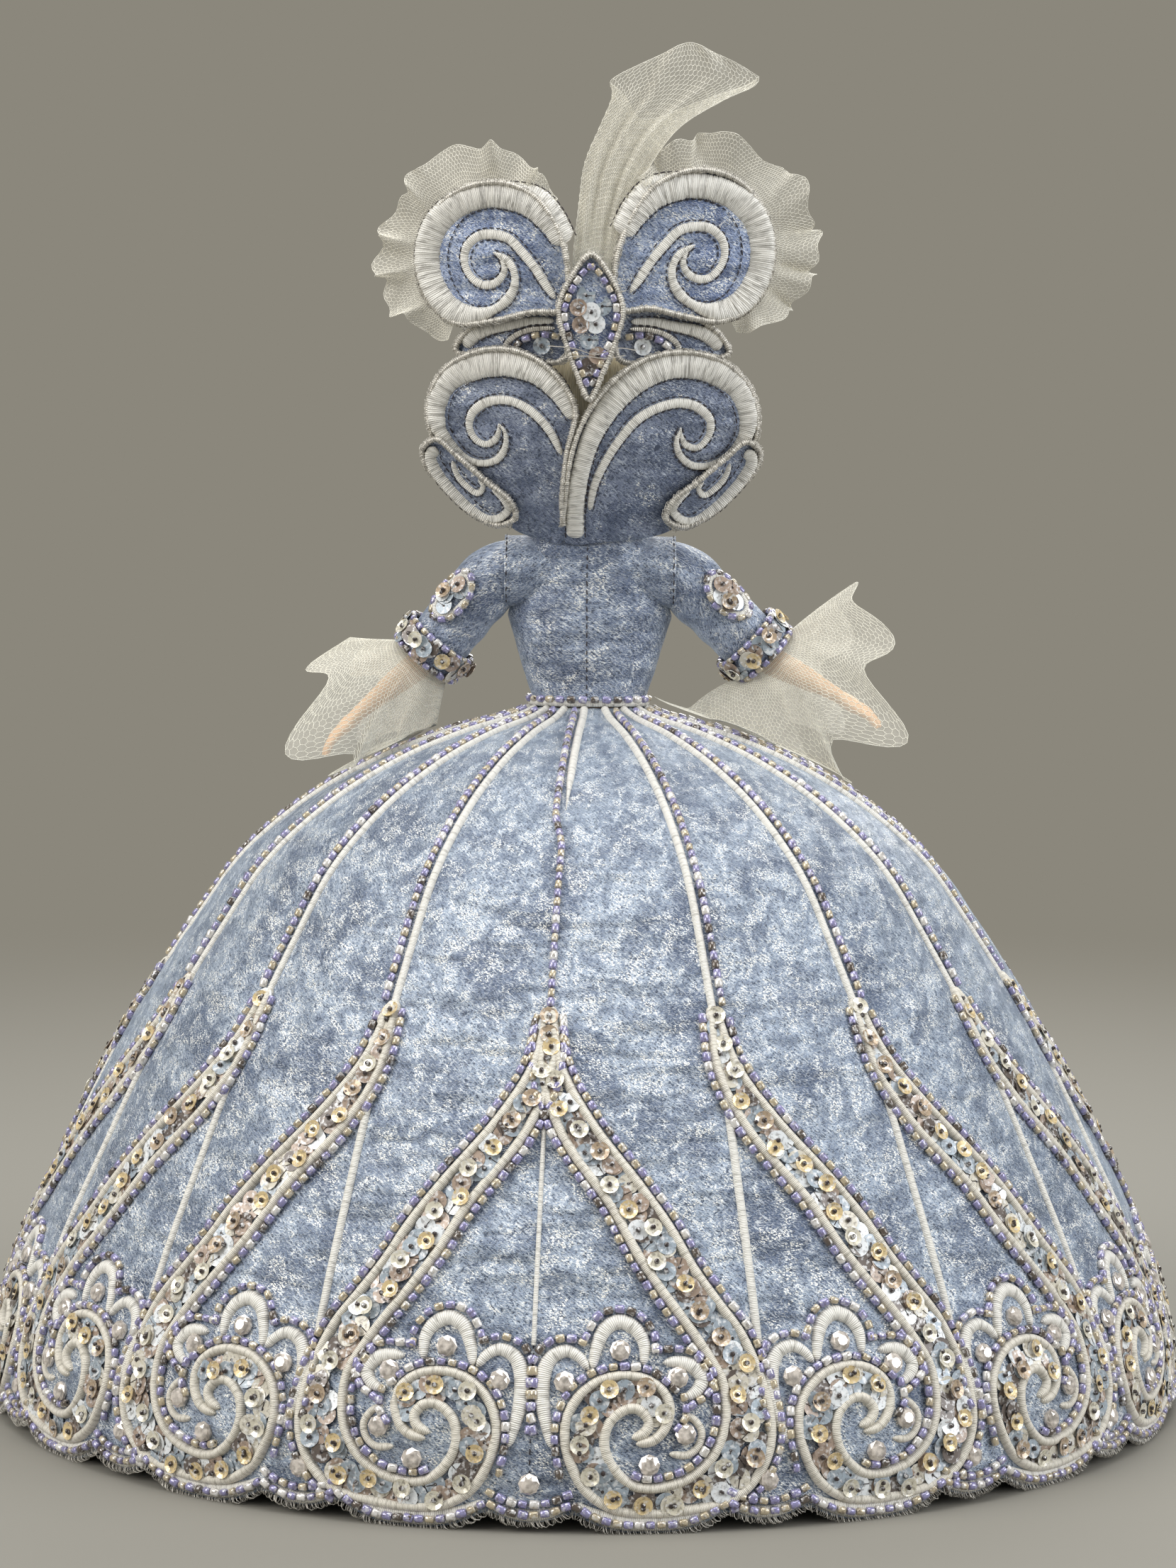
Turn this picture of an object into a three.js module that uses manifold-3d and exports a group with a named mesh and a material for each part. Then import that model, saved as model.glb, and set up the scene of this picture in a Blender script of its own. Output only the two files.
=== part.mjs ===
// A fashion doll in a court gown: a jointed doll inside a boned bell skirt, with a standing collar
// shaped like a butterfly. Millimetres, +Z up, +Y the way the doll faces, +X its right-hand side.
// The origin is the centre of the hem circle, on the surface that the doll stands on.
import * as THREE from 'three';
import { mergeVertices } from 'three/addons/utils/BufferGeometryUtils.js';
import Module from 'manifold-3d';

const wasm = await Module();
wasm.setup();

// Driving dimensions, in millimetres and degrees
const SEAT_GAP = 0.3; // between two pieces that touch
const RUN_GAP = 0.4; // between a turning piece and its seat

// Bell skirt
const HEM_RADIUS = 166;
const WAIST_HEIGHT = 190;
const WAIST_RX = 15.8;
const WAIST_RY = 12.4;
const SKIRT_CLOTH = 1.2;
const GORES = 18;
const GORE_PUFF = 1.3;
const SKIRT_TWIST = -4.3; // the back seam sits this far towards the doll's left
const HEM_NOTCH = 5.0; // height of the notches between two scallops
const SMALL_SCALLOP_RISE = 2.2;

// Crinoline under the skirt
const TAPES = 6;
const TAPE_WIDTH = 6;
const TAPE_THICKNESS = 0.5;
const HOOP_WIRE = 1.1; // radius of the covered wire
const HOOP_HEIGHTS = { hoop_lower: 27, hoop_middle: 92, hoop_upper: 146 };
const BAND_HEIGHT = 4.6;
const BAND_THICKNESS = 0.7;

// Trunk
const HIP_DROP = 38; // from the waist down to the pin through the hips
const HIP_HEIGHT = WAIST_HEIGHT - HIP_DROP;
const HIP_DISC = 11.2; // radius of the legs' round tops
const HIP_DISC_INNER = 3.9; // from the middle plane to a leg's inner face
const HIP_DISC_WIDTH = 14;
const AXLE_RADIUS = 2;
const BACK_LENGTH = 38; // from the waist up to the shoulders' axis
const SHOULDER_HEIGHT = WAIST_HEIGHT + BACK_LENGTH;
const SHOULDER_FACE = 18.3; // from the middle plane to the shoulder's flat seat
const SHOULDER_BOSS = 7.2;
const BOSS_START = 13.6;
const PEG_RADIUS = 2.4;
const FLANGE_RADIUS = 4.4;
const FLANGE_WIDTH = 2.4;
const FLANGE_INNER = 10;
const NECK_RISE = 22; // from the shoulders' axis up to the top of the neck
const NECK_TOP = SHOULDER_HEIGHT + NECK_RISE;
const NECK_RADIUS = 5;
const KNOB_POST = 3.2;
const KNOB_RADIUS = 4.8;
const KNOB_POST_HEIGHT = 5.6;
const KNOB_HEIGHT = 5;

// Bodice and sleeves
const BODICE_CLOTH = 1.2;
const NECKLINE_RISE = 10; // from the shoulders' axis up to the gown's edge
const NECKLINE_HEIGHT = SHOULDER_HEIGHT + NECKLINE_RISE;
const NECKLINE_SCOOP = 10.6;
const SLEEVE_RADIUS = 8.8;
const SLEEVE_CLOTH = 1.0;
const SLEEVE_START = 14.4;
const CUFF_WIDTH = 8;
const CUFF_THICKNESS = 1.3;

// Standing collar
const PANEL_THICKNESS = 1.0;
const BORDER_CROWN = 0.9;
const LAYER_GAP = 0.6; // between overlapping panels, measured along Y
const LAYER_PITCH = PANEL_THICKNESS + BORDER_CROWN + LAYER_GAP;
const SCROLL_WIDTH = 2.4;
const SCROLL_HEIGHT = 0.9;
const NET_THICKNESS = 0.6;

// Arms: elbow, wrist, palm and fingertip of each side, as outwards, forwards and down from the shoulder's axis
const ARM_ROUTES = {
  left: { elbow: [46.5, 4, 25], wrist: [64, 13, 39.5], palm: [70, 16, 45], tip: [77, 19.5, 52.2] },
  right: { elbow: [49.7, 4, 23.5], wrist: [69, 12, 33.5], palm: [75.5, 14.5, 37.4], tip: [83.6, 17.5, 41.8] },
};
const SIDE_SIGN = { left: -1, right: 1 };

// Finishes
const finish = (color, roughness, metalness = 0) =>
  new THREE.MeshStandardMaterial({ color, roughness, metalness, side: THREE.DoubleSide });
const BROCADE = () => finish(0x8fa3bd, 0.45, 0.35);
const SATIN = () => finish(0xdcd8cc, 0.4);
const NET = () => finish(0xd8d2bc, 0.8);
const VINYL = () => finish(0xe0ad7a, 0.5);
const PLASTIC = () => finish(0xd9a878, 0.6);
const HAIR = () => finish(0xd9cdb2, 0.55);
const WIRE_COVER = () => finish(0xe8e6de, 0.8);
const SHOE = () => finish(0xc9d3df, 0.35, 0.2);
const BEADWORK = () => finish(0x8d8794, 0.35, 0.4);

// Small helpers
const vec = (x, y, z) => new THREE.Vector3(x, y, z);
const radians = THREE.MathUtils.degToRad;
const lerp = THREE.MathUtils.lerp;

// A closed geometry from vertices and triangles, turned so that its faces point outwards.
function closedGeometry(vertices, triangles) {
  let volume = 0;
  for (const [a, b, c] of triangles) {
    volume += vertices[a].dot(vertices[b].clone().cross(vertices[c]));
  }
  const order = volume < 0 ? [0, 2, 1] : [0, 1, 2];
  const position = [];
  for (const triangle of triangles) {
    for (const k of order) {
      position.push(...vertices[triangle[k]].toArray());
    }
  }
  const geometry = new THREE.BufferGeometry();
  geometry.setAttribute('position', new THREE.Float32BufferAttribute(position, 3));
  return mergeVertices(geometry, 1e-4);
}

// A loft through rings of equally many points, closed by a fan at each end.
function loft(rings) {
  const count = rings[0].length;
  const vertices = rings.flat();
  const triangles = [];
  for (let r = 0; r + 1 < rings.length; r++) {
    for (let i = 0; i < count; i++) {
      const a = r * count + i;
      const b = r * count + ((i + 1) % count);
      triangles.push([a, b, b + count], [a, b + count, a + count]);
    }
  }
  const cap = (ring, start, flip) => {
    const middle = ring.reduce((sum, p) => sum.add(p), vec(0, 0, 0)).divideScalar(count);
    vertices.push(middle);
    const m = vertices.length - 1;
    for (let i = 0; i < count; i++) {
      const a = start + i;
      const b = start + ((i + 1) % count);
      triangles.push(flip ? [m, b, a] : [m, a, b]);
    }
  };
  cap(rings[0], 0, true);
  cap(rings[rings.length - 1], (rings.length - 1) * count, false);
  return closedGeometry(vertices, triangles);
}

// A wall between an outer and an inner skin, each a list of rings; the skins are joined at both ends.
function wall(outer, inner) {
  const count = outer[0].length;
  const vertices = [...outer.flat(), ...inner.flat()];
  const triangles = [];
  const strip = (startA, startB, flip) => {
    for (let i = 0; i < count; i++) {
      const j = (i + 1) % count;
      const [a, b, c, d] = [startA + i, startA + j, startB + j, startB + i];
      triangles.push(flip ? [a, c, b] : [a, b, c], flip ? [a, d, c] : [a, c, d]);
    }
  };
  const innerStart = outer.length * count;
  for (let r = 0; r + 1 < outer.length; r++) {
    strip(r * count, (r + 1) * count, false);
  }
  for (let r = 0; r + 1 < inner.length; r++) {
    strip(innerStart + r * count, innerStart + (r + 1) * count, true);
  }
  strip(0, innerStart, true);
  strip((outer.length - 1) * count, innerStart + (inner.length - 1) * count, false);
  return closedGeometry(vertices, triangles);
}

// A level ellipse of points.
function levelRing([z, rx, ry, y = 0, x = 0], count) {
  return Array.from({ length: count }, (_, i) => {
    const a = (2 * Math.PI * i) / count;
    return vec(x + rx * Math.sin(a), y - ry * Math.cos(a), z);
  });
}

// Rings square to a route, each an ellipse; frames are carried along the route without twisting.
function routeRings(points, radii, count, flatAxis = vec(0, 0, 1)) {
  return points.map((p, i) => {
    const before = points[Math.max(i - 1, 0)];
    const after = points[Math.min(i + 1, points.length - 1)];
    const along = after.clone().sub(before).normalize();
    const side = along.clone().cross(flatAxis).normalize();
    const up = side.clone().cross(along).normalize();
    const [ra, rb] = radii[i];
    return Array.from({ length: count }, (_, k) => {
      const a = (2 * Math.PI * k) / count;
      return p.clone().addScaledVector(side, ra * Math.cos(a)).addScaledVector(up, rb * Math.sin(a));
    });
  });
}

// Solids for joining and cutting
function toSolid(geometry) {
  const merged = mergeVertices(new THREE.BufferGeometry().setAttribute('position',
    (geometry.index ? geometry.toNonIndexed() : geometry).getAttribute('position')), 1e-4);
  return new wasm.Manifold(new wasm.Mesh({
    numProp: 3,
    vertProperties: merged.attributes.position.array,
    triVerts: new Uint32Array(merged.index.array),
  }));
}

function toGeometry(solid) {
  const { vertProperties, triVerts, numProp } = solid.getMesh();
  const position = new Float32Array((vertProperties.length / numProp) * 3);
  for (let i = 0; i < position.length / 3; i++) {
    position.set(vertProperties.subarray(i * numProp, i * numProp + 3), i * 3);
  }
  const geometry = new THREE.BufferGeometry();
  geometry.setAttribute('position', new THREE.BufferAttribute(position, 3));
  geometry.setIndex(Array.from(triVerts));
  return geometry;
}

// A round bar along X between two distances, centred at (y, z).
function barAlongX(x0, x1, radius, y, z, sides = 20) {
  const bar = new THREE.CylinderGeometry(radius, radius, Math.abs(x1 - x0), sides);
  bar.rotateZ(Math.PI / 2);
  bar.translate((x0 + x1) / 2, y, z);
  return toSolid(bar);
}

function block(x0, x1, y0, y1, z0, z1) {
  const box = new THREE.BoxGeometry(x1 - x0, y1 - y0, z1 - z0);
  box.translate((x0 + x1) / 2, (y0 + y1) / 2, (z0 + z1) / 2);
  return toSolid(box);
}

const doll = new THREE.Group();
doll.name = 'fashion_doll';

function add(name, geometry, material) {
  const mesh = new THREE.Mesh(geometry, material);
  mesh.name = name;
  doll.add(mesh);
  return mesh;
}

// Bell skirt
// The bell's outline at the gore seams: heights as shares of the waist height, radii as shares of the
// spread between waist and hem.
const BELL_CURVE = new THREE.SplineCurve([
  [1.0, 0], [0.985, 0.045], [0.963, 0.15], [0.925, 0.275], [0.868, 0.405], [0.79, 0.525], [0.7, 0.61],
  [0.553, 0.73], [0.4, 0.83], [0.25, 0.92], [0.11, 0.98], [0.0, 1.0],
].map(([h, r]) => new THREE.Vector2(h, r)));
const BELL_POINTS = BELL_CURVE.getPoints(160);

function bellShare(z) {
  const h = z / WAIST_HEIGHT;
  for (let i = 0; i + 1 < BELL_POINTS.length; i++) {
    const [a, b] = [BELL_POINTS[i], BELL_POINTS[i + 1]];
    if (h <= a.x && h >= b.x) {
      return lerp(a.y, b.y, (a.x - h) / (a.x - b.x));
    }
  }
  return h > 1 ? 0 : 1;
}

const bellRadius = (z, waist = WAIST_RX) => waist + (HEM_RADIUS - waist) * bellShare(z);

// Height of the bell's outside at a distance from the axis.
function bellHeight(radius) {
  let z = WAIST_HEIGHT;
  while (z > 0 && bellRadius(z) < radius) {
    z -= 0.5;
  }
  return z;
}

const COLUMNS = GORES * 2;
const columnAngle = (i) => radians(SKIRT_TWIST) + (2 * Math.PI * i) / COLUMNS;
const puffAt = (z) => GORE_PUFF * THREE.MathUtils.smoothstep(WAIST_HEIGHT - z, 15, 60);

// A point of the bell at an angle from the back, drawn in by inset square to the cloth.
function bellPoint(angle, z, puff, inset) {
  const step = 0.5;
  const slope = (bellRadius(z - step) - bellRadius(z + step)) / (2 * step);
  const lengthOfNormal = Math.hypot(1, slope);
  const zIn = z - (inset * slope) / lengthOfNormal;
  const rIn = -inset / lengthOfNormal + puff;
  const rx = bellRadius(z, WAIST_RX) + rIn;
  const ry = bellRadius(z, WAIST_RY) + rIn;
  return vec(rx * Math.sin(angle), -ry * Math.cos(angle), zIn);
}

const bellRing = (z, inset) => Array.from({ length: COLUMNS }, (_, i) =>
  bellPoint(columnAngle(i), z, i % 2 ? puffAt(z) : 0, inset));

// The hem's fine columns: eight to a gore, with two on each large scallop's flat.
const HEM_COLUMNS = GORES * 8;
const hemAngle = (i) => radians(SKIRT_TWIST) + (2 * Math.PI * (i + 0.5)) / HEM_COLUMNS;
const gorePitch = 360 / GORES;

function hemRise(column) {
  const within = (((column + 0.5) / 8) % 1) * gorePitch - gorePitch / 2; // from the motif's middle
  const away = Math.abs(within);
  const notch = gorePitch * 0.325;
  const flat = gorePitch * 0.0625;
  if (away <= flat + 1e-6) {
    return 0;
  }
  if (away <= notch) {
    return HEM_NOTCH * ((away - flat) / (notch - flat)) ** 2;
  }
  const share = (gorePitch / 2 - away) / (gorePitch / 2 - notch);
  return SMALL_SCALLOP_RISE + (HEM_NOTCH - SMALL_SCALLOP_RISE) * share ** 2;
}

const OUTER_ROWS = [1, 0.985, 0.963, 0.925, 0.868, 0.79, 0.69, 0.55, 0.38, 0.2, 0.105].map((h) => h * WAIST_HEIGHT);
const INNER_ROWS = [1, 0.972, 0.91, 0.79, 0.6, 0.36, 0.105].map((h) => h * WAIST_HEIGHT);
const HEM_ROW = HEM_NOTCH + 3;

// Triangles between a coarse ring and a fine ring that has whole multiples of its points, offset by half.
function stitchFine(coarseStart, coarseCount, fineStart, fineCount, triangles, flip) {
  const ratio = fineCount / coarseCount;
  const put = (a, b, c) => triangles.push(flip ? [a, c, b] : [a, b, c]);
  for (let i = 0; i < coarseCount; i++) {
    const here = coarseStart + i;
    const next = coarseStart + ((i + 1) % coarseCount);
    const middle = ratio / 2;
    for (let k = 0; k < ratio; k++) {
      const a = fineStart + ((i * ratio + k) % fineCount);
      const b = fineStart + ((i * ratio + k + 1) % fineCount);
      if (k === middle - 1) {
        put(here, next, b);
        put(here, b, a);
      } else {
        put(k < middle ? here : next, b, a);
      }
    }
  }
}

function skirtShell() {
  const vertices = [];
  const triangles = [];
  const addRing = (ring) => {
    vertices.push(...ring);
    return vertices.length - ring.length;
  };
  const strip = (a0, b0, count, flip) => {
    for (let i = 0; i < count; i++) {
      const j = (i + 1) % count;
      const quad = [a0 + i, a0 + j, b0 + j, b0 + i];
      triangles.push(flip ? [quad[0], quad[2], quad[1]] : [quad[0], quad[1], quad[2]]);
      triangles.push(flip ? [quad[0], quad[3], quad[2]] : [quad[0], quad[2], quad[3]]);
    }
  };
  const skin = (rows, inset, flip) => {
    const starts = rows.map((z) => addRing(bellRing(z, inset)));
    for (let r = 0; r + 1 < starts.length; r++) {
      strip(starts[r], starts[r + 1], COLUMNS, flip);
    }
    const fine = (height) => Array.from({ length: HEM_COLUMNS }, (_, i) => {
      const p = bellPoint(hemAngle(i), HEM_ROW, 0, inset);
      return vec(p.x, p.y, height(i));
    });
    const rowStart = addRing(fine(() => HEM_ROW));
    const hemStart = addRing(fine(hemRise));
    stitchFine(starts[starts.length - 1], COLUMNS, rowStart, HEM_COLUMNS, triangles, flip);
    strip(rowStart, hemStart, HEM_COLUMNS, flip);
    return [starts[0], hemStart];
  };
  const [outerTop, outerHem] = skin(OUTER_ROWS, 0, false);
  const [innerTop, innerHem] = skin(INNER_ROWS, SKIRT_CLOTH, true);
  strip(outerHem, innerHem, HEM_COLUMNS, false);
  strip(outerTop, innerTop, COLUMNS, true);
  return closedGeometry(vertices, triangles);
}

add('skirt_shell', skirtShell(), BROCADE());

// Crinoline: tapes lie flat against the inside of the bell, hoops inside the tapes
const innerRings = INNER_ROWS.map((z) => bellRing(z, SKIRT_CLOTH));

// The bell's inside at a facet's middle and height z, drawn in by inset.
function facetPoint(facet, z, inset, across) {
  const corner = (ring) => {
    const a = ring[facet % COLUMNS];
    const b = ring[(facet + 1) % COLUMNS];
    return [a.clone().add(b).multiplyScalar(0.5), b.clone().sub(a).normalize()];
  };
  let row = 0;
  while (row + 2 < innerRings.length && innerRings[row + 1][0].z > z) {
    row++;
  }
  const [top, alongTop] = corner(innerRings[row]);
  const [low] = corner(innerRings[row + 1]);
  const point = top.clone().lerp(low, (top.z - z) / (top.z - low.z));
  const down = low.clone().sub(top).normalize();
  const inward = alongTop.clone().cross(down).normalize();
  if (inward.dot(vec(point.x, point.y, 0)) > 0) {
    inward.negate();
  }
  return point.addScaledVector(inward, inset).addScaledVector(alongTop, across);
}

const LAY_GAP = 0.45; // room for the tape where the bell's facets turn

function crinolineTape(facet) {
  const heights = [];
  innerRings.forEach((ring, r) => {
    if (r > 0 && r + 1 < innerRings.length) {
      heights.push(ring[0].z);
    }
  });
  const bottom = HOOP_HEIGHTS.hoop_lower - HOOP_WIRE - 2;
  const stops = [WAIST_HEIGHT - BAND_HEIGHT + 0.6, ...heights, bottom];
  const rings = stops.map((z) => {
    const outer = LAY_GAP;
    const inner = LAY_GAP + TAPE_THICKNESS;
    const half = z > WAIST_HEIGHT - 12 ? TAPE_WIDTH / 5 : TAPE_WIDTH / 2;
    return [[outer, -half], [outer, half], [inner, half], [inner, -half]].map(
      ([inset, across]) => facetPoint(facet, z, inset, across));
  });
  return loft(rings);
}

for (let i = 0; i < TAPES; i++) {
  add(`crinoline_tape_${i + 1}`, crinolineTape((i * COLUMNS) / TAPES), WIRE_COVER());
}

function hoop(z) {
  const inset = LAY_GAP + TAPE_THICKNESS + SEAT_GAP + HOOP_WIRE;
  const sides = 4;
  const rings = Array.from({ length: COLUMNS }, (_, i) => {
    const middle = facetPoint(i, z, inset, 0);
    const outward = vec(middle.x, middle.y, 0).normalize();
    return Array.from({ length: sides }, (_, k) => {
      const turn = (2 * Math.PI * k) / sides;
      return middle.clone().addScaledVector(outward, HOOP_WIRE * Math.cos(turn))
        .add(vec(0, 0, HOOP_WIRE * Math.sin(turn)));
    });
  });
  const vertices = rings.flat();
  const triangles = [];
  for (let i = 0; i < COLUMNS; i++) {
    for (let k = 0; k < sides; k++) {
      const a = i * sides + k;
      const b = i * sides + ((k + 1) % sides);
      const c = ((i + 1) % COLUMNS) * sides + ((k + 1) % sides);
      const d = ((i + 1) % COLUMNS) * sides + k;
      triangles.push([a, b, c], [a, c, d]);
    }
  }
  return closedGeometry(vertices, triangles);
}

for (const [name, z] of Object.entries(HOOP_HEIGHTS)) {
  add(name, hoop(z), WIRE_COVER());
}

// Trunk
const TRUNK_SIDES = 18;
const TRUNK_SECTIONS = [
  // height, half width, half depth, forward shift
  [HIP_HEIGHT - 11, 6, 6, -0.5],
  [HIP_HEIGHT - 6, 13, 11.4, -0.8],
  [HIP_HEIGHT, 19.4, 13.4, -1],
  [lerp(HIP_HEIGHT, WAIST_HEIGHT, 0.2), 21, 13.8, -1.2],
  [lerp(HIP_HEIGHT, WAIST_HEIGHT, 0.45), 19.6, 12.8, -1],
  [lerp(HIP_HEIGHT, WAIST_HEIGHT, 0.7), 15.4, 10.6, -0.2],
  [WAIST_HEIGHT, 13.2, 9.5, 0],
  [lerp(WAIST_HEIGHT, SHOULDER_HEIGHT, 0.26), 14.4, 10.2, 0.5],
  [lerp(WAIST_HEIGHT, SHOULDER_HEIGHT, 0.5), 16.6, 12.4, 1.8],
  [lerp(WAIST_HEIGHT, SHOULDER_HEIGHT, 0.66), 18, 13.8, 3],
  [lerp(WAIST_HEIGHT, SHOULDER_HEIGHT, 0.84), 18.8, 11.8, 1.6],
  [SHOULDER_HEIGHT + 1, 19.6, 9.6, 0.2],
  [lerp(SHOULDER_HEIGHT, NECKLINE_HEIGHT, 0.6), 18.8, 8.6, -0.3],
  [NECKLINE_HEIGHT, 15.5, 7.4, -0.5],
  [lerp(NECKLINE_HEIGHT, NECK_TOP, 0.25), 9.4, 6.4, -0.4],
  [lerp(NECKLINE_HEIGHT, NECK_TOP, 0.47), 6, 5.6, -0.2],
  [NECK_TOP, NECK_RADIUS, NECK_RADIUS, 0],
];

function trunkLoft(grow, from = -Infinity, to = Infinity) {
  const rows = TRUNK_SECTIONS.filter(([z]) => z > from && z < to);
  const at = (z) => {
    const above = TRUNK_SECTIONS.findIndex((row) => row[0] >= z);
    const [a, b] = [TRUNK_SECTIONS[above - 1], TRUNK_SECTIONS[above]];
    return a.map((value, k) => lerp(value, b[k], (z - a[0]) / (b[0] - a[0])));
  };
  if (from > -Infinity) {
    rows.unshift(at(from));
  }
  if (to < Infinity) {
    rows.push(at(to));
  }
  return toSolid(loft(rows.map(([z, rx, ry, y]) => levelRing([z, rx + grow, ry + grow, y], TRUNK_SIDES))));
}

function trunk() {
  let solid = trunkLoft(0);
  for (const side of [-1, 1]) {
    const x = (value) => side * value;
    const shoulderRoom = block(Math.min(x(BOSS_START), x(60)), Math.max(x(BOSS_START), x(60)), -30, 30,
      SHOULDER_HEIGHT - 11, NECK_TOP);
    const boss = barAlongX(x(BOSS_START - 1), x(SHOULDER_FACE), SHOULDER_BOSS, 0, SHOULDER_HEIGHT);
    solid = solid.subtract(shoulderRoom.subtract(boss));
    solid = solid.add(boss);
    solid = solid.subtract(barAlongX(x(FLANGE_INNER), x(SHOULDER_FACE + 5), PEG_RADIUS + RUN_GAP, 0, SHOULDER_HEIGHT));
    solid = solid.subtract(barAlongX(x(FLANGE_INNER - RUN_GAP), x(FLANGE_INNER + FLANGE_WIDTH + RUN_GAP),
      FLANGE_RADIUS + RUN_GAP, 0, SHOULDER_HEIGHT));
    const inner = HIP_DISC_INNER - RUN_GAP;
    solid = solid.subtract(barAlongX(x(inner), x(40), HIP_DISC + RUN_GAP, 0, HIP_HEIGHT, 24));
    solid = solid.subtract(block(Math.min(x(inner), x(40)), Math.max(x(inner), x(40)), -30, 30, 100, HIP_HEIGHT));
    // The front is cut high over the thigh, so that the leg can swing forwards.
    solid = solid.subtract(barAlongX(x(inner), x(40), HIP_DISC + 1.5, HIP_DISC * 0.9, HIP_HEIGHT + 1, 24));
  }
  return solid.subtract(barAlongX(-10, 10, AXLE_RADIUS + SEAT_GAP, 0, HIP_HEIGHT, 14));
}

add('torso', toGeometry(trunk()), PLASTIC());

// Neck knob
const knobBase = NECK_TOP + SEAT_GAP;
const knobProfile = [
  [0, 0], [KNOB_POST, 0], [KNOB_POST, KNOB_POST_HEIGHT], [KNOB_RADIUS, KNOB_POST_HEIGHT + 0.8],
  [KNOB_RADIUS, KNOB_POST_HEIGHT + 2.2], [KNOB_RADIUS * 0.7, KNOB_POST_HEIGHT + KNOB_HEIGHT - 0.8],
  [0, KNOB_POST_HEIGHT + KNOB_HEIGHT],
].map(([r, z]) => new THREE.Vector2(r, z));
const knob = new THREE.LatheGeometry(knobProfile, 12).rotateX(Math.PI / 2).translate(0, 0, knobBase);
add('neck_knob', knob, PLASTIC());

// Head
const HEAD_SIDES = 18;
const CHIN_HEIGHT = NECK_TOP + 0.6;
const HEAD_SECTIONS = [
  // height above the chin, half width, half depth, forward shift
  [0, 6.4, 7, 2.4],
  [2, 9, 10.6, 3.6],
  [5, 11.4, 13.6, 3.4],
  [10, 13.2, 15.4, 2.2],
  [15, 14.4, 16.6, 1.2],
  [21, 15.2, 17.2, 0.6],
  [27, 15.4, 17.4, 0.2],
  [33, 14.2, 16.4, -0.2],
  [37, 11.6, 13.6, -0.4],
  [40, 6.6, 8, -0.5],
];
const NOSE_RELIEF = { 10: 0.6, 15: 2.2, 21: 1.0 };
const CHIN_RELIEF = { 2: 0.9, 5: 0.8 };

function headLoft(grow) {
  const rings = HEAD_SECTIONS.map(([h, rx, ry, y]) => {
    const ring = levelRing([CHIN_HEIGHT + h, rx + grow, ry + grow, y], HEAD_SIDES);
    const front = ring[HEAD_SIDES / 2];
    front.y += NOSE_RELIEF[h] ?? CHIN_RELIEF[h] ?? 0;
    return ring;
  });
  const [first] = rings;
  if (grow > 0) {
    first.forEach((p) => { p.z -= grow; });
    rings[rings.length - 1].forEach((p) => { p.z += grow; });
  }
  return toSolid(loft(rings));
}

function neckSocket() {
  const throat = KNOB_POST + RUN_GAP;
  const cavity = KNOB_RADIUS + RUN_GAP;
  const top = KNOB_POST_HEIGHT + KNOB_HEIGHT + 1.2;
  const ledge = KNOB_POST_HEIGHT - RUN_GAP + SEAT_GAP;
  const profile = [
    [0, -3], [throat, -3], [throat, ledge], [cavity, ledge + 0.8], [cavity, top - 1], [cavity * 0.6, top], [0, top],
  ].map(([r, z]) => new THREE.Vector2(r, z));
  return toSolid(new THREE.LatheGeometry(profile, 12).rotateX(Math.PI / 2).translate(0, 0, NECK_TOP));
}

add('head', toGeometry(headLoft(0).subtract(neckSocket())), VINYL());

// Hair: a cap over the skull and a knot on the crown
const HAIR_DEPTH = 2.2;
const KNOT = { rise: 45.4, rx: 9.5, ry: 9, rz: 6.5, y: -2 };

function hair() {
  const nape = HEAD_SECTIONS.filter(([h]) => h >= 2).map(([h, rx, ry, y]) =>
    levelRing([CHIN_HEIGHT + h, rx + HAIR_DEPTH, ry + HAIR_DEPTH, y - 0.4], HEAD_SIDES));
  nape[nape.length - 1].forEach((p) => { p.z += HAIR_DEPTH + 1; });
  const cap = toSolid(loft(nape));
  const knot = toSolid(new THREE.SphereGeometry(1, 12, 8).rotateX(Math.PI / 2)
    .scale(KNOT.rx, KNOT.ry, KNOT.rz).translate(0, KNOT.y, CHIN_HEIGHT + KNOT.rise));
  const face = toSolid(new THREE.SphereGeometry(1, 16, 10).rotateX(Math.PI / 2)
    .scale(14.6, 20, 21.5).translate(0, 19, CHIN_HEIGHT + 13.5));
  const nose = block(-16, 16, 2, 40, CHIN_HEIGHT - 8, CHIN_HEIGHT + 8);
  return cap.add(knot).subtract(headLoft(SEAT_GAP)).subtract(face).subtract(nose);
}

add('hair', toGeometry(hair()), HAIR());

// Arms
function armCurve(side) {
  const s = SIDE_SIGN[side];
  const route = ARM_ROUTES[side];
  const at = ([x, y, down]) => vec(s * x, y, SHOULDER_HEIGHT - down);
  return {
    shoulder: vec(s * (SHOULDER_FACE + RUN_GAP), 0, SHOULDER_HEIGHT),
    bend: [vec(s * 23, 0, SHOULDER_HEIGHT), vec(s * 27.5, 0.2, SHOULDER_HEIGHT - 2.6),
      vec(s * 31, 0.6, SHOULDER_HEIGHT - 6)],
    elbow: at(route.elbow),
    wrist: at(route.wrist),
    palm: at(route.palm),
    tip: at(route.tip),
  };
}

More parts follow.
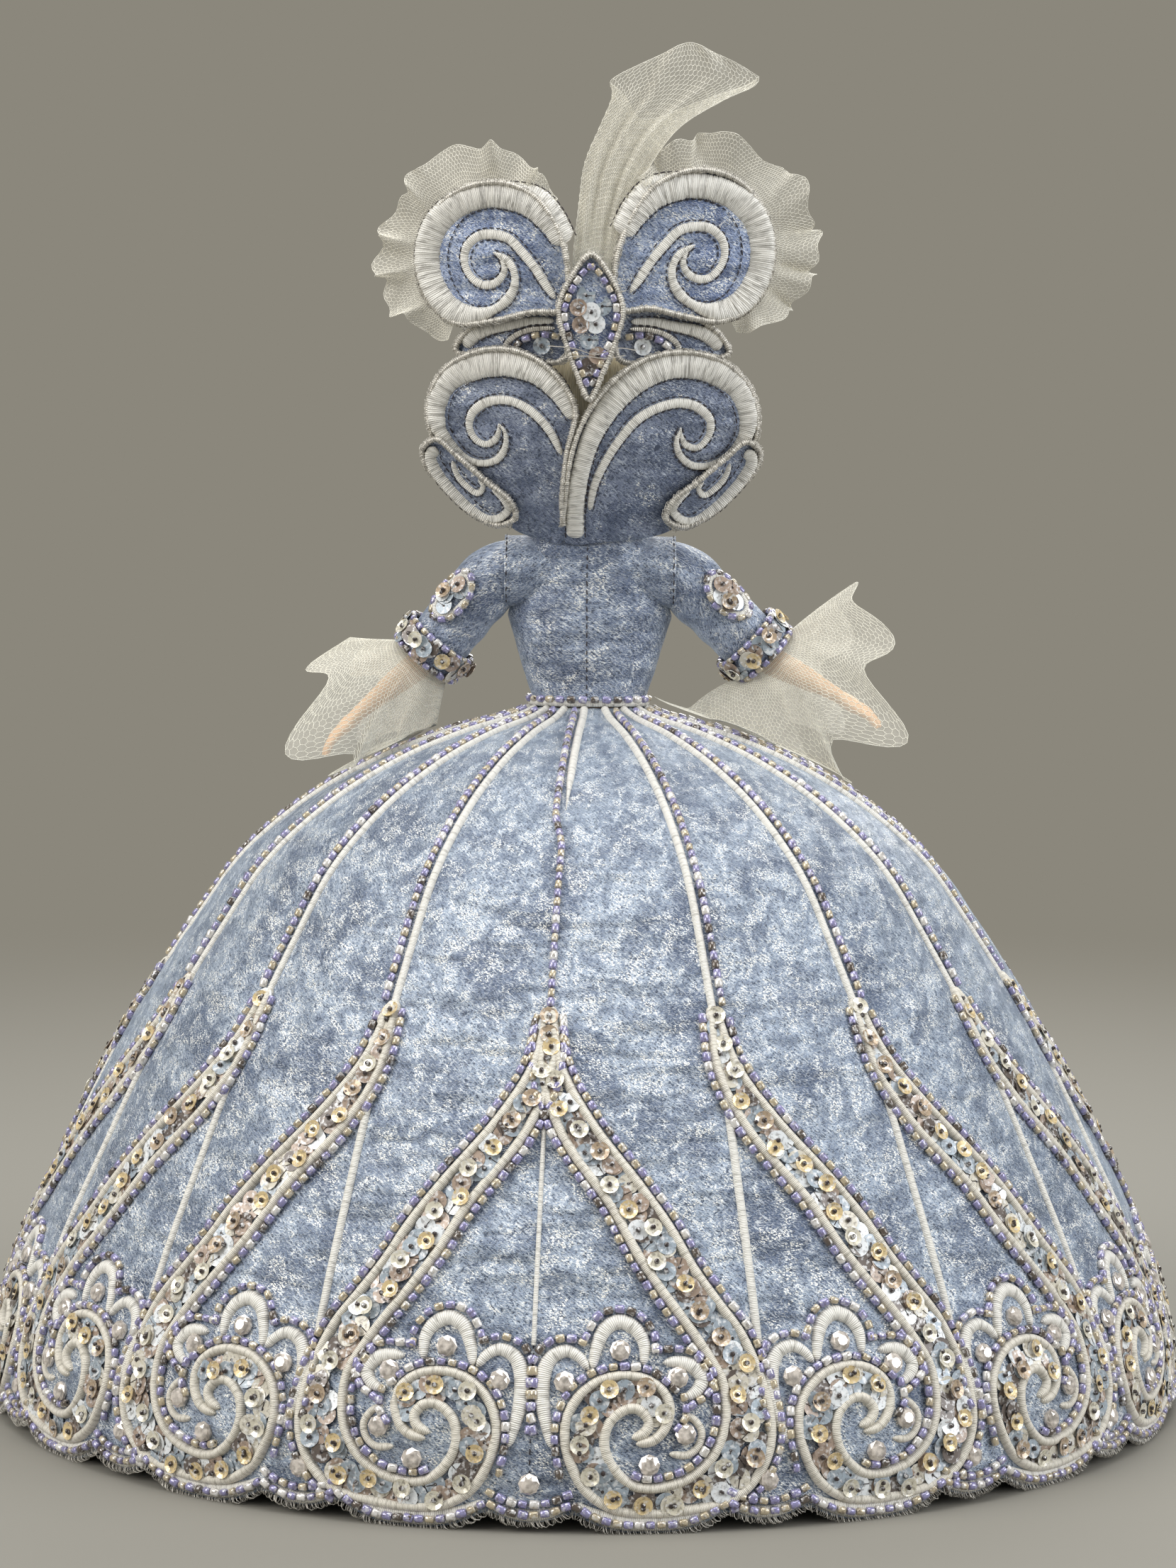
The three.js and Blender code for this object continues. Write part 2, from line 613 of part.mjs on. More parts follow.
function arm(side) {
  const s = SIDE_SIGN[side];
  const { shoulder, bend, elbow, wrist, palm, tip } = armCurve(side);
  const upper = bend[2].clone().lerp(elbow, 0.55);
  const fore = elbow.clone().lerp(wrist, 0.5);
  const points = [shoulder, bend[0], bend[1], bend[2], upper, elbow, fore, wrist,
    wrist.clone().lerp(palm, 0.45), palm, palm.clone().lerp(tip, 0.55), tip.clone().lerp(palm, 0.12), tip];
  const radii = [[6.6, 6.6], [6.6, 6.5], [6.1, 6], [5.5, 5.4], [4.9, 4.8], [4.3, 4.2], [3.7, 3.6], [2.5, 2.3],
    [3.1, 2.1], [3.9, 1.9], [3.5, 1.5], [2.7, 1.1], [1.2, 0.6]];
  let solid = toSolid(loft(routeRings(points, radii, 12, vec(0, 0.35, 1))));
  const thumb = [wrist.clone().lerp(palm, 0.7), palm.clone().add(vec(s * 0.4, 3.2, 0.6)),
    palm.clone().lerp(tip, 0.3).add(vec(0, 4.6, -0.6)), palm.clone().lerp(tip, 0.5).add(vec(0, 4.9, -1.2))];
  solid = solid.add(toSolid(loft(routeRings(thumb, [[1.3, 1.3], [1.4, 1.3], [1.1, 1], [0.5, 0.5]], 6))));
  const x = (value) => s * value;
  solid = solid.add(barAlongX(x(FLANGE_INNER + 1), x(SHOULDER_FACE + 4), PEG_RADIUS, 0, SHOULDER_HEIGHT, 16));
  return solid.add(barAlongX(x(FLANGE_INNER), x(FLANGE_INNER + FLANGE_WIDTH), FLANGE_RADIUS, 0, SHOULDER_HEIGHT, 20));
}

// Sleeves: a round head about the shoulder's axis, bent down to the elbow
function sleeveRoute(side) {
  const s = SIDE_SIGN[side];
  const { bend, elbow } = armCurve(side);
  const points = [vec(s * SLEEVE_START, 0, SHOULDER_HEIGHT), vec(s * (SLEEVE_START + 5), 0, SHOULDER_HEIGHT),
    vec(s * 23.5, 0, SHOULDER_HEIGHT - 0.4), bend[1], bend[2]];
  for (const share of [0.3, 0.65, 1]) {
    points.push(bend[2].clone().lerp(elbow, share));
  }
  return points;
}

const SLEEVE_SIDES = 14;

function sleeve(side) {
  const points = sleeveRoute(side);
  const outerRadii = [0, 0.1, 0.4, 0.5, 0.4, 0.1, -0.2, -0.4].map((d) => SLEEVE_RADIUS + d);
  const facing = vec(0, 0.2, 1);
  const outer = routeRings(points, outerRadii.map((r) => [r, r]), SLEEVE_SIDES, facing);
  const inner = routeRings(points, outerRadii.map((r) => [r - SLEEVE_CLOTH, r - SLEEVE_CLOTH]), SLEEVE_SIDES, facing);
  return wall(outer, inner);
}

// The straight stretch at the sleeve's end that the cuff band goes round
function cuffStretch(side) {
  const points = sleeveRoute(side);
  const end = points[points.length - 1];
  const along = end.clone().sub(points[points.length - 4]).normalize();
  return { end, along };
}

function cuffBand(side) {
  const { end, along } = cuffStretch(side);
  const inner = SLEEVE_RADIUS + SEAT_GAP + 0.05;
  const start = end.clone().addScaledVector(along, -CUFF_WIDTH);
  const middle = end.clone().addScaledVector(along, -CUFF_WIDTH / 2);
  const facing = vec(0, 0.2, 1);
  const points = [start, middle, end];
  const bulge = [0, 0.5, 0];
  const outer = routeRings(points, bulge.map((b) => [inner + CUFF_THICKNESS + b, inner + CUFF_THICKNESS + b]),
    SLEEVE_SIDES, facing);
  const skin = routeRings(points, bulge.map(() => [inner, inner]), SLEEVE_SIDES, facing);
  return wall(outer, skin);
}

// Beaded oval on the back of each sleeve, laid 0.3 mm proud of the cloth
function sleeveMedallion(side) {
  const s = SIDE_SIGN[side];
  const points = sleeveRoute(side);
  const centre = points[4].clone().lerp(points[5], 0.6);
  const along = points[5].clone().sub(points[4]).normalize();
  const outward = vec(s * 0.42, -0.85, 0.32);
  outward.addScaledVector(along, -outward.dot(along)).normalize();
  const across = along.clone().cross(outward).normalize();
  const [half, width, thick, sides] = [8, 5, 1.1, 14];
  const seat = SLEEVE_RADIUS + 0.3 + SEAT_GAP;
  const place = (a, u, lift) => {
    const sideways = Math.sin(a) * width * u;
    const lengthways = Math.cos(a) * half * u;
    const turn = sideways / (seat + lift);
    return centre.clone().addScaledVector(along, lengthways)
      .addScaledVector(outward, (seat + lift) * Math.cos(turn))
      .addScaledVector(across, (seat + lift) * Math.sin(turn));
  };
  const ring = (u, lift) => Array.from({ length: sides }, (_, i) => place((2 * Math.PI * i) / sides, u, lift));
  return loft([ring(0.5, 0), ring(1, 0.1), ring(0.92, thick), ring(0.45, thick + 0.5)]);
}

// Net flounce below each cuff: narrow above the arm, long below and behind it
const FLOUNCE_COLUMNS = 30;
const FLOUNCE_FOLDS = 10;
const FLOUNCE_REACH = {
  // how far the net falls: out over the arm, along it, and down
  left: { above: 15, around: 21, below: 27, behind: 40 },
  right: { above: 26, around: 24, below: 24, behind: 38 },
};

function engageante(side) {
  const s = SIDE_SIGN[side];
  const { end, along } = cuffStretch(side);
  const start = end.clone().addScaledVector(along, SEAT_GAP + 0.1);
  const up = vec(0, 0, 1).addScaledVector(along, -along.z).normalize();
  const back = along.clone().cross(up).normalize().multiplyScalar(s);
  if (back.y > 0) {
    back.negate();
  }
  const reach = FLOUNCE_REACH[side];
  const rows = [0, 0.2, 0.5, 0.78, 1];
  const skin = (inset) => rows.map((t) => Array.from({ length: FLOUNCE_COLUMNS }, (_, i) => {
    const a = (2 * Math.PI * i) / FLOUNCE_COLUMNS;
    const high = Math.cos(a); // 1 above the arm, -1 below it
    const behind = Math.sin(a); // 1 on the side of the doll's back
    const fold = Math.cos((FLOUNCE_FOLDS * 2 * Math.PI * i) / FLOUNCE_COLUMNS);
    const level = high > 0 ? lerp(reach.around, reach.above, high) : lerp(reach.around, reach.below, -high);
    const length = lerp(level, reach.behind, Math.max(0, behind) ** 2 * (high > 0 ? 0.75 : 1));
    const lift = high > 0 ? 0.75 : 0.4;
    const radius = SLEEVE_RADIUS - 0.6 + lift * length * t * (1 + 0.2 * fold * t) - inset;
    const p = start.clone()
      .addScaledVector(up, high * radius)
      .addScaledVector(back, behind * radius)
      .addScaledVector(along, level * 0.42 * t);
    p.z -= 0.5 * length * t * t * (0.62 - 0.5 * high);
    const floor = bellHeight(Math.hypot(p.x, p.y)) + 1.6 + GORE_PUFF - inset;
    p.z = Math.max(p.z, floor + 0.7 * (1 + fold) * t);
    return p;
  }));
  return wall(skin(0), skin(NET_THICKNESS));
}

for (const side of ['left', 'right']) {
  add(`arm_${side}`, toGeometry(arm(side)), VINYL());
  add(`sleeve_${side}`, sleeve(side), BROCADE());
  add(`cuff_band_${side}`, cuffBand(side), BEADWORK());
  add(`sleeve_medallion_${side}`, sleeveMedallion(side), BEADWORK());
  add(`engageante_${side}`, engageante(side), NET());
}

// Legs and shoes
const axle = barAlongX(-(HIP_DISC_INNER + HIP_DISC_WIDTH), HIP_DISC_INNER + HIP_DISC_WIDTH, AXLE_RADIUS, 0, HIP_HEIGHT, 16);
add('hip_axle', toGeometry(axle), finish(0x9a9a9a, 0.4, 0.9));

const LEG_X = HIP_DISC_INNER + 6.8;
const SHOE_WALL = 0.9;
const ANKLE_HEIGHT = 24;
const FOOT_ROUTE = [
  // forward, height, half width, half thickness
  [-3.2, 20, 3.2, 3.2],
  [-1.5, 15.5, 3.5, 3.6],
  [4.5, 9.6, 4.1, 3],
  [11, 4.6, 4.6, 2.2],
  [15.5, 3.4, 4, 1.6],
  [18.5, 3, 2.2, 1],
];

// The foot's solid, grown all round; its two ends are carried on by as much.
function footShape(x, grow) {
  const points = FOOT_ROUTE.map(([y, z]) => vec(x, y, z));
  const carryOn = (end, next) => end.addScaledVector(end.clone().sub(next).normalize(), grow);
  carryOn(points[0], points[1]);
  carryOn(points[points.length - 1], points[points.length - 2]);
  return toSolid(loft(routeRings(points, FOOT_ROUTE.map(([, , w, t]) => [w + grow, t + grow]), 8)));
}

function legShape(side, grow) {
  const s = SIDE_SIGN[side];
  const up = (share) => lerp(ANKLE_HEIGHT, HIP_HEIGHT, share);
  const sections = [
    // height, half width, half depth, forward shift
    [HIP_HEIGHT - 4, 6.6, 10.2, 0], [up(0.89), 7.2, 10, 0.2], [up(0.73), 6.9, 8.6, 0.6], [up(0.56), 5.9, 7, 0.8],
    [up(0.45), 5.4, 6.3, 0.6], [up(0.375), 5.2, 6.2, -0.4], [up(0.25), 5.2, 6.2, -1.6], [up(0.11), 4, 4.8, -2.4],
    [ANKLE_HEIGHT, 3.2, 3.4, -3.2], [ANKLE_HEIGHT - 7 - grow, 3.3, 3.5, -3],
  ];
  const limb = toSolid(loft(sections.map(([z, rx, ry, y]) => levelRing([z, rx + grow, ry + grow, y, s * LEG_X], 10))));
  return limb.add(footShape(s * LEG_X, grow));
}

function leg(side) {
  const s = SIDE_SIGN[side];
  const disc = barAlongX(s * HIP_DISC_INNER, s * (HIP_DISC_INNER + HIP_DISC_WIDTH), HIP_DISC, 0, HIP_HEIGHT, 24);
  const bore = barAlongX(0, s * 40, AXLE_RADIUS + RUN_GAP / 2, 0, HIP_HEIGHT, 16);
  return legShape(side, 0).add(disc).subtract(bore);
}

function shoe(side) {
  const s = SIDE_SIGN[side];
  const x = s * LEG_X;
  const upper = footShape(x, SHOE_WALL + SEAT_GAP);
  const counter = toSolid(loft([levelRing([9, 2.6, 2.6, -3.4, x], 10), levelRing([14, 4.3, 4.4, -3, x], 10),
    levelRing([19, 4.6, 4.9, -3.4, x], 10)]));
  const heel = toSolid(loft([levelRing([1, 1.7, 1.7, -4.4, x], 8), levelRing([8, 1.5, 1.6, -4.6, x], 8),
    levelRing([12.5, 3.2, 3.2, -3.4, x], 8)]));
  const vamp = block(x - 8, x + 8, -20, 9, 12, 40).subtract(block(x - 8, x + 8, -20, 0.5, 12, 18.5));
  const ground = block(x - 10, x + 10, -20, 30, -10, 1);
  return upper.add(counter).add(heel).subtract(legShape(side, SEAT_GAP)).subtract(vamp).subtract(ground);
}

for (const side of ['left', 'right']) {
  add(`leg_${side}`, toGeometry(leg(side)), VINYL());
  add(`shoe_${side}`, toGeometry(shoe(side)), SHOE());
}

// Bodice, waist cord and the crinoline's band
function bodice() {
  const outer = trunkLoft(SEAT_GAP + BODICE_CLOTH, WAIST_HEIGHT + SEAT_GAP, NECKLINE_HEIGHT);
  const inner = trunkLoft(SEAT_GAP, WAIST_HEIGHT - 6, NECKLINE_HEIGHT + 2.5);
  let solid = outer.subtract(inner);
  for (const side of [-1, 1]) {
    solid = solid.subtract(barAlongX(side * (SLEEVE_START - SEAT_GAP), side * 60, SLEEVE_RADIUS + 0.8, 0, SHOULDER_HEIGHT));
    solid = solid.subtract(barAlongX(side * (BOSS_START - 2), side * 60, SHOULDER_BOSS + SEAT_GAP, 0, SHOULDER_HEIGHT));
  }
  const scoop = toSolid(new THREE.CylinderGeometry(NECKLINE_SCOOP, NECKLINE_SCOOP, 40, 28)
    .translate(0, 20, NECKLINE_HEIGHT + 1));
  return solid.subtract(scoop);
}

add('bodice', toGeometry(bodice()), BROCADE());

function crinolineBand() {
  const low = WAIST_HEIGHT - BAND_HEIGHT;
  const outer = trunkLoft(SEAT_GAP + BAND_THICKNESS, low, WAIST_HEIGHT - SEAT_GAP);
  return outer.subtract(trunkLoft(SEAT_GAP, low - 2, WAIST_HEIGHT + 2));
}

const CORD_RADIUS = 0.9;
const CORD_EASE = 0.35; // the bodice widens a little over the cord's height
const waistRow = TRUNK_SECTIONS.find(([z]) => z === WAIST_HEIGHT);
const waistOuter = [waistRow[1], waistRow[2]].map((r) => r + SEAT_GAP + BODICE_CLOTH + SEAT_GAP + CORD_EASE);

function waistCord() {
  const path = new THREE.CatmullRomCurve3(levelRing(
    [WAIST_HEIGHT + SEAT_GAP + CORD_RADIUS, waistOuter[0] + CORD_RADIUS, waistOuter[1] + CORD_RADIUS], 24), true);
  const steps = 24;
  const sides = 4;
  const points = path.getSpacedPoints(steps).slice(0, steps);
  const rings = points.map((p) => {
    const outward = vec(p.x, p.y, 0).normalize();
    return Array.from({ length: sides }, (_, k) => {
      const a = (2 * Math.PI * k) / sides;
      return p.clone().addScaledVector(outward, CORD_RADIUS * Math.cos(a)).add(vec(0, 0, CORD_RADIUS * Math.sin(a)));
    });
  });
  const triangles = [];
  for (let i = 0; i < steps; i++) {
    for (let k = 0; k < sides; k++) {
      const [j, l] = [(i + 1) % steps, (k + 1) % sides];
      triangles.push([i * sides + k, i * sides + l, j * sides + l], [i * sides + k, j * sides + l, j * sides + k]);
    }
  }
  return closedGeometry(rings.flat(), triangles);
}

add('waist_cord', waistCord(), SATIN());
add('crinoline_band', toGeometry(crinolineBand()), WIRE_COVER());

// Standing collar: panels lie on one curved surface that rises from the neckline and leans back. Its points are
// given by their distance from the middle and their rise above the neckline.
const COLLAR_DEPTHS = new THREE.SplineCurve([[-4, 7.75], [-1.6, 7.85], [2, 10], [12, 16.5], [24, 21.5], [37, 24.5],
  [52, 26.5], [72, 28.5], [107, 31], [142, 33]].map(([z, y]) => new THREE.Vector2(z, y))).getPoints(60);

function collarDepth(rise) {
  const i = Math.max(0, COLLAR_DEPTHS.findIndex((p, k) => k + 1 < COLLAR_DEPTHS.length && COLLAR_DEPTHS[k + 1].x >= rise));
  const [a, b] = [COLLAR_DEPTHS[i], COLLAR_DEPTHS[i + 1]];
  return lerp(a.y, b.y, (rise - a.x) / (b.x - a.x));
}

// A point of the collar; offset counts backwards, towards the outside that the embroidery is on.
function collarPoint(x, rise, offset) {
  const bow = lerp(0.0125, 0.0062, THREE.MathUtils.clamp(rise / 30, 0, 1));
  return vec(x, -collarDepth(rise) + bow * x * x - offset, NECKLINE_HEIGHT + rise);
}

const outline = (points) => points.map(([x, rise]) => new THREE.Vector2(x, rise));

// A padded panel: flat back, raised border roll round its edge on the outside.
function collarPanel(points, { centre, border, layer, columns, reach = 0, sink = 0 }) {
  const curve = new THREE.CatmullRomCurve3(outline(points).map((p) => vec(p.x, 0, p.y)), true, 'centripetal');
  const edge = curve.getSpacedPoints(columns).slice(0, columns).map((p) => new THREE.Vector2(p.x, p.z));
  const middle = new THREE.Vector2(...centre);
  const back = layer * LAYER_PITCH - sink;
  const ring = (inset, share, offset) => edge.map((p) => {
    const inward = middle.clone().sub(p);
    const length = inward.length();
    const distance = share > 0 ? share * length : Math.min(inset, length * 0.6) - reach;
    const q = p.clone().addScaledVector(inward, distance / length);
    return collarPoint(q.x, q.y, back + offset);
  });
  const top = PANEL_THICKNESS;
  const rings = [
    ring(0, 0.55, 0), ring(0, 0, 0), ring(0, 0, top * 0.8), ring(border * 0.45, 0, top + BORDER_CROWN),
    ring(border, 0, top), ring(0, 0.62, top),
  ];
  const vertices = rings.flat();
  const triangles = [];
  for (let r = 0; r + 1 < rings.length; r++) {
    for (let i = 0; i < columns; i++) {
      const j = (i + 1) % columns;
      const [a, b, c, d] = [r * columns + i, r * columns + j, (r + 1) * columns + j, (r + 1) * columns + i];
      triangles.push([a, b, c], [a, c, d]);
    }
  }
  vertices.push(collarPoint(middle.x, middle.y, back), collarPoint(middle.x, middle.y, back + top));
  for (let i = 0; i < columns; i++) {
    const j = (i + 1) % columns;
    triangles.push([vertices.length - 2, j, i]);
    const last = (rings.length - 1) * columns;
    triangles.push([vertices.length - 1, last + i, last + j]);
  }
  return closedGeometry(vertices, triangles);
}

// A raised cord of satin on a panel, from one end along hand-set turning points, sunk a little into it.
function scroll(points, { layer, sink = 0 }, steps) {
  const base = layer * LAYER_PITCH - sink + PANEL_THICKNESS;
  const curve = new THREE.CatmullRomCurve3(points.map(([x, rise]) => collarPoint(x, rise, base)), false, 'centripetal');
  const rings = Array.from({ length: steps + 1 }, (_, i) => {
    const t = i / steps;
    const p = curve.getPointAt(t);
    const along = curve.getTangentAt(t);
    const out = vec(0, -1, 0);
    const across = along.clone().cross(out).normalize();
    const taper = Math.min(1, 0.45 + 6 * Math.min(t, 1 - t));
    const half = (SCROLL_WIDTH / 2) * taper;
    return [[-half, -0.5], [half, -0.5], [half * 0.6, SCROLL_HEIGHT], [-half * 0.6, SCROLL_HEIGHT]].map(
      ([u, v]) => p.clone().addScaledVector(across, u).addScaledVector(out, v));
  });
  return loft(rings);
}

const mirrored = (points) => points.map(([x, rise]) => [-x, rise]);

const WING = {
  left: {
    edge: [[-7.6, 61], [-6.8, 71], [-9.5, 82], [-16, 91], [-26, 95], [-37, 93], [-45, 86], [-48.4, 75],
      [-45.5, 64.5], [-38, 57.6], [-28, 57.6], [-17, 60]],
    centre: [-28, 74],
    scroll: [[-10.5, 61.5], [-15.2, 69], [-20.6, 75.9], [-26.8, 80.6], [-33.2, 79.8], [-35.8, 74.7],
      [-33.6, 69.4], [-28.6, 67.6], [-25.2, 70.8], [-26.8, 74.4]],
  },
  right: {
    edge: [[7.6, 61], [5.8, 71], [9.5, 84], [17, 94.5], [28, 99], [39.5, 96.5], [47.5, 87.5], [49.4, 75.5],
      [45, 64.5], [35.5, 58.6], [25, 59.5], [15.5, 61.4]],
    centre: [28.5, 77],
    scroll: [[10.5, 62], [15.2, 71], [20.6, 78.4], [27, 83.2], [33.8, 82.4], [36.8, 76.8],
      [34.4, 71], [29, 69.2], [25.4, 72.6], [27.2, 76.4]],
  },
};
const BROW_EDGE = [[-37.6, 50.4], [-34, 56], [-27, 60], [-17, 61.6], [-7.8, 60], [-7.2, 48], [-17, 46.6],
  [-29, 47.6]];
const PANEL_EDGE = [[-4.4, 34], [-8.4, 41.6], [-15.3, 47.6], [-24, 50.4], [-34, 49], [-42, 43.5], [-45.4, 34.5],
  [-43.2, 25], [-36, 16], [-27.5, 7.5], [-20.8, 1.2], [-13.6, -1.2], [-7.9, -2.2], [-7.8, 10], [-6.6, 22]];
const PANEL_RIGHT_EDGE = [[-1.2, 33], [6.4, 42.6], [16, 48.4], [26.4, 50], [36.6, 47.4], [43.8, 40.4],
  [46, 30.6], [43, 21.6], [34.4, 12.6], [26, 4.4], [21.4, 1.2], [13.6, -0.8], [4, -1.8], [-7, -1.8], [-7, 10],
  [-5.4, 22.5]];
const PANEL_SCROLL = [[-9.4, 23.5], [-13.4, 29], [-18.4, 33.6], [-24, 35.8], [-29.6, 34.6], [-32.4, 30.4],
  [-31, 26], [-27, 25], [-25.2, 28.2]];
const LOBE_EDGE = [[-46.8, 23.6], [-43, 26.2], [-37.4, 22], [-29.3, 15], [-22.2, 9.2], [-20.8, 4.8],
  [-25.6, 2.6], [-33.4, 6], [-41.2, 13.4], [-46, 19]];
const LOBE_SCROLL = [[-41.4, 20.6], [-37.6, 17.4], [-35.4, 13.2], [-31.4, 11.4], [-28.4, 9.6], [-28, 7.4]];
const SPINDLE_EDGE = [[-0.5, 75.4], [4.8, 69.6], [8.2, 61], [6.2, 52], [2.8, 43.5], [-0.6, 36.6], [-4.1, 43.5],
  [-7.3, 52], [-9.2, 61], [-5.8, 69.6]];

function collarPiece(edge, options, scrollPoints, steps) {
  const panel = toSolid(collarPanel(edge, options));
  return scrollPoints ? panel.add(toSolid(scroll(scrollPoints, options, steps))) : panel;
}

for (const side of ['left', 'right']) {
  const turn = side === 'left' ? (points) => points : mirrored;
  const mirrorCentre = ([x, rise]) => (side === 'left' ? [x, rise] : [-x, rise]);
  const wing = WING[side];
  add(`wing_${side}`, toGeometry(collarPiece(wing.edge, { centre: wing.centre, border: 8, layer: 1, columns: 24 },
    wing.scroll, 20)), SATIN());
  add(`brow_panel_${side}`, toGeometry(collarPiece(turn(BROW_EDGE),
    { centre: mirrorCentre([-20, 54]), border: 3.4, layer: 0, columns: 22 })), SATIN());
  add(`collar_lobe_${side}`, toGeometry(collarPiece(turn(LOBE_EDGE),
    { centre: mirrorCentre([-34, 14]), border: 3, layer: 2, columns: 16, sink: -0.25 }, turn(LOBE_SCROLL), 6)), SATIN());
}

const rightOptions = { centre: [18, 24], border: 6, layer: 1, columns: 25 };
const leftOptions = { centre: [-22, 26], border: 6, layer: 1, columns: 25 };
const panelRight = collarPiece(PANEL_RIGHT_EDGE, rightOptions, mirrored(PANEL_SCROLL), 16);
const seamRoom = toSolid(collarPanel(PANEL_RIGHT_EDGE, { ...rightOptions, reach: 0.35 }));
const panelLeft = collarPiece(PANEL_EDGE, leftOptions, PANEL_SCROLL, 16)
  .subtract(seamRoom).subtract(seamRoom.translate(0, -1.5, 0)).subtract(seamRoom.translate(0, 0.9, 0));
add('collar_panel_right', toGeometry(panelRight), SATIN());
add('collar_panel_left', toGeometry(panelLeft), SATIN());
const spindleOptions = { centre: [-0.5, 59], border: 2.4, layer: 2, columns: 22, sink: 0.65 };
add('spindle', toGeometry(collarPiece(SPINDLE_EDGE, spindleOptions)), BEADWORK());

// Gathered net behind each wing's outer edge
const RUFFLE = {
  left: { from: 62, to: 214, widths: [6, 9, 13, 9, 12, 11], folds: 9 },
  right: { from: 104, to: -42, widths: [7, 9, 10, 14, 12, 9], folds: 9 },
};

function ruffle(side) {
  const { edge, centre } = WING[side];
  const { from, to, widths, folds } = RUFFLE[side];
  const middle = new THREE.Vector2(...centre);
  const curve = new THREE.CatmullRomCurve3(edge.map(([x, rise]) => vec(x, 0, rise)), true, 'centripetal');
  const rim = curve.getSpacedPoints(120).map((p) => new THREE.Vector2(p.x, p.z).sub(middle));
  const steps = 30;
  const reach = (angle) => rim.reduce((best, p) => {
    const off = Math.abs(THREE.MathUtils.euclideanModulo(p.angle() - angle + Math.PI, 2 * Math.PI) - Math.PI);
    return off < best.off ? { off, length: p.length() } : best;
  }, { off: Infinity, length: 0 }).length;
  const back = LAYER_PITCH - SEAT_GAP - NET_THICKNESS;
  const rings = Array.from({ length: steps + 1 }, (_, i) => {
    const t = i / steps;
    const angle = THREE.MathUtils.euclideanModulo(radians(lerp(from, to, t)), 2 * Math.PI);
    const rimLength = reach(angle);
    const k = t * (widths.length - 1);
    const width = lerp(widths[Math.floor(k)], widths[Math.ceil(k)], k % 1) * (1 + 0.12 * Math.cos(t * folds * 2 * Math.PI));
    const fold = Math.sin(t * folds * 2 * Math.PI);
    const at = (distance, offset) => {
      const q = middle.clone().add(new THREE.Vector2(Math.cos(angle), Math.sin(angle)).multiplyScalar(rimLength + distance));
      return collarPoint(q.x, q.y, back + offset);
    };
    const stations = [[-4, 0], [1, 0], [width * 0.5, 1.6 * fold], [width, 3 * fold]];
    return [...stations.map(([d, o]) => at(d, o)), ...stations.reverse().map(([d, o]) => at(d, o + NET_THICKNESS))];
  });
  return loft(rings);
}

for (const side of ['left', 'right']) {
  add(`ruffle_${side}`, ruffle(side), NET());
}

// Net spray behind the spindle: a folded cone that opens to one side
const PLUME_ROWS = [
  // rise above the neckline, left edge, right edge, depth of the fold
  [62.5, -4.5, 6.5, 1.2],
  [74, -5.5, 8, 2],
  [88, -4.2, 10, 4],
  [100, -2.6, 15.5, 5.5],
  [110, 1.5, 23, 6.5],
  [118, 4.6, 33, 6],
  [123.5, 4, 41, 4.5],
  [128, 11.5, 38.5, 2.8],
  [132, 20, 29, 1.4],
];

function plume() {
  const back = LAYER_PITCH - SEAT_GAP;
  const half = 8;
  const rings = PLUME_ROWS.map(([rise, left, right, depth]) => {
    const at = (u, offset) => collarPoint(lerp(left, right, u), rise, offset);
    const front = Array.from({ length: half }, (_, i) => {
      const u = i / (half - 1);
      return at(u, back - NET_THICKNESS - depth * Math.sin(Math.PI * u) * (1 + 0.35 * Math.cos(3 * Math.PI * u)));
    });
    const rear = Array.from({ length: half }, (_, i) => at(1 - i / (half - 1), back));
    return [...front, ...rear];
  });
  return loft(rings);
}

add('plume', plume(), NET());

export default doll;
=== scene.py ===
"""Visual model of a jointed fashion doll in a bell-skirted court gown with a butterfly collar.

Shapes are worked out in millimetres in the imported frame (+Z up, the doll faces +Y, the back looks
towards -Y) and turned to metres where a mesh is made.
"""

from __future__ import annotations

import logging
import math
from collections.abc import Sequence
from dataclasses import dataclass, field
from enum import Enum
from typing import Protocol

import bpy
import numpy as np
from mathutils import Matrix, Vector


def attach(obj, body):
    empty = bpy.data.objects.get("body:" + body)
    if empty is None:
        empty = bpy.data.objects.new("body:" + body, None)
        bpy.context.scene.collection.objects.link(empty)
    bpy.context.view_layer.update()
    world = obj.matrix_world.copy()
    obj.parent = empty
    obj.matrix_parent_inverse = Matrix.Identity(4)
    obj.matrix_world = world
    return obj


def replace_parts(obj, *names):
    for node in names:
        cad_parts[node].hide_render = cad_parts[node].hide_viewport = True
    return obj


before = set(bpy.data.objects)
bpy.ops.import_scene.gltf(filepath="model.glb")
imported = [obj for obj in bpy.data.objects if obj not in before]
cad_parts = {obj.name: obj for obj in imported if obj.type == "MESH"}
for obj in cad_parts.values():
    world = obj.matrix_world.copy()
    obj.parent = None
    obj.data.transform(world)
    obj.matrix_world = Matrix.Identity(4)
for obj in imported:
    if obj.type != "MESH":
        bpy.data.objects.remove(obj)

LOG = logging.getLogger("doll")
Array = np.ndarray
Point = tuple[float, ...]
Line = Sequence[Point] | Array
Lift = Array | float
Object = bpy.types.Object
Mesh = bpy.types.Mesh
Material = bpy.types.Material
Socket = bpy.types.NodeSocket

MM = 0.001

